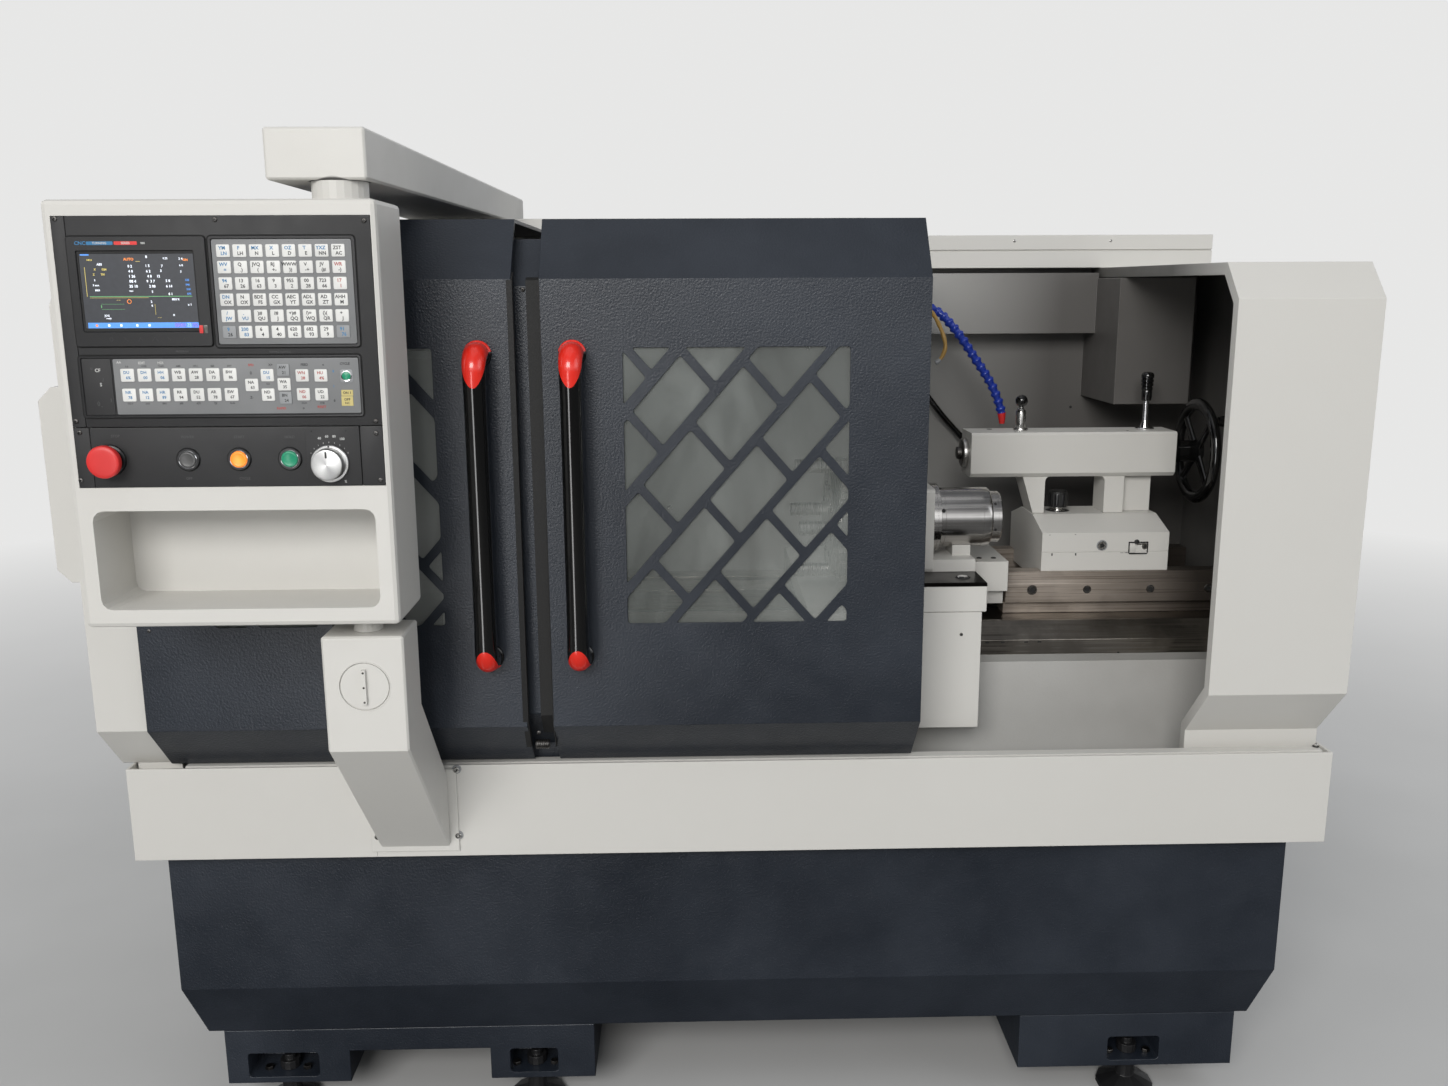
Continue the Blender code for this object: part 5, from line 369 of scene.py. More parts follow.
# Shapes.
def finish_piece(name, bm, materials, body, angle=35.0, bevel=0.0, segments=2, replaces=()):
    """Turn a bmesh in the part's frame into a piece that rides on a body."""
    bmesh.ops.recalc_face_normals(bm, faces=bm.faces[:])
    mesh = bpy.data.meshes.new(name)
    bm.to_mesh(mesh)
    bm.free()
    mesh.transform(Matrix.Translation(SHIFT))
    for entry in materials if isinstance(materials, (list, tuple)) else [materials]:
        mesh.materials.append(entry)
    made = bpy.data.objects.new(name, mesh)
    bpy.context.scene.collection.objects.link(made)
    mesh.shade_smooth()
    mesh.set_sharp_from_angle(angle=math.radians(angle))
    if bevel:
        edges = made.modifiers.new("edges", "BEVEL")
        edges.width = bevel
        edges.segments = segments
        edges.limit_method = "ANGLE"
        edges.angle_limit = math.radians(30)
        edges.harden_normals = True
    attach(made, body)
    if replaces:
        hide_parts(*replaces)
    return made


def close_ring(bm, ring, mat):
    face = bm.faces.new(ring)
    face.material_index = mat


def skin_rings(bm, first, second, mat):
    count = max(len(first), len(second))
    for step in range(count):
        after = (step + 1) % count
        corners = []
        for corner in (
            first[step % len(first)], first[after % len(first)],
            second[after % len(second)], second[step % len(second)],
        ):
            if corner not in corners:
                corners.append(corner)
        close_ring(bm, corners, mat)


def skin_stack(bm, rings, mat, top_mat=None):
    """Skin a chain of rings and close both its ends."""
    for first, second in zip(rings, rings[1:]):
        skin_rings(bm, first, second, mat)
    close_ring(bm, rings[0], mat)
    close_ring(bm, rings[-1], mat if top_mat is None else top_mat)


def skin_loop(bm, rings, mat):
    """Skin a closed chain of rings."""
    for index, ring in enumerate(rings):
        skin_rings(bm, ring, rings[(index + 1) % len(rings)], mat)


AXES = {
    "X": lambda a, b, along: (along, a, b),
    "Y": lambda a, b, along: (a, along, b),
    "Z": lambda a, b, along: (a, b, along),
}


def turned_ring(bm, axis, centre, along, radius, steps, start=0.5):
    """Vertices of a circle about an axis, the first of them start steps round."""
    ring = []
    for step in range(steps):
        turn = math.tau * (step + start) / steps
        a, b = centre[0] + radius * math.cos(turn), centre[1] + radius * math.sin(turn)
        ring.append(bm.verts.new(AXES[axis](a, b, along)))
    return ring


def lathe(bm, profile, axis, centre, steps=48, mats=0, start=0.5, closed=True):
    """Turn (along, radius) points about an axis; mats is one slot or one for each band."""
    rings = []
    for along, radius in profile:
        if radius <= 1e-7:
            rings.append([bm.verts.new(AXES[axis](centre[0], centre[1], along))])
        else:
            rings.append(turned_ring(bm, axis, centre, along, radius, steps, start))
    bands = mats if isinstance(mats, (list, tuple)) else [mats] * (len(rings) - 1)
    for first, second, mat in zip(rings, rings[1:], bands):
        skin_rings(bm, first, second, mat)
    if len(rings[0]) > 1:
        close_ring(bm, rings[0], bands[0])
    if closed and len(rings[-1]) > 1:
        close_ring(bm, rings[-1], bands[-1])


def torus_like(bm, profile, axis, centre, steps=64, mat=0):
    """Turn a closed profile of (along, radius) points about an axis."""
    rings = [turned_ring(bm, axis, centre, along, radius, steps, 0.0) for along, radius in profile]
    skin_loop(bm, rings, mat)


def rounded_outline(left, right, low, high, radius, steps=5):
    if radius <= 0:
        return [(left, low), (right, low), (right, high), (left, high)]
    corners = (
        (right - radius, low + radius, -90.0), (right - radius, high - radius, 0.0),
        (left + radius, high - radius, 90.0), (left + radius, low + radius, 180.0),
    )
    outline = []
    for x, z, first in corners:
        for step in range(steps + 1):
            turn = math.radians(first + 90.0 * step / steps)
            outline.append((x + radius * math.cos(turn), z + radius * math.sin(turn)))
    return outline


def inset_outline(box, inset, radius, steps, least=0.0):
    """The rounded outline of a (left, right, low, high) box, drawn in by inset."""
    left, right, low, high = box
    rounding = max(radius - inset, least)
    return rounded_outline(left + inset, right - inset, low + inset, high - inset, rounding, steps)


def plate(
    bm, left, right, low, high, back, front, radius=0.0, edge=0.0, mat=0, axis="Y", steps=5, top_mat=None
):
    """A rounded plate whose front edge is broken by edge; it stands along the axis from back to front."""
    sign = 1.0 if front > back else -1.0
    levels = [(back, 0.0), (front - sign * edge, 0.0)]
    if edge:
        levels += [(front - sign * edge * 0.3, edge * 0.3), (front, edge)]
    rings = []
    for along, inset in levels:
        outline = inset_outline((left, right, low, high), inset, radius, steps)
        rings.append([bm.verts.new(AXES[axis](a, b, along)) for a, b in outline])
    skin_stack(bm, rings, mat, top_mat)


def frame_plate(bm, outer, inner, back, front, radius, hole_radius, edge=0.0006, mat=0, steps=5):
    """A rounded plate with a rounded hole, facing -Y."""
    rings = []
    for along, inset in ((back, 0.0), (front + edge, 0.0), (front, edge)):
        outline = inset_outline(outer, inset, radius, steps, LEAST_ROUNDING)
        rings.append([bm.verts.new((a, along, b)) for a, b in outline])
    for along, inset in ((front, -edge), (front + edge, 0.0), (back, 0.0)):
        outline = inset_outline(inner, inset, hole_radius, steps, LEAST_ROUNDING)
        rings.append([bm.verts.new((a, along, b)) for a, b in outline])
    skin_loop(bm, rings, mat)


def tube(bm, route, radii, steps=16, mat=0):
    """Sweep a round section along a route of points."""
    route = [Vector(spot) for spot in route]
    ahead = (route[1] - route[0]).normalized()
    side = ahead.orthogonal().normalized()
    rings = []
    for index, spot in enumerate(route):
        ahead = (route[min(index + 1, len(route) - 1)] - route[max(index - 1, 0)]).normalized()
        side = (side - ahead * side.dot(ahead)).normalized()
        other = ahead.cross(side)
        radius = radii[index] if isinstance(radii, (list, tuple)) else radii
        rings.append([
            bm.verts.new(spot + (side * math.cos(t) + other * math.sin(t)) * radius)
            for t in (math.tau * step / steps for step in range(steps))
        ])
    skin_stack(bm, rings, mat)


def smooth_route(points, spacing):
    """Evenly spaced points on a Catmull-Rom curve."""
    knots = [Vector(point) for point in points]
    fine = []
    for index in range(len(knots) - 1):
        before = knots[max(index - 1, 0)]
        start, end = knots[index], knots[index + 1]
        after = knots[min(index + 2, len(knots) - 1)]
        for step in range(24):
            t = step / 24
            bend = 2 * before - 5 * start + 4 * end - after
            twist = 3 * start - before - 3 * end + after
            fine.append((2 * start + (end - before) * t + bend * t * t + twist * t ** 3) / 2)
    fine.append(knots[-1])
    lengths = [0.0]
    for first, second in zip(fine, fine[1:]):
        lengths.append(lengths[-1] + (second - first).length)
    count = max(2, round(lengths[-1] / spacing))
    spots = []
    at = 0
    for step in range(count + 1):
        want = lengths[-1] * step / count
        while at < len(lengths) - 2 and lengths[at + 1] < want:
            at += 1
        share = (want - lengths[at]) / (lengths[at + 1] - lengths[at])
        spots.append(fine[at].lerp(fine[at + 1], share))
    return spots


def letters(bm, text, x, z, height, y, mat=0, up=(0.0, 0.0, 1.0), across=(1.0, 0.0, 0.0)):
    """Raised characters centred at (x, z) on a plane that faces -Y."""
    curve = bpy.data.curves.new("letters", "FONT")
    curve.body = text
    curve.size = height * 1.38
    curve.align_x = "CENTER"
    curve.align_y = "CENTER"
    curve.resolution_u = 2
    curve.offset = height * 0.035
    holder = bpy.data.objects.new("letters", curve)
    bpy.context.scene.collection.objects.link(holder)
    graph = bpy.context.evaluated_depsgraph_get()
    mesh = bpy.data.meshes.new_from_object(holder.evaluated_get(graph))
    across, up = Vector(across), Vector(up)
    origin = Vector((x, y, z))
    made = bmesh.new()
    made.from_mesh(mesh)
    spots = [origin + across * v.co.x + up * v.co.y for v in made.verts]
    fresh = [bm.verts.new(spot) for spot in spots]
    for face in made.faces:
        copy = bm.faces.new([fresh[v.index] for v in face.verts])
        copy.material_index = mat
    made.free()
    bpy.data.objects.remove(holder)
    bpy.data.curves.remove(curve)
    bpy.data.meshes.remove(mesh)


def socket_screw(bm, centre, axis, out, radius, height, mat=0, dark=1):
    """Cap screw with a hexagon socket; out is +1 or -1 along the axis, centre is on the surface."""
    spots = {"X": (centre[1], centre[2], centre[0]), "Y": (centre[0], centre[2], centre[1]),
             "Z": (centre[0], centre[1], centre[2])}[axis]
    a, b, base = spots
    top = base + out * height
    profile = [
        (base, radius), (top - out * radius * 0.14, radius), (top, radius * 0.88), (top, radius * 0.52)
    ]
    lathe(bm, profile, axis, (a, b), 28, mat, closed=False)
    lathe_hex(bm, axis, (a, b), top, top - out * height * 0.55, radius * 0.52, radius * 0.47, dark)


def lathe_hex(bm, axis, centre, top, bottom, rim, radius, mat):
    """The socket: a flat ring narrowing to a hexagon, its walls and floor."""
    steps = 24
    ring = turned_ring(bm, axis, centre, top, rim, steps)
    hexagon = []
    for step in range(steps):
        turn = math.tau * (step + 0.5) / steps
        near = math.pi / 6 - abs((turn % (math.pi / 3)) - math.pi / 6)
        reach = radius * math.cos(math.pi / 6) / math.cos(math.pi / 6 - near)
        hexagon.append((centre[0] + reach * math.cos(turn), centre[1] + reach * math.sin(turn)))
    upper = [bm.verts.new(AXES[axis](a, b, top)) for a, b in hexagon]
    floor = [bm.verts.new(AXES[axis](a, b, bottom)) for a, b in hexagon]
    skin_rings(bm, ring, upper, mat)
    skin_rings(bm, upper, floor, mat)
    close_ring(bm, floor, mat)


def cross_screw(bm, x, z, y, radius, mat=0, dark=1):
    """Small pan-head screw facing -Y with a dark recess."""
    profile = [
        (y + 0.0003, radius), (y - radius * 0.25, radius * 0.96), (y - radius * 0.45, radius * 0.72),
        (y - radius * 0.50, radius * 0.45), (y - radius * 0.50, radius * 0.40),
        (y - radius * 0.22, radius * 0.30), (y - radius * 0.22, 0.0),
    ]
    lathe(bm, profile, "Y", (x, z), 20, [mat, mat, mat, dark, dark, dark])


# Doors.
RIGHT_WINDOW = (0.8455, 1.1955, 0.9625, 1.3985)
LEFT_WINDOW = (0.1930, 0.5550, 0.9625, 1.3985)
MIRROR = Vector((1.4525, -0.0544))
FIRST_CELL = Vector((1.0200, 1.2960))
DOWN_STRIP = Vector((-0.0823, -0.0975))
NEXT_STRIP = Vector((0.1006, -0.02125))
RUN = Vector((0.6553, 0.7554))
CROSS = Vector((0.6587, -0.7524))
HALF_LENGTH = 0.0567
HALF_WIDTHS = {-1: 0.0354, 0: 0.0408, 1: 0.0367, 2: 0.0406}


def clipped(outline, low, high, axis):
    """The part of an outline between two limits along one axis."""
    for limit, sign in ((low, 1.0), (high, -1.0)):
        kept = []
        for index, spot in enumerate(outline):
            before = outline[index - 1]
            inside = (spot[axis] - limit) * sign >= 0.0
            was_inside = (before[axis] - limit) * sign >= 0.0
            if inside != was_inside:
                share = (limit - before[axis]) / (spot[axis] - before[axis])
                kept.append(before.lerp(spot, share))
            if inside:
                kept.append(spot)
        outline = kept
    return outline


def softened(outline, radius):
    """Round every corner, less where its sides are short."""
    rounded = []
    for index, spot in enumerate(outline):
        before, after = outline[index - 1], outline[(index + 1) % len(outline)]
        reach = min(radius, (before - spot).length * 0.45, (after - spot).length * 0.45)
        start = spot + (before - spot).normalized() * reach
        end = spot + (after - spot).normalized() * reach
        for step in range(4):
            share = step / 3
            rounded.append(start.lerp(spot, share).lerp(spot.lerp(end, share), share))
    return rounded


def window_cells(window, mirrored):
    cells = []
    for strip in range(-5, 6):
        across = CROSS * HALF_WIDTHS.get(strip, 0.0383)
        along = RUN * HALF_LENGTH
        for row in range(-8, 9):
            centre = FIRST_CELL + DOWN_STRIP * row + NEXT_STRIP * strip
            outline = [centre - across + along, centre + across + along, centre + across - along,
                       centre - across - along]
            if mirrored:
                outline = [Vector((MIRROR.x - spot.x, MIRROR.y + spot.y)) for spot in outline]
            outline = clipped(outline, window[0], window[1], 0)
            outline = clipped(outline, window[2], window[3], 1)
            if len(outline) > 2 and polygon_area(outline) > 0.00008:
                cells.append(softened(outline, 0.0050))
    return cells


def polygon_area(outline):
    total = sum(a.x * b.y - b.x * a.y for a, b in zip(outline, outline[1:] + outline[:1]))
    return abs(total) / 2


def loose_solid(name, prisms):
    """Closed prisms, given as (outline, near, far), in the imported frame."""
    bm = bmesh.new()
    for outline, near, far in prisms:
        rings = [[bm.verts.new((spot[0], y, spot[1])) for spot in outline] for y in (near, far)]
        skin_rings(bm, rings[0], rings[1], 0)
        bm.faces.new(rings[0])
        bm.faces.new(rings[1])
    bmesh.ops.recalc_face_normals(bm, faces=bm.faces[:])
    mesh = bpy.data.meshes.new(name)
    bm.to_mesh(mesh)
    bm.free()
    mesh.transform(Matrix.Translation(SHIFT))
    made = bpy.data.objects.new(name, mesh)
    bpy.context.scene.collection.objects.link(made)
    return made


def combined(body, tool, operation):
    """Boolean of two loose solids; both are used up."""
    change = body.modifiers.new("change", "BOOLEAN")
    change.operation = operation
    change.object = tool
    change.solver = "EXACT"
    graph = bpy.context.evaluated_depsgraph_get()
    mesh = bpy.data.meshes.new_from_object(body.evaluated_get(graph))
    result = bpy.data.objects.new(body.name, mesh)
    bpy.context.scene.collection.objects.link(result)
    bpy.data.objects.remove(body)
    bpy.data.objects.remove(tool)
    return result


def glazed_door(name, node, window, mirrored, body):
    """The door's bent sheet with its leaning lattice of window cells."""
    mesh = NODES[node].data.copy()
    bm = bmesh.new()
    bm.from_mesh(mesh)
    bmesh.ops.remove_doubles(bm, verts=bm.verts[:], dist=0.00001)
    bm.to_mesh(mesh)
    bm.free()
    door = bpy.data.objects.new(name, mesh)
    bpy.context.scene.collection.objects.link(door)
    left, right, low, high = window
    rim = 0.0030
    outline = [
        (left - rim, low - rim), (right + rim, low - rim), (right + rim, high + rim),
        (left - rim, high + rim)
    ]
    door = combined(door, loose_solid("clear", [(outline, -0.02, 0.02)]), "DIFFERENCE")
    panel = loose_solid("lattice", [(outline, 0.0, 0.0030)])
    cells = [(cell, -0.02, 0.02) for cell in window_cells(window, mirrored)]
    panel = combined(panel, loose_solid("cells", cells), "DIFFERENCE")
    door = combined(door, panel, "UNION")
    door.name = name
    door.data.materials.clear()
    door.data.materials.append(navy_paint)
    for face in door.data.polygons:
        face.material_index = 0
        face.use_smooth = False
    break_edges(door, 0.0011)
    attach(door, body)
    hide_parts(node)


def folded_strip(bm, left, right, back, front, mat=0, top=1.512, foot=0.745):
    """A strip that follows the doors' fold lines from back to front of the door plane."""
    line = [(0.030, foot), (0.0, 0.800), (0.0, 1.500), (0.0165, top)]
    rings = [
        [bm.verts.new((x, y + step, z)) for y, z, step in
         [(y, z, front) for y, z in line] + [(y, z, back) for y, z in line[::-1]]]
        for x in (left, right)
    ]
    skin_rings(bm, rings[0], rings[1], mat)
    close_ring(bm, rings[0], mat)
    close_ring(bm, rings[1], mat)


def break_edges(made, width):
    edges = made.modifiers.new("edges", "BEVEL")
    edges.width = width
    edges.segments = 2
    edges.limit_method = "ANGLE"
    edges.angle_limit = math.radians(28)
    edges.harden_normals = True
    edges.use_clamp_overlap = True


def dress(names, made, bevel=0.0012):
    """Give CAD nodes their finish, with edges broken as bent sheet and machined blocks have them."""
    for name in names:
        node = NODES[name]
        node.data.materials.clear()
        node.data.materials.append(made)
        for face in node.data.polygons:
            face.material_index = 0
        if bevel:
            weld = node.modifiers.new("weld", "WELD")
            weld.merge_threshold = 0.00001
            edges = node.modifiers.new("edges", "BEVEL")
            edges.width = bevel
            edges.segments = 2
            edges.limit_method = "ANGLE"
            edges.angle_limit = math.radians(28)
            edges.harden_normals = True
            edges.use_clamp_overlap = True


def spotted(name, ground, spot, radius, colour=(0.012, 0.012, 0.012)):
    """A copy of a paint with one dark patch inside a ball about the spot: the black clamp knob on the
    tailstock base, and a painted shade on the duct's neck.
    """
    made = ground.copy()
    made.name = name
    inside = near_spot(made, spot, radius)
    under = shader_of(made).inputs["Base Color"].links[0].from_socket
    set_colour(made, mix_colours(made, inside, under, colour))
    return made


def shaded_inside(name, ground):
    """The paint with a painted shade on faces that look left into the working space, darker further back.
    """
    made = ground.copy()
    made.name = name
    under = shader_of(made).inputs["Base Color"].links[0].from_socket
    surface = add_node(made, "ShaderNodeNewGeometry")
    split = add_node(made, "ShaderNodeSeparateXYZ")
    wire(made, surface.outputs["True Normal"], split.inputs["Vector"])
    inward = spread(made, split.outputs["X"], -0.6, -0.9)
    deep = spread(made, axis_value(made, "Y"), 0.03 + SHIFT.y, 0.30 + SHIFT.y, 0.0, 0.9)
    # Painted shade: dark grey on the inward-looking faces, deepening towards the back.
    set_colour(made, mix_colours(made, maths(made, "MULTIPLY", inward, deep), under, (0.07, 0.067, 0.062)))
    return made


def above(name, ground, level, top, band=0.0006):
    """The ground finish below a height and the top finish's colour and shine above it."""
    made = ground.copy()
    made.name = name
    share = spread(made, axis_value(made, "Z"), level, level + band)
    under = shader_of(made).inputs["Base Color"].links[0].from_socket
    rough = shader_of(made).inputs["Roughness"].links[0].from_socket
    streaks = noise(made, 1.0, 3.0, (4.0, 300.0, 300.0), 0.65)
    clouds = noise(made, 10.0, 4.0)
    oily = mix_colours(made, spread(made, clouds, 0.42, 0.62), top, tuple(c * 0.28 for c in top))
    metal = mix_colours(made, spread(made, streaks, 0.35, 0.65), tuple(c * 0.6 for c in top), oily)
    set_colour(made, mix_colours(made, share, under, metal))
    shine = add_node(made, "ShaderNodeMix", data_type="FLOAT")
    wire(made, share, shine.inputs["Factor"])
    wire(made, rough, shine.inputs[2])
    shine.inputs[3].default_value = 0.28
    wire(made, shine.outputs[0], shader_of(made).inputs["Roughness"])
    wire(made, share, shader_of(made).inputs["Metallic"])
    return made


def dress_nodes():
    whites = (
        "chip_tray", "end_cover_left", "rear_top_beam",
        "electrical_cabinet", "cabinet_door", "pendant_housing", "apron_cover", "headstock",
        "saddle", "turret_housing", "tailstock_body",
    )
    dress(whites, white_paint)
    # The right cover's inner faces carry a painted shade.
    dress(("end_cover_right",), shaded_inside("cover_paint_painted_shade", white_paint))
    dress(("pendant_arm",), white_paint, 0.0018)
    # Painted shade: the duct's neck is coloured dark grey where it sits in shadow.
    duct_neck_painted_shade = spotted("duct_paint_neck_shade", white_paint, (0.4745, -0.1515, 1.605), 0.048, (0.10, 0.098, 0.095))
    dress(("overhead_duct",), duct_neck_painted_shade)
    dress(("back_wall",), shaded_wall_paint)
    knob = (1.668, 0.470, 1.079)
    dress(("tailstock_base",), spotted("tailstock_base_paint", white_paint, knob, 0.032), 0.001)
    dress(("cross_slide",), above("slide_finish", white_paint, 0.980, (0.022, 0.020, 0.018)), 0.001)
    dress(("base_cabinet", "foot_block_left", "foot_block_right"), navy_paint, 0.0022)
    dress(("left_door", "right_door", "centre_mullion"), navy_paint, 0.0014)
    glazed_door("right_door_panel", "right_door", RIGHT_WINDOW, False, "right_door_body")
    glazed_door("left_door_panel", "left_door", LEFT_WINDOW, True, "left_door_body")
    dress(("left_pane", "right_pane"), pane_clear, 0.0)
    dress(("z_motor",) + tuple(f"levelling_foot_{count}" for count in range(1, 7)), black_coat, 0.0008)
    dress(("bed_casting",), above("bed_finish", bed_paint, 0.8335, (0.46, 0.42, 0.37)), 0.0012)
    dress(("tailstock_ways",), rail_steel, 0.001)
    dress(("spindle_motor",), bed_paint, 0.001)
    dress(("spindle_pulley", "motor_pulley"), dark_steel, 0.0006)
    dress(("drive_belt",), rubber, 0.0)
    dress(("spindle", "z_ballscrew"), turned_steel, 0.0008)
    dress(("chuck_body", "turret_disc"), turned_steel, 0.001)
    dress(("chuck_jaw_1", "chuck_jaw_2", "chuck_jaw_3"), bright_steel, 0.0008)


# Stage.
CAMERA_SPOT = Vector((-0.0167, -2.3569, 1.4900))
CAMERA_YAW = 0.0253
CAMERA_PITCH = 0.2035
CAMERA_ROLL = 0.0048
CAMERA_LENS = 30.97
PALE = (0.80, 0.80, 0.795)


def photo_camera():
    camera = bpy.data.cameras.new("photo_camera")
    camera.lens = CAMERA_LENS
    camera.sensor_width = 36.0
    camera.clip_start = 0.05
    holder = bpy.data.objects.new("photo_camera", camera)
    bpy.context.scene.collection.objects.link(holder)
    flat = math.cos(CAMERA_PITCH)
    ahead = Vector((math.sin(CAMERA_YAW) * flat, math.cos(CAMERA_YAW) * flat, -math.sin(CAMERA_PITCH)))
    right = Vector((math.cos(CAMERA_YAW), -math.sin(CAMERA_YAW), 0.0))
    down = ahead.cross(right)
    across = right * math.cos(CAMERA_ROLL) + down * math.sin(CAMERA_ROLL)
    up = -(down * math.cos(CAMERA_ROLL) - right * math.sin(CAMERA_ROLL))
    turn = Matrix((across, up, -ahead)).transposed().to_4x4()
    holder.matrix_world = Matrix.Translation(CAMERA_SPOT) @ turn
    bpy.context.scene.camera = holder


def area_light(name, spot, aim, size, power, colour):
    light = bpy.data.lights.new(name, "AREA")
    light.shape = "RECTANGLE"
    light.size, light.size_y = size
    light.energy = power
    light.color = colour
    holder = bpy.data.objects.new(name, light)
    holder.location = spot
    holder.rotation_euler = (Vector(aim) - Vector(spot)).to_track_quat("-Z", "Y").to_euler()
    bpy.context.scene.collection.objects.link(holder)
    return holder


def studio_world():
    """Pale to the camera and through panes; dimmer, brighter overhead, as light and in reflections."""
    world = bpy.data.worlds.new("studio")
    bpy.context.scene.world = world
    world.use_nodes = True
    tree = world.node_tree
    tree.nodes.clear()
    output = tree.nodes.new("ShaderNodeOutputWorld")
    mix = tree.nodes.new("ShaderNodeMixShader")
    seen = tree.nodes.new("ShaderNodeBackground")
    seen.inputs["Color"].default_value = (*PALE, 1.0)
    glow = tree.nodes.new("ShaderNodeBackground")
    place_of = tree.nodes.new("ShaderNodeTexCoord")
    split = tree.nodes.new("ShaderNodeSeparateXYZ")
    rise = tree.nodes.new("ShaderNodeMapRange")
    rise.inputs["From Min"].default_value = -0.15
    rise.inputs["From Max"].default_value = 0.75
    shades = tree.nodes.new("ShaderNodeMix")
    shades.data_type = "RGBA"
    shades.inputs[6].default_value = (0.22, 0.22, 0.225, 1.0)
    shades.inputs[7].default_value = (0.44, 0.452, 0.465, 1.0)
    paths = tree.nodes.new("ShaderNodeLightPath")
    straight = tree.nodes.new("ShaderNodeMath")
    straight.operation = "MAXIMUM"
    link = tree.links.new
    band = tree.nodes.new("ShaderNodeValToRGB")
    band.color_ramp.elements[0].position = 0.44
    band.color_ramp.elements[0].color = (0.10, 0.10, 0.105, 1.0)
    band.color_ramp.elements[1].position = 0.78
    band.color_ramp.elements[1].color = (0.16, 0.165, 0.175, 1.0)
    for spot, tone in ((0.52, 0.55), (0.57, 1.25), (0.66, 1.05)):
        stop = band.color_ramp.elements.new(spot)
        stop.color = (tone * 0.97, tone * 0.985, tone, 1.0)
    lift = tree.nodes.new("ShaderNodeMath")
    lift.operation = "MULTIPLY_ADD"
    lift.inputs[1].default_value = 0.5
    lift.inputs[2].default_value = 0.5
    mirror = tree.nodes.new("ShaderNodeMix")
    mirror.data_type = "RGBA"
    link(place_of.outputs["Generated"], split.inputs["Vector"])
    link(split.outputs["Z"], rise.inputs["Value"])
    link(rise.outputs["Result"], shades.inputs["Factor"])
    link(split.outputs["Z"], lift.inputs[0])
    link(lift.outputs[0], band.inputs["Fac"])
    link(paths.outputs["Is Glossy Ray"], mirror.inputs["Factor"])
    link(shades.outputs[2], mirror.inputs[6])
    link(band.outputs["Color"], mirror.inputs[7])
    link(mirror.outputs[2], glow.inputs["Color"])
    link(paths.outputs["Is Camera Ray"], straight.inputs[0])
    link(paths.outputs["Is Transmission Ray"], straight.inputs[1])
    link(straight.outputs[0], mix.inputs[0])
    link(glow.outputs[0], mix.inputs[1])
    link(seen.outputs[0], mix.inputs[2])
    link(mix.outputs[0], output.inputs["Surface"])


def pale_floor():
    """Plain floor that melts into the background with distance; in reflections it shows dark grey, a
    painted shade of the floor lying in the machine's shadow.
    """
    made = new_material("pale_floor", (0.60, 0.60, 0.595), 0.62)
    clouds = noise(made, 1.1, 4.0)
    tones = mix_colours(made, spread(made, clouds, 0.3, 0.7), (0.56, 0.56, 0.555), (0.62, 0.62, 0.615))
    shader_of(made).inputs["Specular IOR Level"].default_value = 0.0
    paths = add_node(made, "ShaderNodeLightPath")
    # Painted shade: glossy rays see the floor dark grey, as if in shadow.
    set_colour(made, mix_colours(made, paths.outputs["Is Glossy Ray"], tones, (0.12, 0.12, 0.12)))
    tree = made.node_tree
    output = tree.nodes["Material Output"]
    glow = add_node(made, "ShaderNodeEmission")
    glow.inputs["Color"].default_value = (*PALE, 1.0)
    mix = add_node(made, "ShaderNodeMixShader")
    where = add_node(made, "ShaderNodeTexCoord")
    reach = add_node(made, "ShaderNodeVectorMath", operation="LENGTH")
    wire(made, where.outputs["Object"], reach.inputs[0])
    far = spread(made, reach.outputs["Value"], 1.6, 6.5)
    share = maths(made, "MULTIPLY", far, paths.outputs["Is Camera Ray"])
    wire(made, share, mix.inputs[0])
    wire(made, shader_of(made).outputs[0], mix.inputs[1])
    wire(made, glow.outputs[0], mix.inputs[2])
    wire(made, mix.outputs[0], output.inputs["Surface"])
    mesh = bpy.data.meshes.new("floor")
    bm = bmesh.new()
    bmesh.ops.create_grid(bm, x_segments=1, y_segments=1, size=30.0)
    bm.to_mesh(mesh)
    bm.free()
    mesh.materials.append(made)
    floor = bpy.data.objects.new("floor", mesh)
    bpy.context.scene.collection.objects.link(floor)
    return floor


def build_stage():
    photo_camera()
    studio_world()
    area_light("key", (-1.9, -7.0, 4.3), (0.1, 0.0, 0.85), (4.2, 2.6), 380.0, (1.0, 0.985, 0.96))
    area_light("fill", (4.2, -2.2, 3.2), (0.2, 0.0, 0.9), (2.6, 2.6), 22.0, (0.93, 0.96, 1.0))
    area_light("overhead", (-0.4, -0.6, 4.6), (0.0, 0.0, 0.8), (3.0, 3.0), 10.0, (1.0, 1.0, 1.0))
    strip = area_light(
        "strip", (-0.95, -2.6, 0.70), (-0.2, -0.43, 0.90), (0.50, 1.20), 9.0, (1.0, 1.0, 1.0)
    )
    strip.visible_diffuse = False
    pale_floor()
    bpy.context.scene.view_settings.view_transform = "Standard"


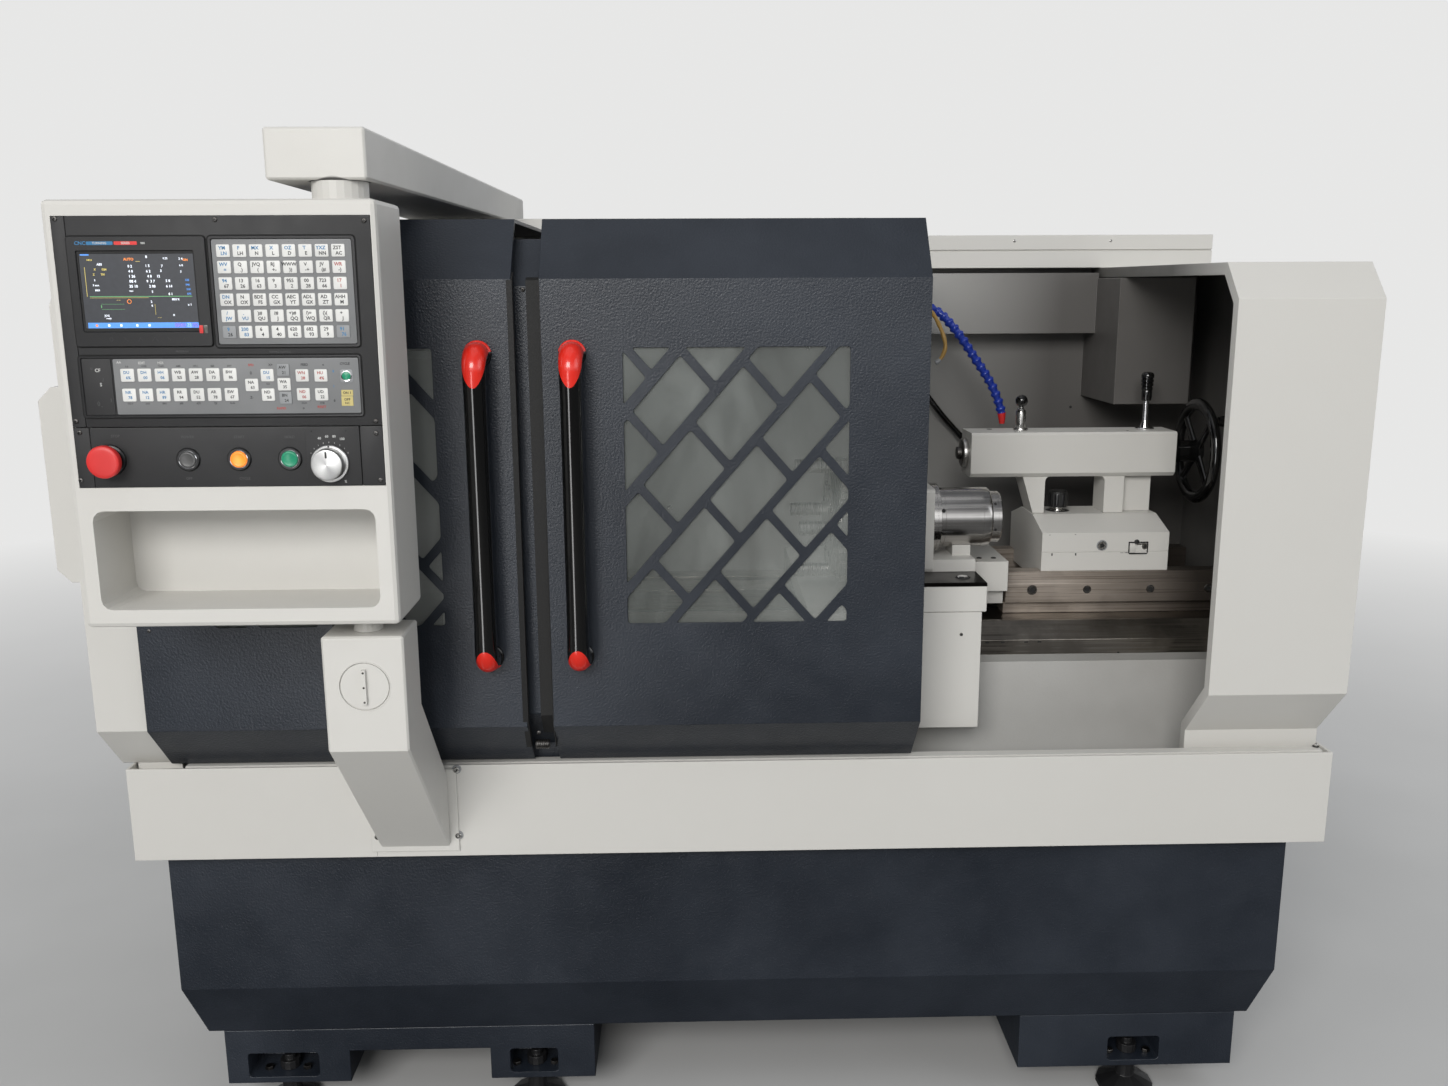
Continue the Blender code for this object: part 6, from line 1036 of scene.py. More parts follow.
# Door handles.
def handle_finish():
    """Gloss black tube whose ends wear red caps over the outside of the bend."""
    made = gloss_black.copy()
    made.name = "handle_finish"
    where = add_node(made, "ShaderNodeTexCoord")
    split = add_node(made, "ShaderNodeSeparateXYZ")
    wire(made, where.outputs["Object"], split.inputs["Vector"])
    back = maths(made, "SUBTRACT", split.outputs["Y"], -0.0568 + SHIFT.y)
    level = split.outputs["Z"]
    rise = maths(made, "EXPONENT", maths(made, "DIVIDE", back, -0.017), 0.0)
    top_edge = maths(made, "SUBTRACT", 1.343 + 0.053, maths(made, "MULTIPLY", rise, 0.053))
    fall = maths(made, "EXPONENT", maths(made, "DIVIDE", back, -0.022), 0.0)
    low_edge = maths(made, "ADD", 0.933 - 0.040, maths(made, "MULTIPLY", fall, 0.040))
    top = spread(made, maths(made, "SUBTRACT", level, top_edge), -0.0003, 0.0003)
    low = spread(made, maths(made, "SUBTRACT", low_edge, level), -0.0003, 0.0003)
    share = maths(made, "MAXIMUM", top, low)
    set_colour(made, mix_colours(made, share, (0.004, 0.004, 0.004), (0.78, 0.022, 0.010)))
    set_roughness(made, spread(made, share, 0.0, 1.0, 0.13, 0.30))
    return made


def door_handle(name, x, body, node, finish):
    top, low, out, bend = 1.3895, 0.9100, -0.040, 0.0235
    route = [(x, -0.0003, top), (x, -0.006, top), (x, -0.012, top)]
    radii = [0.0196, 0.0192, 0.0190]
    steps = 14
    for step in range(steps + 1):
        turn = math.pi / 2 * step / steps
        route.append((x, out + bend - bend * math.sin(turn), top - bend + bend * math.cos(turn)))
        radii.append(0.0190 - 0.0014 * step / steps)
    for step in range(1, 9):
        route.append((x, out, top - bend - 0.005 * step))
        radii.append(0.0176 - 0.0008 * step / 8)
    middle = len(route)
    for spot in list(route):
        route.append((spot[0], spot[1], top + low - spot[2]))
    route[middle:] = reversed(route[middle:])
    radii += list(reversed(radii))
    bm = bmesh.new()
    tube(bm, route, radii, 40)
    for z in (top, low):
        lathe(bm, [(-0.0003, 0.0215), (-0.003, 0.0215), (-0.0046, 0.0200)], "Y", (x, z), 40)
    finish_piece(name, bm, [finish], body, 50.0, replaces=(node,))


# Control panel.
groove_black = plastic("groove_black", (0.0015, 0.0015, 0.0015), 0.8)


def key(bm, x, z, width, height, mat, back=-0.2248, front=KEY_FRONT_Y, radius=0.0016):
    plate(
        bm, x - width / 2, x + width / 2, z - height / 2, z + height / 2, back, front, radius, 0.0004, mat,
        steps=3
    )


def panel_plates():
    """Upper plate and button strip, each with its seams, and the raised frames of the three units."""
    bm = bmesh.new()
    back, face = -0.2174, PANEL_Y
    plate(bm, 0.1144, 0.1322, 1.3068, 1.5835, back, face, 0.002, 0.0008)
    plate(bm, 0.1327, 0.5297, 1.3068, 1.5835, back, face, 0.002, 0.0008)
    plate(bm, 0.1144, 0.1356, 1.2240, 1.3058, back, face, 0.002, 0.0008)
    plate(bm, 0.1361, 0.4986, 1.2240, 1.3058, back, face, 0.002, 0.0008)
    plate(bm, 0.4991, 0.5297, 1.2240, 1.3058, back, face, 0.002, 0.0008)
    plate(bm, 0.4252, 0.4981, 1.2248, 1.3050, face + 0.0001, face - 0.0008, 0.001, 0.0003)
    frame_plate(
        bm, (0.3160, 0.5082, 1.4122, 1.5578), (0.3200, 0.5042, 1.4162, 1.5538), face, -0.2258, 0.005, 0.003,
        mat=1
    )
    frame_plate(
        bm, (0.1318, 0.5068, 1.3193, 1.4024), (0.1350, 0.5036, 1.3225, 1.3992), face, -0.2256, 0.004, 0.002,
        mat=1
    )
    plate(bm, 0.1356, 0.1742, 1.3232, 1.3985, face, -0.2250, 0.002, 0.0004)
    for left, right, low, high in (
        (0.1310, 0.3142, 1.4128, 1.5592), (0.3145, 0.5097, 1.4107, 1.5593), (0.1303, 0.5083, 1.3178, 1.4039)
    ):
        frame_plate(
            bm, (left, right, low, high), (left + 0.0020, right - 0.0020, low + 0.0020, high - 0.0020),
            face, -0.22425, 0.006, 0.005, 0.0001, 5
        )
    plate(bm, 0.3205, 0.5037, 1.4167, 1.5533, face, KEYPAD_FACE_Y, 0.003, 0.0003, 2)
    plate(bm, 0.1768, 0.5031, 1.3238, 1.3979, face, KEYPAD_FACE_Y, 0.002, 0.0003, 2)
    for x, z in (
        (0.1205, 1.5801), (0.3278, 1.5786), (0.5223, 1.5766), (0.1197, 1.3152), (0.5218, 1.3122),
        (0.1227, 1.2997), (0.5208, 1.2960), (0.1177, 1.2346), (0.5231, 1.2316),
    ):
        cross_screw(bm, x, z, face, 0.0034, 3, 1)
    for x, z in ((0.4335, 1.2995), (0.4800, 1.3000)):
        cross_screw(bm, x, z, face - 0.0008, 0.0012, 1, 1)
    for x, radius in ((0.2653, 0.0154), (0.3341, 0.0154), (0.4027, 0.0154)):
        torus_like(bm, [
            (face, 0.0124), (face, radius + 0.0008), (face - 0.0016, radius + 0.0006),
            (face - 0.0030, radius - 0.0008),
            (face - 0.0030, 0.0124),
        ], "Y", (x, BUTTON_ROW_Z), 48, 1)
        torus_like(bm, [
            (face, 0.0113), (face, 0.0125), (face - 0.0038, 0.0125), (face - 0.0044, 0.0120),
            (face - 0.0040, 0.0113),
        ], "Y", (x, BUTTON_ROW_Z), 48, 4)
    torus_like(bm, [
        (face, 0.0122), (face, 0.0215), (face - 0.0022, 0.0208), (face - 0.0034, 0.0190),
        (face - 0.0034, 0.0122),
    ], "Y", (0.1604, BUTTON_ROW_Z), 48, 1)
    finish_piece(
        "panel_plates", bm, [panel_black, frame_black, plate_grey, dark_steel, chrome, groove_black],
        "pendant_body",
        replaces=("control_panel",),
    )


def screen_unit():
    bm = bmesh.new()
    face = PANEL_Y
    frame_plate(
        bm, (0.1325, 0.3127, 1.4143, 1.5577), (0.1440, 0.2968, 1.4340, 1.5388), face, -0.2268, 0.004, 0.002,
        0.0007
    )
    frame_plate(
        bm, (0.1440, 0.2968, 1.4340, 1.5388), (0.1468, 0.2955, 1.4385, 1.5352), face, -0.2252, 0.002,
        0.0006, 0.0004, 1
    )
    plate(bm, 0.1460, 0.2962, 1.4378, 1.5360, face, SCREEN_Y, mat=2)
    letters(bm, "CNC", 0.1510, 1.5487, 0.0048, BADGE_PRINT_Y, 3)
    for left, right, mat in ((0.1590, 0.1935, 3), (0.1950, 0.2250, 4)):
        plate(bm, left, right, 1.5465, 1.5510, -0.2267, -0.2269, 0.0010, mat=mat, steps=2)
    letters(bm, "TURNING", 0.1762, 1.5487, 0.0030, BADGE_BLOCK_PRINT_Y, 5)
    letters(bm, "SERIES", 0.2100, 1.5487, 0.0030, BADGE_BLOCK_PRINT_Y, 5)
    letters(bm, "980", 0.2325, 1.5485, 0.0028, BADGE_PRINT_Y, 5)
    for index in range(6):
        screen_mark(bm, index, 0.1795 + 0.0192 * index, 1.4242)
    plate(bm, 0.2965, 0.3016, 1.4316, 1.4420, -0.2262, -0.2275, 0.0006, 0.0003, 4, steps=2)
    plate(bm, 0.3018, 0.3078, 1.4312, 1.4422, -0.2262, -0.2272, 0.0006, 0.0003, 7, steps=2)
    finish_piece(
        "screen_unit", bm,
        [frame_black, rubber, screen_base, ink["blue"], stop_red, ink["white"], ink["engraved"],
            dark_steel],
        "pendant_body",
    )


def screen_mark(bm, index, x, z):
    """Small line symbols under the display."""
    strokes = (
        ((-1, 0, 0, 1), (0, 1, 1, 0), (1, 0, 0, -1), (0, -1, -1, 0)), ((-1, 1, 1, -1),),
        ((-1, -1, 0, 1), (0, 1, 1, -1)), ((-1.4, -1, 0, 1), (0, 1, 1.4, -1)),
        ((-1, 0.8, 0.6, -0.6),), ((-0.8, -0.8, 0, 0.6), (0, 0.6, 0.8, -0.8)),
    )[index]
    for x0, z0, x1, z1 in strokes:
        start = Vector((x + x0 * 0.0028, SCREEN_MARK_Y, z + z0 * 0.0028))
        end = Vector((x + x1 * 0.0028, SCREEN_MARK_Y, z + z1 * 0.0028))
        tube(bm, [start, end], 0.00022, 6, 6)


SCREEN_ROWS = (
    (0.1600, 1.5272, 0.0022, "yellow", "N010"), (0.1725, 1.5215, 0.0030, "white", "ABS"),
    (0.1660, 1.5150, 0.0026, "yellow", "X"), (0.1780, 1.5150, 0.0026, "yellow", "G54"),
    (0.1640, 1.5085, 0.0026, "yellow", "Z"), (0.1760, 1.5085, 0.0026, "yellow", "T01"),
    (0.1655, 1.5010, 0.0026, "white", "S  "), (0.1655, 1.4945, 0.0026, "white", "F mm"),
    (0.1670, 1.4880, 0.0026, "white", "M03"),
    (0.2110, 1.5280, 0.0034, "orange", "AUTO"), (0.2120, 1.5190, 0.0034, "white", "0 2"),
    (0.2125, 1.5125, 0.0034, "white", "4 0"), (0.2135, 1.5060, 0.0036, "white", "1 26"),
    (0.2140, 1.4995, 0.0036, "white", "08 4"), (0.2145, 1.4930, 0.0036, "white", "35 10"),
    (0.2110, 1.4872, 0.0024, "white", "mm"), (0.2230, 1.5255, 0.0022, "yellow", "------"),
    (0.2345, 1.5310, 0.0034, "white", "8"), (0.2350, 1.5195, 0.0034, "white", "1 5"),
    (0.2355, 1.5125, 0.0034, "white", "6 2"), (0.2365, 1.5060, 0.0034, "white", "4 8"),
    (0.2375, 1.4995, 0.0034, "white", "9  3 7"), (0.2390, 1.4930, 0.0034, "white", "2 08"),
    (0.2385, 1.4860, 0.0030, "white", "5"), (0.2480, 1.5060, 0.0034, "white", "12"),
    (0.2520, 1.5130, 0.0034, "white", "3"), (0.2545, 1.5190, 0.0034, "white", "7 "),
    (0.2590, 1.5290, 0.0026, "white", "0.25"), (0.2600, 1.5000, 0.0034, "white", "5 8"),
    (0.2610, 1.4930, 0.0034, "white", "6 14"), (0.2620, 1.4830, 0.0034, "white", "4 1"),
    (0.2680, 1.4760, 0.0026, "white", "M30 %"), (0.2790, 1.5285, 0.0030, "white", "2 4"),
    (0.2850, 1.5270, 0.0030, "orange", "ON"), (0.2790, 1.5200, 0.0028, "white", "6 0"),
    (0.2780, 1.5120, 0.0028, "white", "3"), (0.2850, 1.5010, 0.0026, "blue", "128"),
    (0.2855, 1.4950, 0.0026, "blue", "046"), (0.2860, 1.4890, 0.0026, "blue", "310"),
    (0.2865, 1.4830, 0.0026, "blue", "075"), (0.2860, 1.4690, 0.0030, "white", "x 1"),
    (0.1930, 1.4755, 0.0022, "yellow", "-- --"), (0.2360, 1.4730, 0.0030, "white", "2"),
    (0.2365, 1.4680, 0.0030, "white", "6"), (0.1700, 1.4670, 0.0040, "green", "i"),
    (0.1760, 1.4550, 0.0026, "white", "JOG"), (0.1780, 1.4515, 0.0022, "white", "ready"),
    (0.2450, 1.4530, 0.0022, "yellow", "... ..."), (0.2640, 1.4560, 0.0034, "white", "o"),
)


def screen_content():
    bm = bmesh.new()
    slots = list(SCREEN)
    y = -0.22475
    for x, z, height, tone, text in SCREEN_ROWS:
        letters(bm, text, x, z, height, y, slots.index(tone))
    flat = ((0.1560, 0.2900, 1.4798, 1.4803, "green"), (0.1560, 0.2330, 1.4782, 1.4785, "yellow"),
            (0.1500, 0.2955, 1.4388, 1.4460, "blue"), (0.2640, 0.2785, 1.4396, 1.4452, "pink"),
            (0.2800, 0.2860, 1.4396, 1.4452, "white"), (0.2870, 0.2945, 1.4396, 1.4452, "pink"),
            (0.1486, 0.1600, 1.5330, 1.5348, "blue"), (0.1525, 0.1530, 1.4800, 1.5180, "yellow"),
            (0.1700, 0.2000, 1.4632, 1.4634, "green"), (0.1700, 0.2000, 1.4700, 1.4702, "green"),
            (0.2400, 0.2403, 1.4560, 1.4700, "yellow"))
    for left, right, low, high, tone in flat:
        plate(bm, left, right, low, high, SCREEN_Y, y, mat=slots.index(tone))
    for x in (0.1600, 0.1760, 0.1920, 0.2130, 0.2290):
        plate(
            bm, x, x + 0.0028, 1.4408, 1.4438, y, y - 0.00006,
            mat=slots.index("white" if x > 0.17 else "orange")
        )
    torus_like(
        bm, [(y, 0.0022), (y, 0.0029), (y - 0.00008, 0.0029), (y - 0.00008, 0.0022)], "Y", (0.2070, 1.4735),
        20, slots.index("orange")
    )
    finish_piece("screen_content", bm, list(SCREEN.values()), "pendant_body")


KEY_TOPS = (
    "OXYZGFMST", "PQRUVWIJK", "7894561230", "LNDHEABC", "+-=/.#()", "0123456789",
)


def keypad():
    bm = bmesh.new()
    dice = random.Random(7)
    top, face = KEY_LEGEND_Y, KEYPAD_FACE_Y
    for row in range(6):
        for column in range(8):
            x = 0.3356 + 0.02151 * column
            z = 1.5385 - 0.02114 * row
            grey = row == 5 and column in (0, 7)
            key(bm, x, z, 0.0176, 0.0163, 1 if grey else 0, face, KEY_FRONT_Y)
            tone = 2
            edge_key = row == 0 and column < 7 or column == 0
            if edge_key or row == 4 and column == 1 or row == 5 and column in (1, 7):
                tone = 3
            if column == 7 and row in (1, 2):
                tone = 4
            upper = "".join(dice.choice(KEY_TOPS[row]) for _ in range(dice.choice((1, 2, 3))))
            lower = "".join(dice.choice(KEY_TOPS[(row + 3) % 6]) for _ in range(dice.choice((1, 2, 2))))
            letters(bm, upper, x - 0.0010, z + 0.0034, 0.0046, top, tone)
            letters(bm, lower, x + 0.0010, z - 0.0036, 0.0046, top, 2 if dice.random() < 0.6 else tone)
            if column < 7 and row == 0:
                plate(bm, x - 0.0004, x + 0.0004, 1.5498, 1.5502, face, face - 0.0001, mat=2)
    finish_piece("keypad", bm, [key_white, key_grey, ink["grey"], ink["blue"], ink["red"]], "pendant_body")


def mode_keys():
    bm = bmesh.new()
    dice = random.Random(21)
    top, face = KEY_LEGEND_Y, KEYPAD_FACE_Y
    spots = [(0.1952 + 0.02268 * column, z, 0.0180, 0) for z in (1.3765, 1.3500) for column in range(7)]
    spots += [(x, z, 0.0172, 0) for x, z in (
        (0.3594, 1.3625), (0.3809, 1.3754), (0.3803, 1.3493), (0.4025, 1.3631),
        (0.4274, 1.3748), (0.4273, 1.3495), (0.4523, 1.3746), (0.4517, 1.3493),
    )]
    spots += [(0.4025, 1.3822, 0.0165, 1), (0.4033, 1.3448, 0.0165, 1)]
    for index, (x, z, size, mat) in enumerate(spots):
        key(bm, x, z, size, size * 0.96, mat, face, KEY_FRONT_Y)
        tone = 3 if index in (0, 1, 2, 7, 8, 9, 15) else 4 if index in (18, 19, 20) else 2
        letters(
            bm, "".join(dice.choice("ABDHNRUW") for _ in range(2)), x - 0.001, z + 0.0034, 0.0040, top, tone
        )
        letters(
            bm, "".join(dice.choice("0123456789%") for _ in range(2)), x + 0.001, z - 0.0036, 0.0040, top,
            tone
        )
        if index < 14 or mat == 0 and index % 2:
            above_it = 0.0116 if index < 7 else -0.0118
            letters(
                bm, "".join(dice.choice("AEIJLOT-") for _ in range(4)), x, z + above_it, 0.0022,
                face - 0.0001, 2
            )
    for x, z, text, tone in (
        (0.3598, 1.3889, "SPD", 4), (0.3590, 1.3788, "()", 2), (0.3577, 1.3456, "Z-", 2),
        (0.3963, 1.3307, "RAPID", 4),
        (0.4260, 1.3310, "o", 2), (0.4505, 1.3322, "RESET", 4), (0.3860, 1.3890, "X+", 2),
        (0.4310, 1.3890, "FEED", 2),
        (0.4560, 1.3890, "o", 2), (0.4690, 1.3800, "II", 3), (0.4685, 1.3600, "I", 3),
        (0.4682, 1.3405, "0", 2),
        (0.4850, 1.3900, "CYCLE", 2), (0.1850, 1.3935, "AA", 5), (0.2150, 1.3925, "EDIT", 5),
        (0.2400, 1.3925, "MDI", 5),
    ):
        letters(bm, text, x, z, 0.0032, face - 0.0001, tone)
    key(bm, 0.4858, 1.3510, 0.0158, 0.0080, 6, face, -0.2254, 0.0004)
    key(bm, 0.4854, 1.3400, 0.0158, 0.0130, 6, face, -0.2254, 0.0004)
    letters(bm, "ON 1", 0.4858, 1.3510, 0.0034, SWITCH_LEGEND_Y, 2)
    letters(bm, "OFF", 0.4854, 1.3420, 0.0034, SWITCH_LEGEND_Y, 2)
    letters(bm, "NC", 0.4854, 1.3372, 0.0030, SWITCH_LEGEND_Y, 2)
    key(bm, 0.4864, 1.3738, 0.0172, 0.0172, 1, face, -0.2256, 0.003)
    torus_like(
        bm, [(face, 0.0056), (face, 0.0074), (-0.2268, 0.0072), (-0.2270, 0.0058)], "Y", (0.4864, 1.3738),
        32, 7
    )
    lathe(
        bm, [(face, 0.0057), (-0.2266, 0.0057), (-0.2270, 0.0050), (-0.2272, 0.0)], "Y", (0.4864, 1.3738),
        32, 8
    )
    finish_piece(
        "mode_keys", bm,
        [key_white, key_grey, ink["grey"], ink["blue"], ink["red"], ink["white"], yellow_label, chrome,
            button_green],
        "pendant_body",
    )


def panel_legends():
    bm = bmesh.new()
    y = PANEL_Y - 0.0001
    for x, z, text in (
        (0.1700, 1.2945, "STOP"), (0.2667, 1.2925, "POWER"), (0.3359, 1.2921, "START"),
        (0.4039, 1.2916, "HOLD"),
        (0.2640, 1.2358, "OFF"), (0.3391, 1.2352, "CYCLE"),
    ):
        letters(bm, text, x, z, 0.0036, y, 0)
    for x, z, text in (
        (0.4440, 1.2895, "40"), (0.4540, 1.2920, "60"), (0.4640, 1.2920, "80"), (0.4745, 1.2885, "100")
    ):
        letters(bm, text, x, z, 0.0034, y - 0.0008, 1)
    for step in range(9):
        turn = math.radians(150 - 15 * step)
        x, z = 0.4565 + 0.0290 * math.cos(turn), 1.2550 + 0.0290 * math.sin(turn)
        plate(bm, x - 0.0003, x + 0.0003, z - 0.0009, z + 0.0009, y - 0.0007, y - 0.0009, mat=1)
    letters(bm, "%", 0.4760, 1.2300, 0.0034, y - 0.0008, 1)
    for x, z, text, tone in (
        (0.1480, 1.3860, "u", 0), (0.1560, 1.3830, "CF", 1), (0.1585, 1.3640, "S", 1),
        (0.1620, 1.3700, "/", 0),
        (0.1530, 1.3390, "()", 0), (0.1570, 1.3350, "-", 0), (0.1700, 1.3430, "I", 0),
    ):
        letters(bm, text, x, z, 0.0046, -0.22512, tone)
    letters(bm, "PROGRAM", 0.2700, 1.4075, 0.0026, y, 0)
    letters(bm, "MACHINE CONTROL", 0.4000, 1.4062, 0.0022, y, 0)
    finish_piece("panel_legends", bm, [ink["engraved"], ink["white"]], "pendant_body")


def stop_button():
    bm = bmesh.new()
    lathe(bm, [
        (-0.2235, 0.0), (-0.2235, 0.0108), (-0.2375, 0.0108), (-0.2378, 0.0195), (-0.2386, 0.0213),
        (-0.2402, 0.0222),
        (-0.2462, 0.0222), (-0.2482, 0.0214), (-0.2493, 0.0196), (-0.2498, 0.0165), (-0.2499, 0.0100),
        (-0.2500, 0.0),
    ], "Y", (0.1604, BUTTON_ROW_Z), 64, [1, 1, 1, 0, 0, 0, 0, 0, 0, 0, 0])
    finish_piece(
        "stop_mushroom", bm, [stop_red, frame_black], "estop_body", replaces=("estop_button",),
    )


def push_button(name, x, body, node, made):
    bm = bmesh.new()
    lathe(bm, [
        (-0.2216, 0.0), (-0.2216, 0.0109), (-0.2282, 0.0109), (-0.2290, 0.0101), (-0.2293, 0.0085),
        (-0.2288, 0.0070),
        (-0.2286, 0.0),
    ], "Y", (x, BUTTON_ROW_Z), 48, 0)
    finish_piece(name, bm, [made], body, 25.0, replaces=(node,))


def dial_knob():
    bm = bmesh.new()
    centre = (0.4565, 1.2550)
    lathe(bm, [
        (-0.2182, 0.0), (-0.2182, 0.0060), (-0.2250, 0.0060), (-0.2250, 0.0250), (-0.2258, 0.0256),
        (-0.2280, 0.0256),
        (-0.2288, 0.0248), (-0.2290, 0.0220), (-0.2296, 0.0214), (-0.2420, 0.0213), (-0.2434, 0.0206),
        (-0.2440, 0.0190),
        (-0.2440, 0.0),
    ], "Y", centre, 72)
    tip = (centre[0], centre[1])
    plate(
        bm, tip[0] - 0.0014, tip[0] + 0.0014, tip[1] + 0.0095, tip[1] + 0.0186, -0.2439, -0.2443, 0.0012,
        0.0001, 1, steps=3
    )
    plate(
        bm, tip[0] - 0.0012, tip[0] + 0.0012, tip[1] + 0.0222, tip[1] + 0.0250, -0.2288, -0.2292, 0.0004,
        mat=1, steps=2
    )
    finish_piece(
        "dial_knob", bm, [knob_metal, frame_black], "knob_body", 40.0, replaces=("override_knob",),
    )


# Tailstock and turret.
AXIS = (0.470, 1.170)


def part_box(node):
    low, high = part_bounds(node)
    return low - SHIFT, high - SHIFT


def tailstock_quill():
    bm = bmesh.new()
    lathe(bm, [
        (1.4640, 0.0), (1.4640, 0.0088), (1.4652, 0.0116), (1.4690, 0.0120), (1.4730, 0.0120),
        (1.4732, 0.0150),
        (1.4736, 0.0258), (1.4748, 0.0280), (1.4760, 0.0285), (1.4800, 0.0285), (1.4803, 0.0277),
        (1.4812, 0.0277),
        (1.4815, 0.0285), (1.4832, 0.0283), (1.4836, 0.0244), (1.7790, 0.0244), (1.7800, 0.0236),
        (1.7800, 0.0),
    ], "X", AXIS, 64, [1, 1, 1, 1, 1, 1] + [0] * 11)
    finish_piece(
        "quill_with_nose", bm, [turned_steel, dark_steel], "quill_body", replaces=("quill",),
    )


def quill_lever():
    bm = bmesh.new()
    low, high = part_box("quill_clamp_lever")
    z, top = low.z, high.z
    ball = top - 0.0118
    lathe(bm, [
        (z, 0.0), (z, 0.0138), (z + 0.0030, 0.0140), (z + 0.0044, 0.0132), (z + 0.0050, 0.0100),
        (z + 0.0056, 0.0095),
        (z + 0.0330, 0.0095), (z + 0.0352, 0.0090), (z + 0.0400, 0.0074), (z + 0.0420, 0.0058),
        (z + 0.0428, 0.0040),
        (ball - 0.0100, 0.0040),
    ], "Z", (1.588, BARREL_Y), 40, 0)
    turns = [math.radians(-62 + 152 * step / 14) for step in range(15)]
    lathe(
        bm,
        [(ball - 0.0112, 0.0046)]
        + [(ball + 0.0118 * math.sin(t), max(0.0118 * math.cos(t), 0.0)) for t in turns],
        "Z", (1.588, BARREL_Y), 40, 1,
    )
    finish_piece(
        "quill_lever", bm, [bright_steel, gloss_black], "quill_clamp_body", replaces=("quill_clamp_lever",)
    )


def tailstock_lever():
    bm = bmesh.new()
    low, high = part_box("tailstock_clamp_lever")
    z, top = low.z, high.z
    grip = top - 0.056
    lathe(bm, [
        (z, 0.0), (z, 0.0178), (z + 0.0022, 0.0180), (z + 0.0034, 0.0168), (z + 0.0040, 0.0096),
        (z + 0.0100, 0.0078),
        (z + 0.0150, 0.0060), (z + 0.0170, 0.0055), (grip + 0.0020, 0.0055),
    ], "Z", (1.831, BARREL_Y), 36, 0)
    rings = [
        (grip, 0.0), (grip, 0.0072), (grip + 0.0015, 0.0092), (grip + 0.0080, 0.0098),
        (grip + 0.0180, 0.0100), (grip + 0.0200, 0.0094), (grip + 0.0215, 0.0104),
    ]
    for step, radius in enumerate((0.0108, 0.0114, 0.0118)):
        base = grip + 0.0215 + 0.0072 * step
        rings += [
            (base + 0.0010, radius), (base + 0.0050, radius), (base + 0.0060, radius - 0.0014),
            (base + 0.0066, radius - 0.0014)
        ]
    dome = grip + 0.0440
    rings += [
        (dome, 0.0118), (dome + 0.0050, 0.0122), (dome + 0.0090, 0.0108), (dome + 0.0112, 0.0078),
        (top - 0.0002, 0.0040), (top, 0.0)
    ]
    lathe(bm, rings, "Z", (1.831, BARREL_Y), 36, 1)
    finish_piece(
        "tailstock_lever", bm, [chrome, gloss_black], "tailstock_clamp_body",
        replaces=("tailstock_clamp_lever",)
    )


def handwheel():
    """Cast wheel: round rim, four tapered spokes with rounded backs, turned hub and grip."""
    bm = bmesh.new()
    x, rim, half = 1.936, 0.0905, 0.0095
    section = []
    for step in range(16):
        turn = math.tau * step / 16
        section.append((x + half * math.cos(turn), rim + 0.0120 * math.sin(turn)))
    torus_like(bm, section, "X", AXIS, 72, 0)
    for index in range(4):
        turn = math.tau * (index + 0.5) / 4
        out = Vector((0.0, -math.sin(turn), math.cos(turn)))
        side = Vector((0.0, math.cos(turn), math.sin(turn)))
        centre = Vector((0.0, AXIS[0], AXIS[1]))
        rings = []
        for reach, wide, thick in (
            (0.014, 0.0112, 0.0074), (0.030, 0.0092, 0.0060), (0.060, 0.0080, 0.0052),
            (0.084, 0.0094, 0.0062)
        ):
            ring = []
            for step in range(12):
                angle = math.tau * step / 12
                spot = centre + out * reach + side * (wide * math.cos(angle)) + Vector(
                    (x + thick * math.sin(angle), 0.0, 0.0)
                )
                ring.append(bm.verts.new(spot))
            rings.append(ring)
        for first, second in zip(rings, rings[1:]):
            skin_rings(bm, first, second, 0)
        close_ring(bm, rings[0], 0)
        close_ring(bm, rings[-1], 0)
    lathe(bm, [
        (1.6400, 0.0), (1.6400, 0.0078), (1.8800, 0.0078), (1.8805, 0.0205), (1.8822, 0.0220),
        (1.9000, 0.0220),
        (1.9020, 0.0212), (1.9260, 0.0205), (1.9300, 0.0218), (1.9410, 0.0218), (1.9432, 0.0206),
        (1.9440, 0.0130),
        (1.9440, 0.0),
    ], "X", AXIS, 48, [1, 1] + [0] * 10)
    reach = (0.1025 + 0.0785) / 2 * math.sin(math.pi / 4)
    grip = (AXIS[0] - reach, AXIS[1] + reach)
    lathe(bm, [
        (x, 0.0), (x, 0.0060), (x + 0.0110, 0.0060), (x + 0.0120, 0.0085), (x + 0.0200, 0.0106),
        (x + 0.0380, 0.0110),
        (x + 0.0560, 0.0098), (x + 0.0625, 0.0080), (x + 0.0643, 0.0050), (x + 0.0645, 0.0),
    ], "X", grip, 32, [1, 1, 0, 0, 0, 0, 0, 0, 0])
    finish_piece(
        "handwheel", bm, [gloss_black, dark_steel], "handwheel_body", replaces=("tailstock_handwheel",),
    )


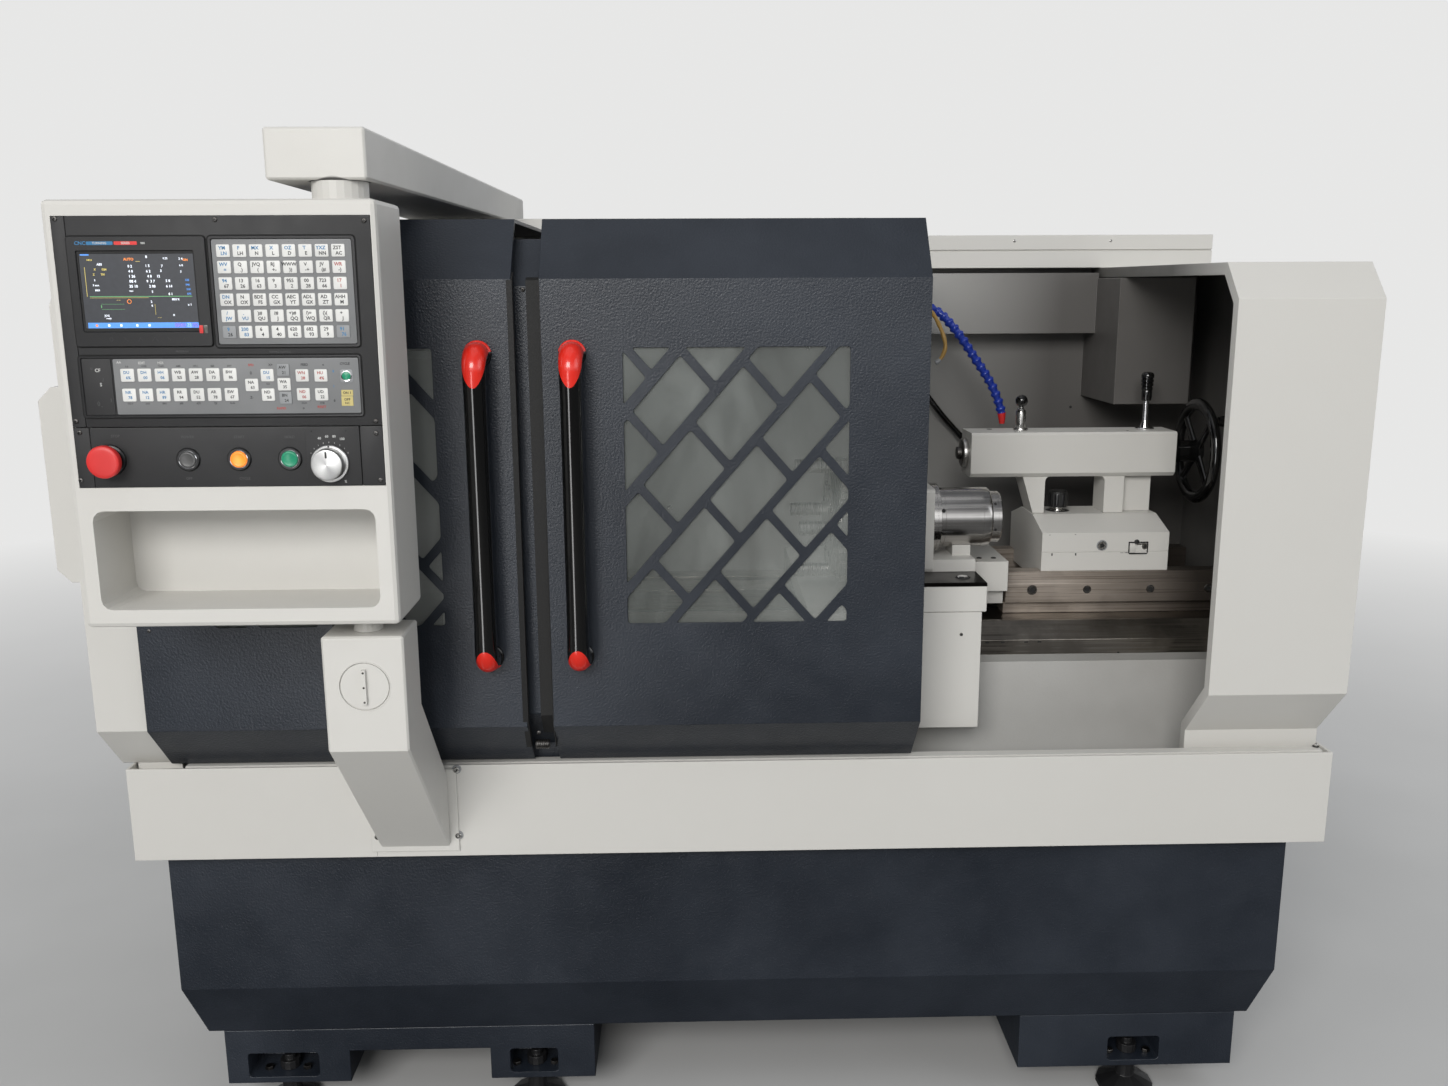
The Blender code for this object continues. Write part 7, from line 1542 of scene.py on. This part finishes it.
def turret_drum():
    """The drive cylinder: broad ring, banded drum with tapped holes, stepped cap."""
    bm = bmesh.new()
    centre = (0.300, 1.075)
    lathe(bm, [
        (1.3793, 0.0), (1.3793, 0.0610), (1.3802, 0.0625), (1.3868, 0.0625), (1.3871, 0.0618),
        (1.3878, 0.0618),
        (1.3881, 0.0625), (1.3932, 0.0625), (1.3942, 0.0610), (1.3943, 0.0540), (1.4020, 0.0540),
        (1.4023, 0.0534),
        (1.4030, 0.0534), (1.4033, 0.0540), (1.4700, 0.0540), (1.4703, 0.0534), (1.4712, 0.0534),
        (1.4715, 0.0540),
        (1.4850, 0.0540), (1.4876, 0.0522), (1.4883, 0.0512), (1.4884, 0.0465), (1.4990, 0.0465),
        (1.4993, 0.0459),
        (1.5000, 0.0459), (1.5003, 0.0465), (1.5050, 0.0465), (1.5068, 0.0452), (1.5073, 0.0430),
        (1.5073, 0.0),
    ], "X", centre, 96, 0)
    for index in range(6):
        turn = math.radians(22 + 60 * index)
        for along, radius, size in ((1.3985, 0.0541, 0.0036), (1.4940, 0.0466, 0.0026)):
            if turn > math.pi and along < 1.45:
                continue
            dark_spot(bm, along, centre, radius, turn + (0.3 if along > 1.45 else 0.0), size)
    for index in range(8):
        turn = math.tau * (index + 0.5) / 8
        spot = (1.5073, centre[0] + 0.034 * math.cos(turn), centre[1] + 0.034 * math.sin(turn))
        socket_screw(bm, spot, "X", 1, 0.0040, 0.0006, 0, 1)
    finish_piece("turret_drum", bm, [drum_steel_painted_streaks, rubber], "cross_slide_body",
                 replaces=("turret_drive_cylinder",))


def dark_spot(bm, along, centre, radius, turn, size):
    """A tapped hole's dark mouth on a turned surface."""
    ring = []
    for step in range(14):
        angle = math.tau * step / 14
        swing = turn + size * math.sin(angle) / radius
        ring.append(bm.verts.new((
            along + size * math.cos(angle), centre[0] - (radius + 0.0001) * math.cos(swing),
            centre[1] + (radius + 0.0001) * math.sin(swing),
        )))
    close_ring(bm, ring, 1)


# The drum's light and dark streaks run along its axis as painted reflections of bright windows.
drum_steel_painted_streaks = steel("drum_steel_painted_streaks", (0.74, 0.72, 0.70), (0.36, 0.345, 0.33), 0.20, (1.2, 95.0, 95.0), 0.08)


def tailstock_fittings():
    bm = bmesh.new()
    socket_screw(bm, (1.7212, 0.353, 1.0076), "Y", -1, 0.0080, 0.0016, 0, 1)
    torus_like(
        bm, [(TAILSTOCK_FRONT_Y, 0.0080), (TAILSTOCK_FRONT_Y, 0.0102), (0.3522, 0.0100), (0.3520, 0.0082)],
        "Y", (1.7212, 1.0076),
        32, 2
    )
    frame_plate(
        bm, (1.7716, 1.8090, 0.9925, 1.0140), (1.7736, 1.8070, 0.9905, 1.0118), TAILSTOCK_FRONT_Y, 0.3516,
        0.0008,
        0.0004, 0.0003, 1
    )
    plate(bm, 1.7745, 1.7840, 0.9935, 1.0060, TAILSTOCK_FRONT_Y, 0.3505, 0.0004, 0.0003, 3)
    plate(bm, 1.7845, 1.8060, 1.0085, 1.0112, TAILSTOCK_FRONT_Y, 0.3505, 0.0010, 0.0004, 0)
    lathe(
        bm, [(TAILSTOCK_FRONT_Y, 0.0050), (0.3512, 0.0048), (0.3502, 0.0030), (0.3500, 0.0)], "Y",
        (1.7870, 1.0135),
        20, 1
    )
    socket_screw(bm, (1.8023, TAILSTOCK_FRONT_Y, 1.0045), "Y", -1, 0.0052, 0.0020, 0, 1)
    for x in (1.6271, 1.6722):
        plate(bm, x - 0.0012, x + 0.0012, 0.9886, 0.9932, 0.3531, 0.3527, mat=1)
    for x in (1.7600, 1.7680):
        plate(bm, x - 0.0030, x + 0.0030, 0.9926, 0.9934, 0.3531, 0.3528, mat=1)
    for x, z in ((1.6215, 1.0285), (1.6700, 1.0290)):
        plate(bm, x - 0.0014, x + 0.0014, z - 0.0004, z + 0.0004, 0.3531, 0.3528, mat=1)
    lathe(
        bm, [(BARREL_TOP_Z, 0.0), (BARREL_TOP_Z, 0.0055), (1.2136, 0.0050), (1.2136, 0.0)], "Z",
        (1.532, 0.4900), 24, 1
    )
    for x, y in ((1.5700, 0.4400), (1.7900, 0.4480)):
        lathe(
            bm, [(BARREL_TOP_Z, 0.0), (BARREL_TOP_Z, 0.0022), (1.2134, 0.0020), (1.2134, 0.0)], "Z", (x, y),
            16, 1
        )
    finish_piece(
        "tailstock_fittings", bm, [bright_steel, rubber, key_grey, white_paint], "tailstock_assembly"
    )


def clamp_knob_lobes():
    """Lobed black clamp knob under the barrel, over the CAD one."""
    bm = bmesh.new()
    base, steps = 1.0630, 72
    rings = []
    for z, scale in (
        (base, 0.86), (base + 0.003, 1.0), (base + 0.023, 1.0), (base + 0.0275, 0.93), (base + 0.0300, 0.72)
    ):
        ring = []
        for step in range(steps):
            turn = math.tau * step / steps
            reach = 0.0190 * scale * (
                1.0 - 0.045 * (1 + math.cos(8 * turn)) * (1.0 if scale > 0.8 else 0.4)
            )
            ring.append(bm.verts.new((1.668 + reach * math.cos(turn), 0.470 + reach * math.sin(turn), z)))
        rings.append(ring)
    skin_stack(bm, rings, 0)
    lathe(
        bm, [(1.0555, 0.0), (1.0555, 0.0150), (1.0570, 0.0150), (1.0575, 0.0092), (1.0632, 0.0092)], "Z",
        (1.668, 0.470), 32, 1
    )
    finish_piece("clamp_knob_lobes", bm, [frame_black, bright_steel], "tailstock_assembly")


# Coolant lines.
HOSE_KNOTS = (
    (1.395, 0.6795, 1.433), (1.395, 0.650, 1.433), (1.406, 0.610, 1.446), (1.436, 0.570, 1.440),
    (1.472, 0.555, 1.404), (1.512, 0.550, 1.348), (1.548, 0.548, 1.293), (1.567, 0.546, 1.245),
    (1.570, 0.545, 1.218),
)
PIPE_KNOTS = (
    (1.380, 0.7515, 1.352), (1.380, 0.735, 1.352), (1.394, 0.727, 1.336), (1.440, 0.727, 1.276),
    (1.482, 0.727, 1.222), (1.520, 0.727, 1.180), (1.544, 0.728, 1.156), (1.552, 0.735, 1.150),
    (1.552, 0.7515, 1.150),
)


def segmented_hose():
    """Snap-together balls: each swells from a waist, and its cup overlaps the next ball."""
    bm = bmesh.new()
    spots = smooth_route(HOSE_KNOTS, 0.0155 / 8)
    radii = []
    for index in range(len(spots)):
        phase = (index % 8) / 8
        if phase < 0.62:
            radii.append(0.0066 + 0.0034 * math.sin(math.pi * min(phase / 0.62, 1.0)) ** 0.6)
        else:
            radii.append(0.0076 - 0.0006 * math.sin(math.pi * (phase - 0.62) / 0.38))
    tip = len(spots) - 12
    for index in range(tip, len(spots)):
        radii[index] = max(0.0085 - 0.00030 * (index - tip), 0.0052)
    tube(bm, spots[:tip + 1], radii[:tip + 1], 24, 0)
    tube(bm, spots[tip:], radii[tip:], 24, 1)
    lathe(
        bm, [(0.6797, 0.0), (0.6797, 0.0120), (0.6690, 0.0120), (0.6680, 0.0100), (0.6680, 0.0)], "Y",
        (1.395, 1.433), 6, 0
    )
    finish_piece(
        "segmented_hose", bm, [hose_blue, stop_red], "machine", 60.0, replaces=("coolant_hose",),
    )


def oil_pipe():
    bm = bmesh.new()
    spots = smooth_route(PIPE_KNOTS, 0.004)
    tube(bm, spots, 0.0064, 20, 0)
    first, second = spots[6], spots[9]
    tube(bm, [first, first.lerp(second, 0.5), second], [0.0078, 0.0080, 0.0078], 6, 1)
    finish_piece("oil_pipe", bm, [gloss_black, bright_steel], "machine", 60.0, replaces=("coolant_pipe",))


def ochre_tube():
    bm = bmesh.new()
    knots = (
        (1.4130, 0.590, 1.4420), (1.4170, 0.560, 1.4460), (1.4250, 0.525, 1.4300),
        (1.4360, 0.505, 1.4020), (1.4428, 0.500, 1.3760), (1.4390, 0.500, 1.3580),
        (1.4330, 0.500, 1.3480),
    )
    spots = smooth_route(knots, 0.004)
    tube(bm, spots, [0.0040 + 0.0004 * math.sin(index * 0.9) for index in range(len(spots))], 16, 0)
    tail = smooth_route(((1.4332, 0.500, 1.3485), (1.4290, 0.500, 1.3440), (1.4245, 0.500, 1.3420)), 0.003)
    tube(bm, tail, 0.0044, 16, 1)
    finish_piece("ochre_tube", bm, [ochre, key_grey], "machine", 60.0)


# Fasteners and small fittings.
def washer_bolt(bm, centre, axis, out, radius, mat=0, ring=1):
    a = {"X": (centre[1], centre[2], centre[0]), "Y": (centre[0], centre[2], centre[1]), "Z": centre}[axis]
    base = a[2]
    torus_like(bm, [
        (base - out * 0.0003, radius * 0.45), (base - out * 0.0003, radius * 1.5),
        (base + out * 0.0012, radius * 1.46),
        (base + out * 0.0014, radius * 0.45),
    ], axis, (a[0], a[1]), 32, ring)
    shifted = {
        "X": (base + out * 0.0013, a[0], a[1]), "Y": (a[0], base + out * 0.0013, a[1]),
        "Z": (a[0], a[1], base + out * 0.0013)
    }[axis]
    socket_screw(bm, shifted, axis, out, radius, radius * 0.8, mat, 2)


def arm_fasteners():
    bm = bmesh.new()
    for x, z in ((0.5498, 0.6970), (0.5478, 0.5785), (0.4118, 0.5790)):
        washer_bolt(bm, (x, 0.0575, z), "Y", -1, 0.0052)
    finish_piece("arm_foot_bolts", bm, [bright_steel, key_grey, rubber], "machine")
    bm = bmesh.new()
    x, z, near = 0.475, 0.926, -0.1950
    for dz in (-0.022, 0.0, 0.022):
        cross_screw(bm, x, z + dz, near - 0.0058, 0.0017, 0, 1)
    torus_like(
        bm, [(near + 0.0002, 0.0362), (near + 0.0002, 0.0378), (near - 0.0005, 0.0376),
            (near - 0.0005, 0.0364)], "Y", (x, z), 72, 2
    )
    finish_piece("hatch_details", bm, [dark_steel, rubber, white_paint], "machine")


def enclosure_fasteners():
    """Screws and holes in the back wall, the beam and the covers."""
    bm = bmesh.new()
    socket_screw(bm, (1.8239, 0.680, 1.403), "Y", -1, 0.0062, 0.0040, 0, 1)
    for x, z, radius in (
        (1.9950, 1.2759, 0.0060), (1.9946, 1.2545, 0.0042), (1.7700, 1.2300, 0.0030),
        (1.4600, 1.0500, 0.0040)
    ):
        lathe(
            bm, [(0.7522, 0.0), (0.7522, radius), (0.7514, radius * 0.9), (0.7514, 0.0)], "Y", (x, z), 24, 1
        )
    for x, z in ((0.90, 1.36), (1.20, 1.36), (0.90, 1.02), (1.20, 1.02), (1.56, 1.02), (0.72, 1.19)):
        socket_screw(bm, (x, 0.7520, z), "Y", -1, 0.0045, 0.0022, 0, 1)
    for z in (1.395, 1.216, 1.026, 0.890):
        socket_screw(bm, (2.0280, 0.3300, z), "X", -1, 0.0045, 0.0020, 0, 1)
    washer_bolt(bm, (2.0250, 0.0870, 0.7045), "Z", 1, 0.0036)
    for x, z in ((1.62, 1.578), (1.42, 1.578), (1.82, 1.578)):
        cross_screw(bm, x, z, 0.7000, 0.0030, 0, 1)
    finish_piece("enclosure_fasteners", bm, [bright_steel, rubber, dark_steel], "machine")


def mullion_details():
    bm = bmesh.new()
    cross_screw(bm, 0.6935, 1.4860, 0.0298, 0.0036, 0, 1)
    cross_screw(bm, 0.6935, 0.7700, 0.0298, 0.0036, 0, 1)
    profile = [(0.6880, 0.0)]
    for step in range(7):
        start = 0.6880 + 0.0032 * step
        profile += [(start, 0.0072), (start + 0.0014, 0.0080), (start + 0.0026, 0.0072)]
    profile += [(0.7110, 0.0060), (0.7110, 0.0)]
    lathe(bm, profile, "X", (0.0310, 0.7500), 32, 0)
    # A black rubber strip along the gap to the right door; it also stands in for the shade in that gap.
    folded_strip(bm, 0.6980, 0.7300, 0.0300, 0.0285, 1, 1.506, 0.760)
    finish_piece("mullion_fittings", bm, [dark_steel, rubber], "machine")


def door_details():
    bm = bmesh.new()
    cross_screw(bm, 0.0884, 0.9593, -0.0002, 0.0030, 0, 1)
    finish_piece("left_door_screw", bm, [dark_steel, rubber], "left_door_body")
    # Black rubber seals on the doors' edges; they also stand in for the shade in the gaps beside the
    # mullion.
    for name, left, right, body in (
        ("left_door_seal_gap_shade", 0.6725, 0.6812, "left_door_body"),
        ("right_door_seal_gap_shade", 0.7205, 0.7222, "right_door_body"),
    ):
        bm = bmesh.new()
        folded_strip(bm, left, right, 0.0120, -0.0006)
        finish_piece(name, bm, [rubber], body, bevel=0.0004)


def carriage_details():
    bm = bmesh.new()
    lathe(
        bm, [(0.9872, 0.0), (0.9872, 0.0105), (0.9886, 0.0100), (0.9900, 0.0080), (0.9904, 0.0)], "Z",
        (1.4234, 0.1898), 6, 0
    )
    lathe(
        bm, [(0.9871, 0.0), (0.9871, 0.0130), (0.9878, 0.0126), (0.9878, 0.0)], "Z", (1.4234, 0.1898), 32, 1
    )
    finish_piece("slide_plug", bm, [chrome, rubber], "cross_slide_body")
    bm = bmesh.new()
    for x, y in ((1.4860, 0.340), (1.5130, 0.340), (1.4860, 0.590), (1.5130, 0.590)):
        socket_screw(bm, (x, y, 0.9880), "Z", 1, 0.0048, 0.0018, 0, 1)
    for x in (1.180, 1.415):
        cross_screw(bm, x, 0.895, 0.1500, 0.0030, 0, 1)
    for z in (0.760, 0.895):
        socket_screw(bm, (1.4500, 0.1700, z), "X", 1, 0.0030, 0.0010, 0, 1)
    finish_piece("carriage_screws", bm, [dark_steel, rubber], "carriage_body")
    bm = bmesh.new()
    for index in range(8):
        turn = math.tau * (index + 0.5) / 8
        centre = (0.300 + 0.066 * math.cos(turn), 1.075 + 0.066 * math.sin(turn))
        socket_screw(bm, (1.1960, centre[0], centre[1]), "X", -1, 0.0048, 0.0016, 0, 1)
    finish_piece("turret_screws", bm, [dark_steel, rubber], "turret_body")


def bed_details():
    bm = bmesh.new()
    socket_screw(bm, (1.5860, RAIL_FRONT_Y, RAIL_SCREW_Z), "Y", -1, 0.0078, 0.0012, 0, 1)
    torus_like(
        bm, [(0.3302, 0.0080), (0.3302, 0.0096), (0.3296, 0.0094), (0.3296, 0.0082)], "Y",
        (1.5860, RAIL_SCREW_Z),
        32, 1
    )
    for x in (1.6900, 1.8100, 1.9200):
        socket_screw(bm, (x, RAIL_FRONT_Y, RAIL_SCREW_Z), "Y", -1, 0.0078, 0.0010, 0, 1)
    finish_piece("rail_screws", bm, [dark_steel, rubber], "machine")
    bm = bmesh.new()
    for x in (1.4800, 1.5083, 1.5509, 1.5750):
        plate(bm, x - 0.0035, x + 0.0035, 0.8560, 0.8580, 0.2282, 0.2276, 0.0006, mat=0, steps=2)
    for x in (1.35, 1.72):
        plate(bm, x - 0.0020, x + 0.0020, 0.8345, 0.8365, 0.2282, 0.2276, 0.0006, mat=0, steps=2)
    finish_piece("way_marks", bm, [rubber], "machine")


def tray_details():
    bm = bmesh.new()
    plate(bm, 0.4083, 0.4087, 0.5420, 0.7030, 0.0582, 0.0578, mat=0)
    for x in (0.4000, 1.2000):
        plate(bm, x, x + 0.0005, 0.5420, 0.7030, 0.9298, 0.9303, mat=0)
    finish_piece("tray_seams", bm, [ink["engraved"]], "machine")
    bm = bmesh.new()
    for x in (0.193, 0.6495, 1.760):
        for dx in (-0.036, 0.034):
            lathe(
                bm, [(0.0741, 0.0), (0.0741, 0.0080), (0.0790, 0.0080), (0.0800, 0.0070), (0.0800, 0.0)],
                "Z", (x + dx, 0.160), 6, 0
            )
    finish_piece("pocket_nuts", bm, [dark_steel], "machine")


def chuck_details():
    bm = bmesh.new()
    face = 0.6051
    for radius in (0.055, 0.080, 0.112):
        torus_like(bm, [
            (face - 0.0004, radius - 0.0005), (face - 0.0004, radius + 0.0005),
            (face, radius + 0.0004), (face, radius - 0.0004),
        ], "X", AXIS, 72, 1)
    for index in range(3):
        turn = math.tau * (index + 0.5) / 3
        spot = (face - 0.0002, AXIS[0] + 0.098 * math.cos(turn), AXIS[1] + 0.098 * math.sin(turn))
        socket_screw(bm, spot, "X", 1, 0.0070, 0.0014, 0, 1)
    finish_piece("chuck_screws", bm, [dark_steel, dark_steel], "spindle_body")


def cabinet_details():
    """Rear of the machine: hinge knuckles and louvres."""
    low, high = part_box("cabinet_door")
    bm = bmesh.new()
    for z in (low.z + 0.12, (low.z + high.z) / 2, high.z - 0.12):
        tube(bm, [(0.3300, 1.0985, z - 0.028), (0.3300, 1.0985, z + 0.028)], 0.0050, 16, 0)
    finish_piece("cabinet_hinge_knuckles", bm, [dark_steel], "machine")
    bm = bmesh.new()
    middle = (low.x + high.x) / 2
    door_face = 1.1013
    for bank in (low.z + 0.10, high.z - 0.18):
        for step in range(8):
            z = bank + 0.011 * step
            plate(
                bm, middle - 0.075, middle + 0.075, z, z + 0.0062, door_face, door_face + 0.0016, 0.0028,
                0.0007, 0, steps=4
            )
            plate(
                bm, middle - 0.070, middle + 0.070, z + 0.0002, z + 0.0010, door_face + 0.0014,
                door_face + 0.0018, mat=1
            )
    finish_piece("cabinet_louvres", bm, [white_paint, rubber], "cabinet_door_body")


def base_details():
    """The gear cover's screws."""
    bm = bmesh.new()
    for x in (-0.050, -0.034):
        for z in (1.040, 1.305):
            socket_screw(bm, (x, 0.1202, z), "Y", -1, 0.0046, 0.0020, 0, 1)
    finish_piece("gear_cover_screws", bm, [bright_steel, rubber], "machine")


def build_pieces():
    finish = handle_finish()
    door_handle("left_pull_handle", 0.625, "left_door_body", "left_handle", finish)
    door_handle("right_pull_handle", 0.769, "right_door_body", "right_handle", finish)
    panel_plates()
    screen_unit()
    screen_content()
    keypad()
    mode_keys()
    panel_legends()
    stop_button()
    push_button("grey_push", 0.2653, "grey_body", "grey_button", button_grey)
    push_button("orange_push", 0.3341, "orange_body", "orange_button", orange_lens)
    push_button("green_push", 0.4027, "green_body", "green_button", button_green)
    dial_knob()
    tailstock_quill()
    quill_lever()
    tailstock_lever()
    handwheel()
    turret_drum()
    tailstock_fittings()
    clamp_knob_lobes()
    segmented_hose()
    oil_pipe()
    ochre_tube()
    arm_fasteners()
    enclosure_fasteners()
    mullion_details()
    door_details()
    carriage_details()
    bed_details()
    tray_details()
    chuck_details()
    cabinet_details()
    base_details()


build_pieces()


dress_nodes()
build_stage()
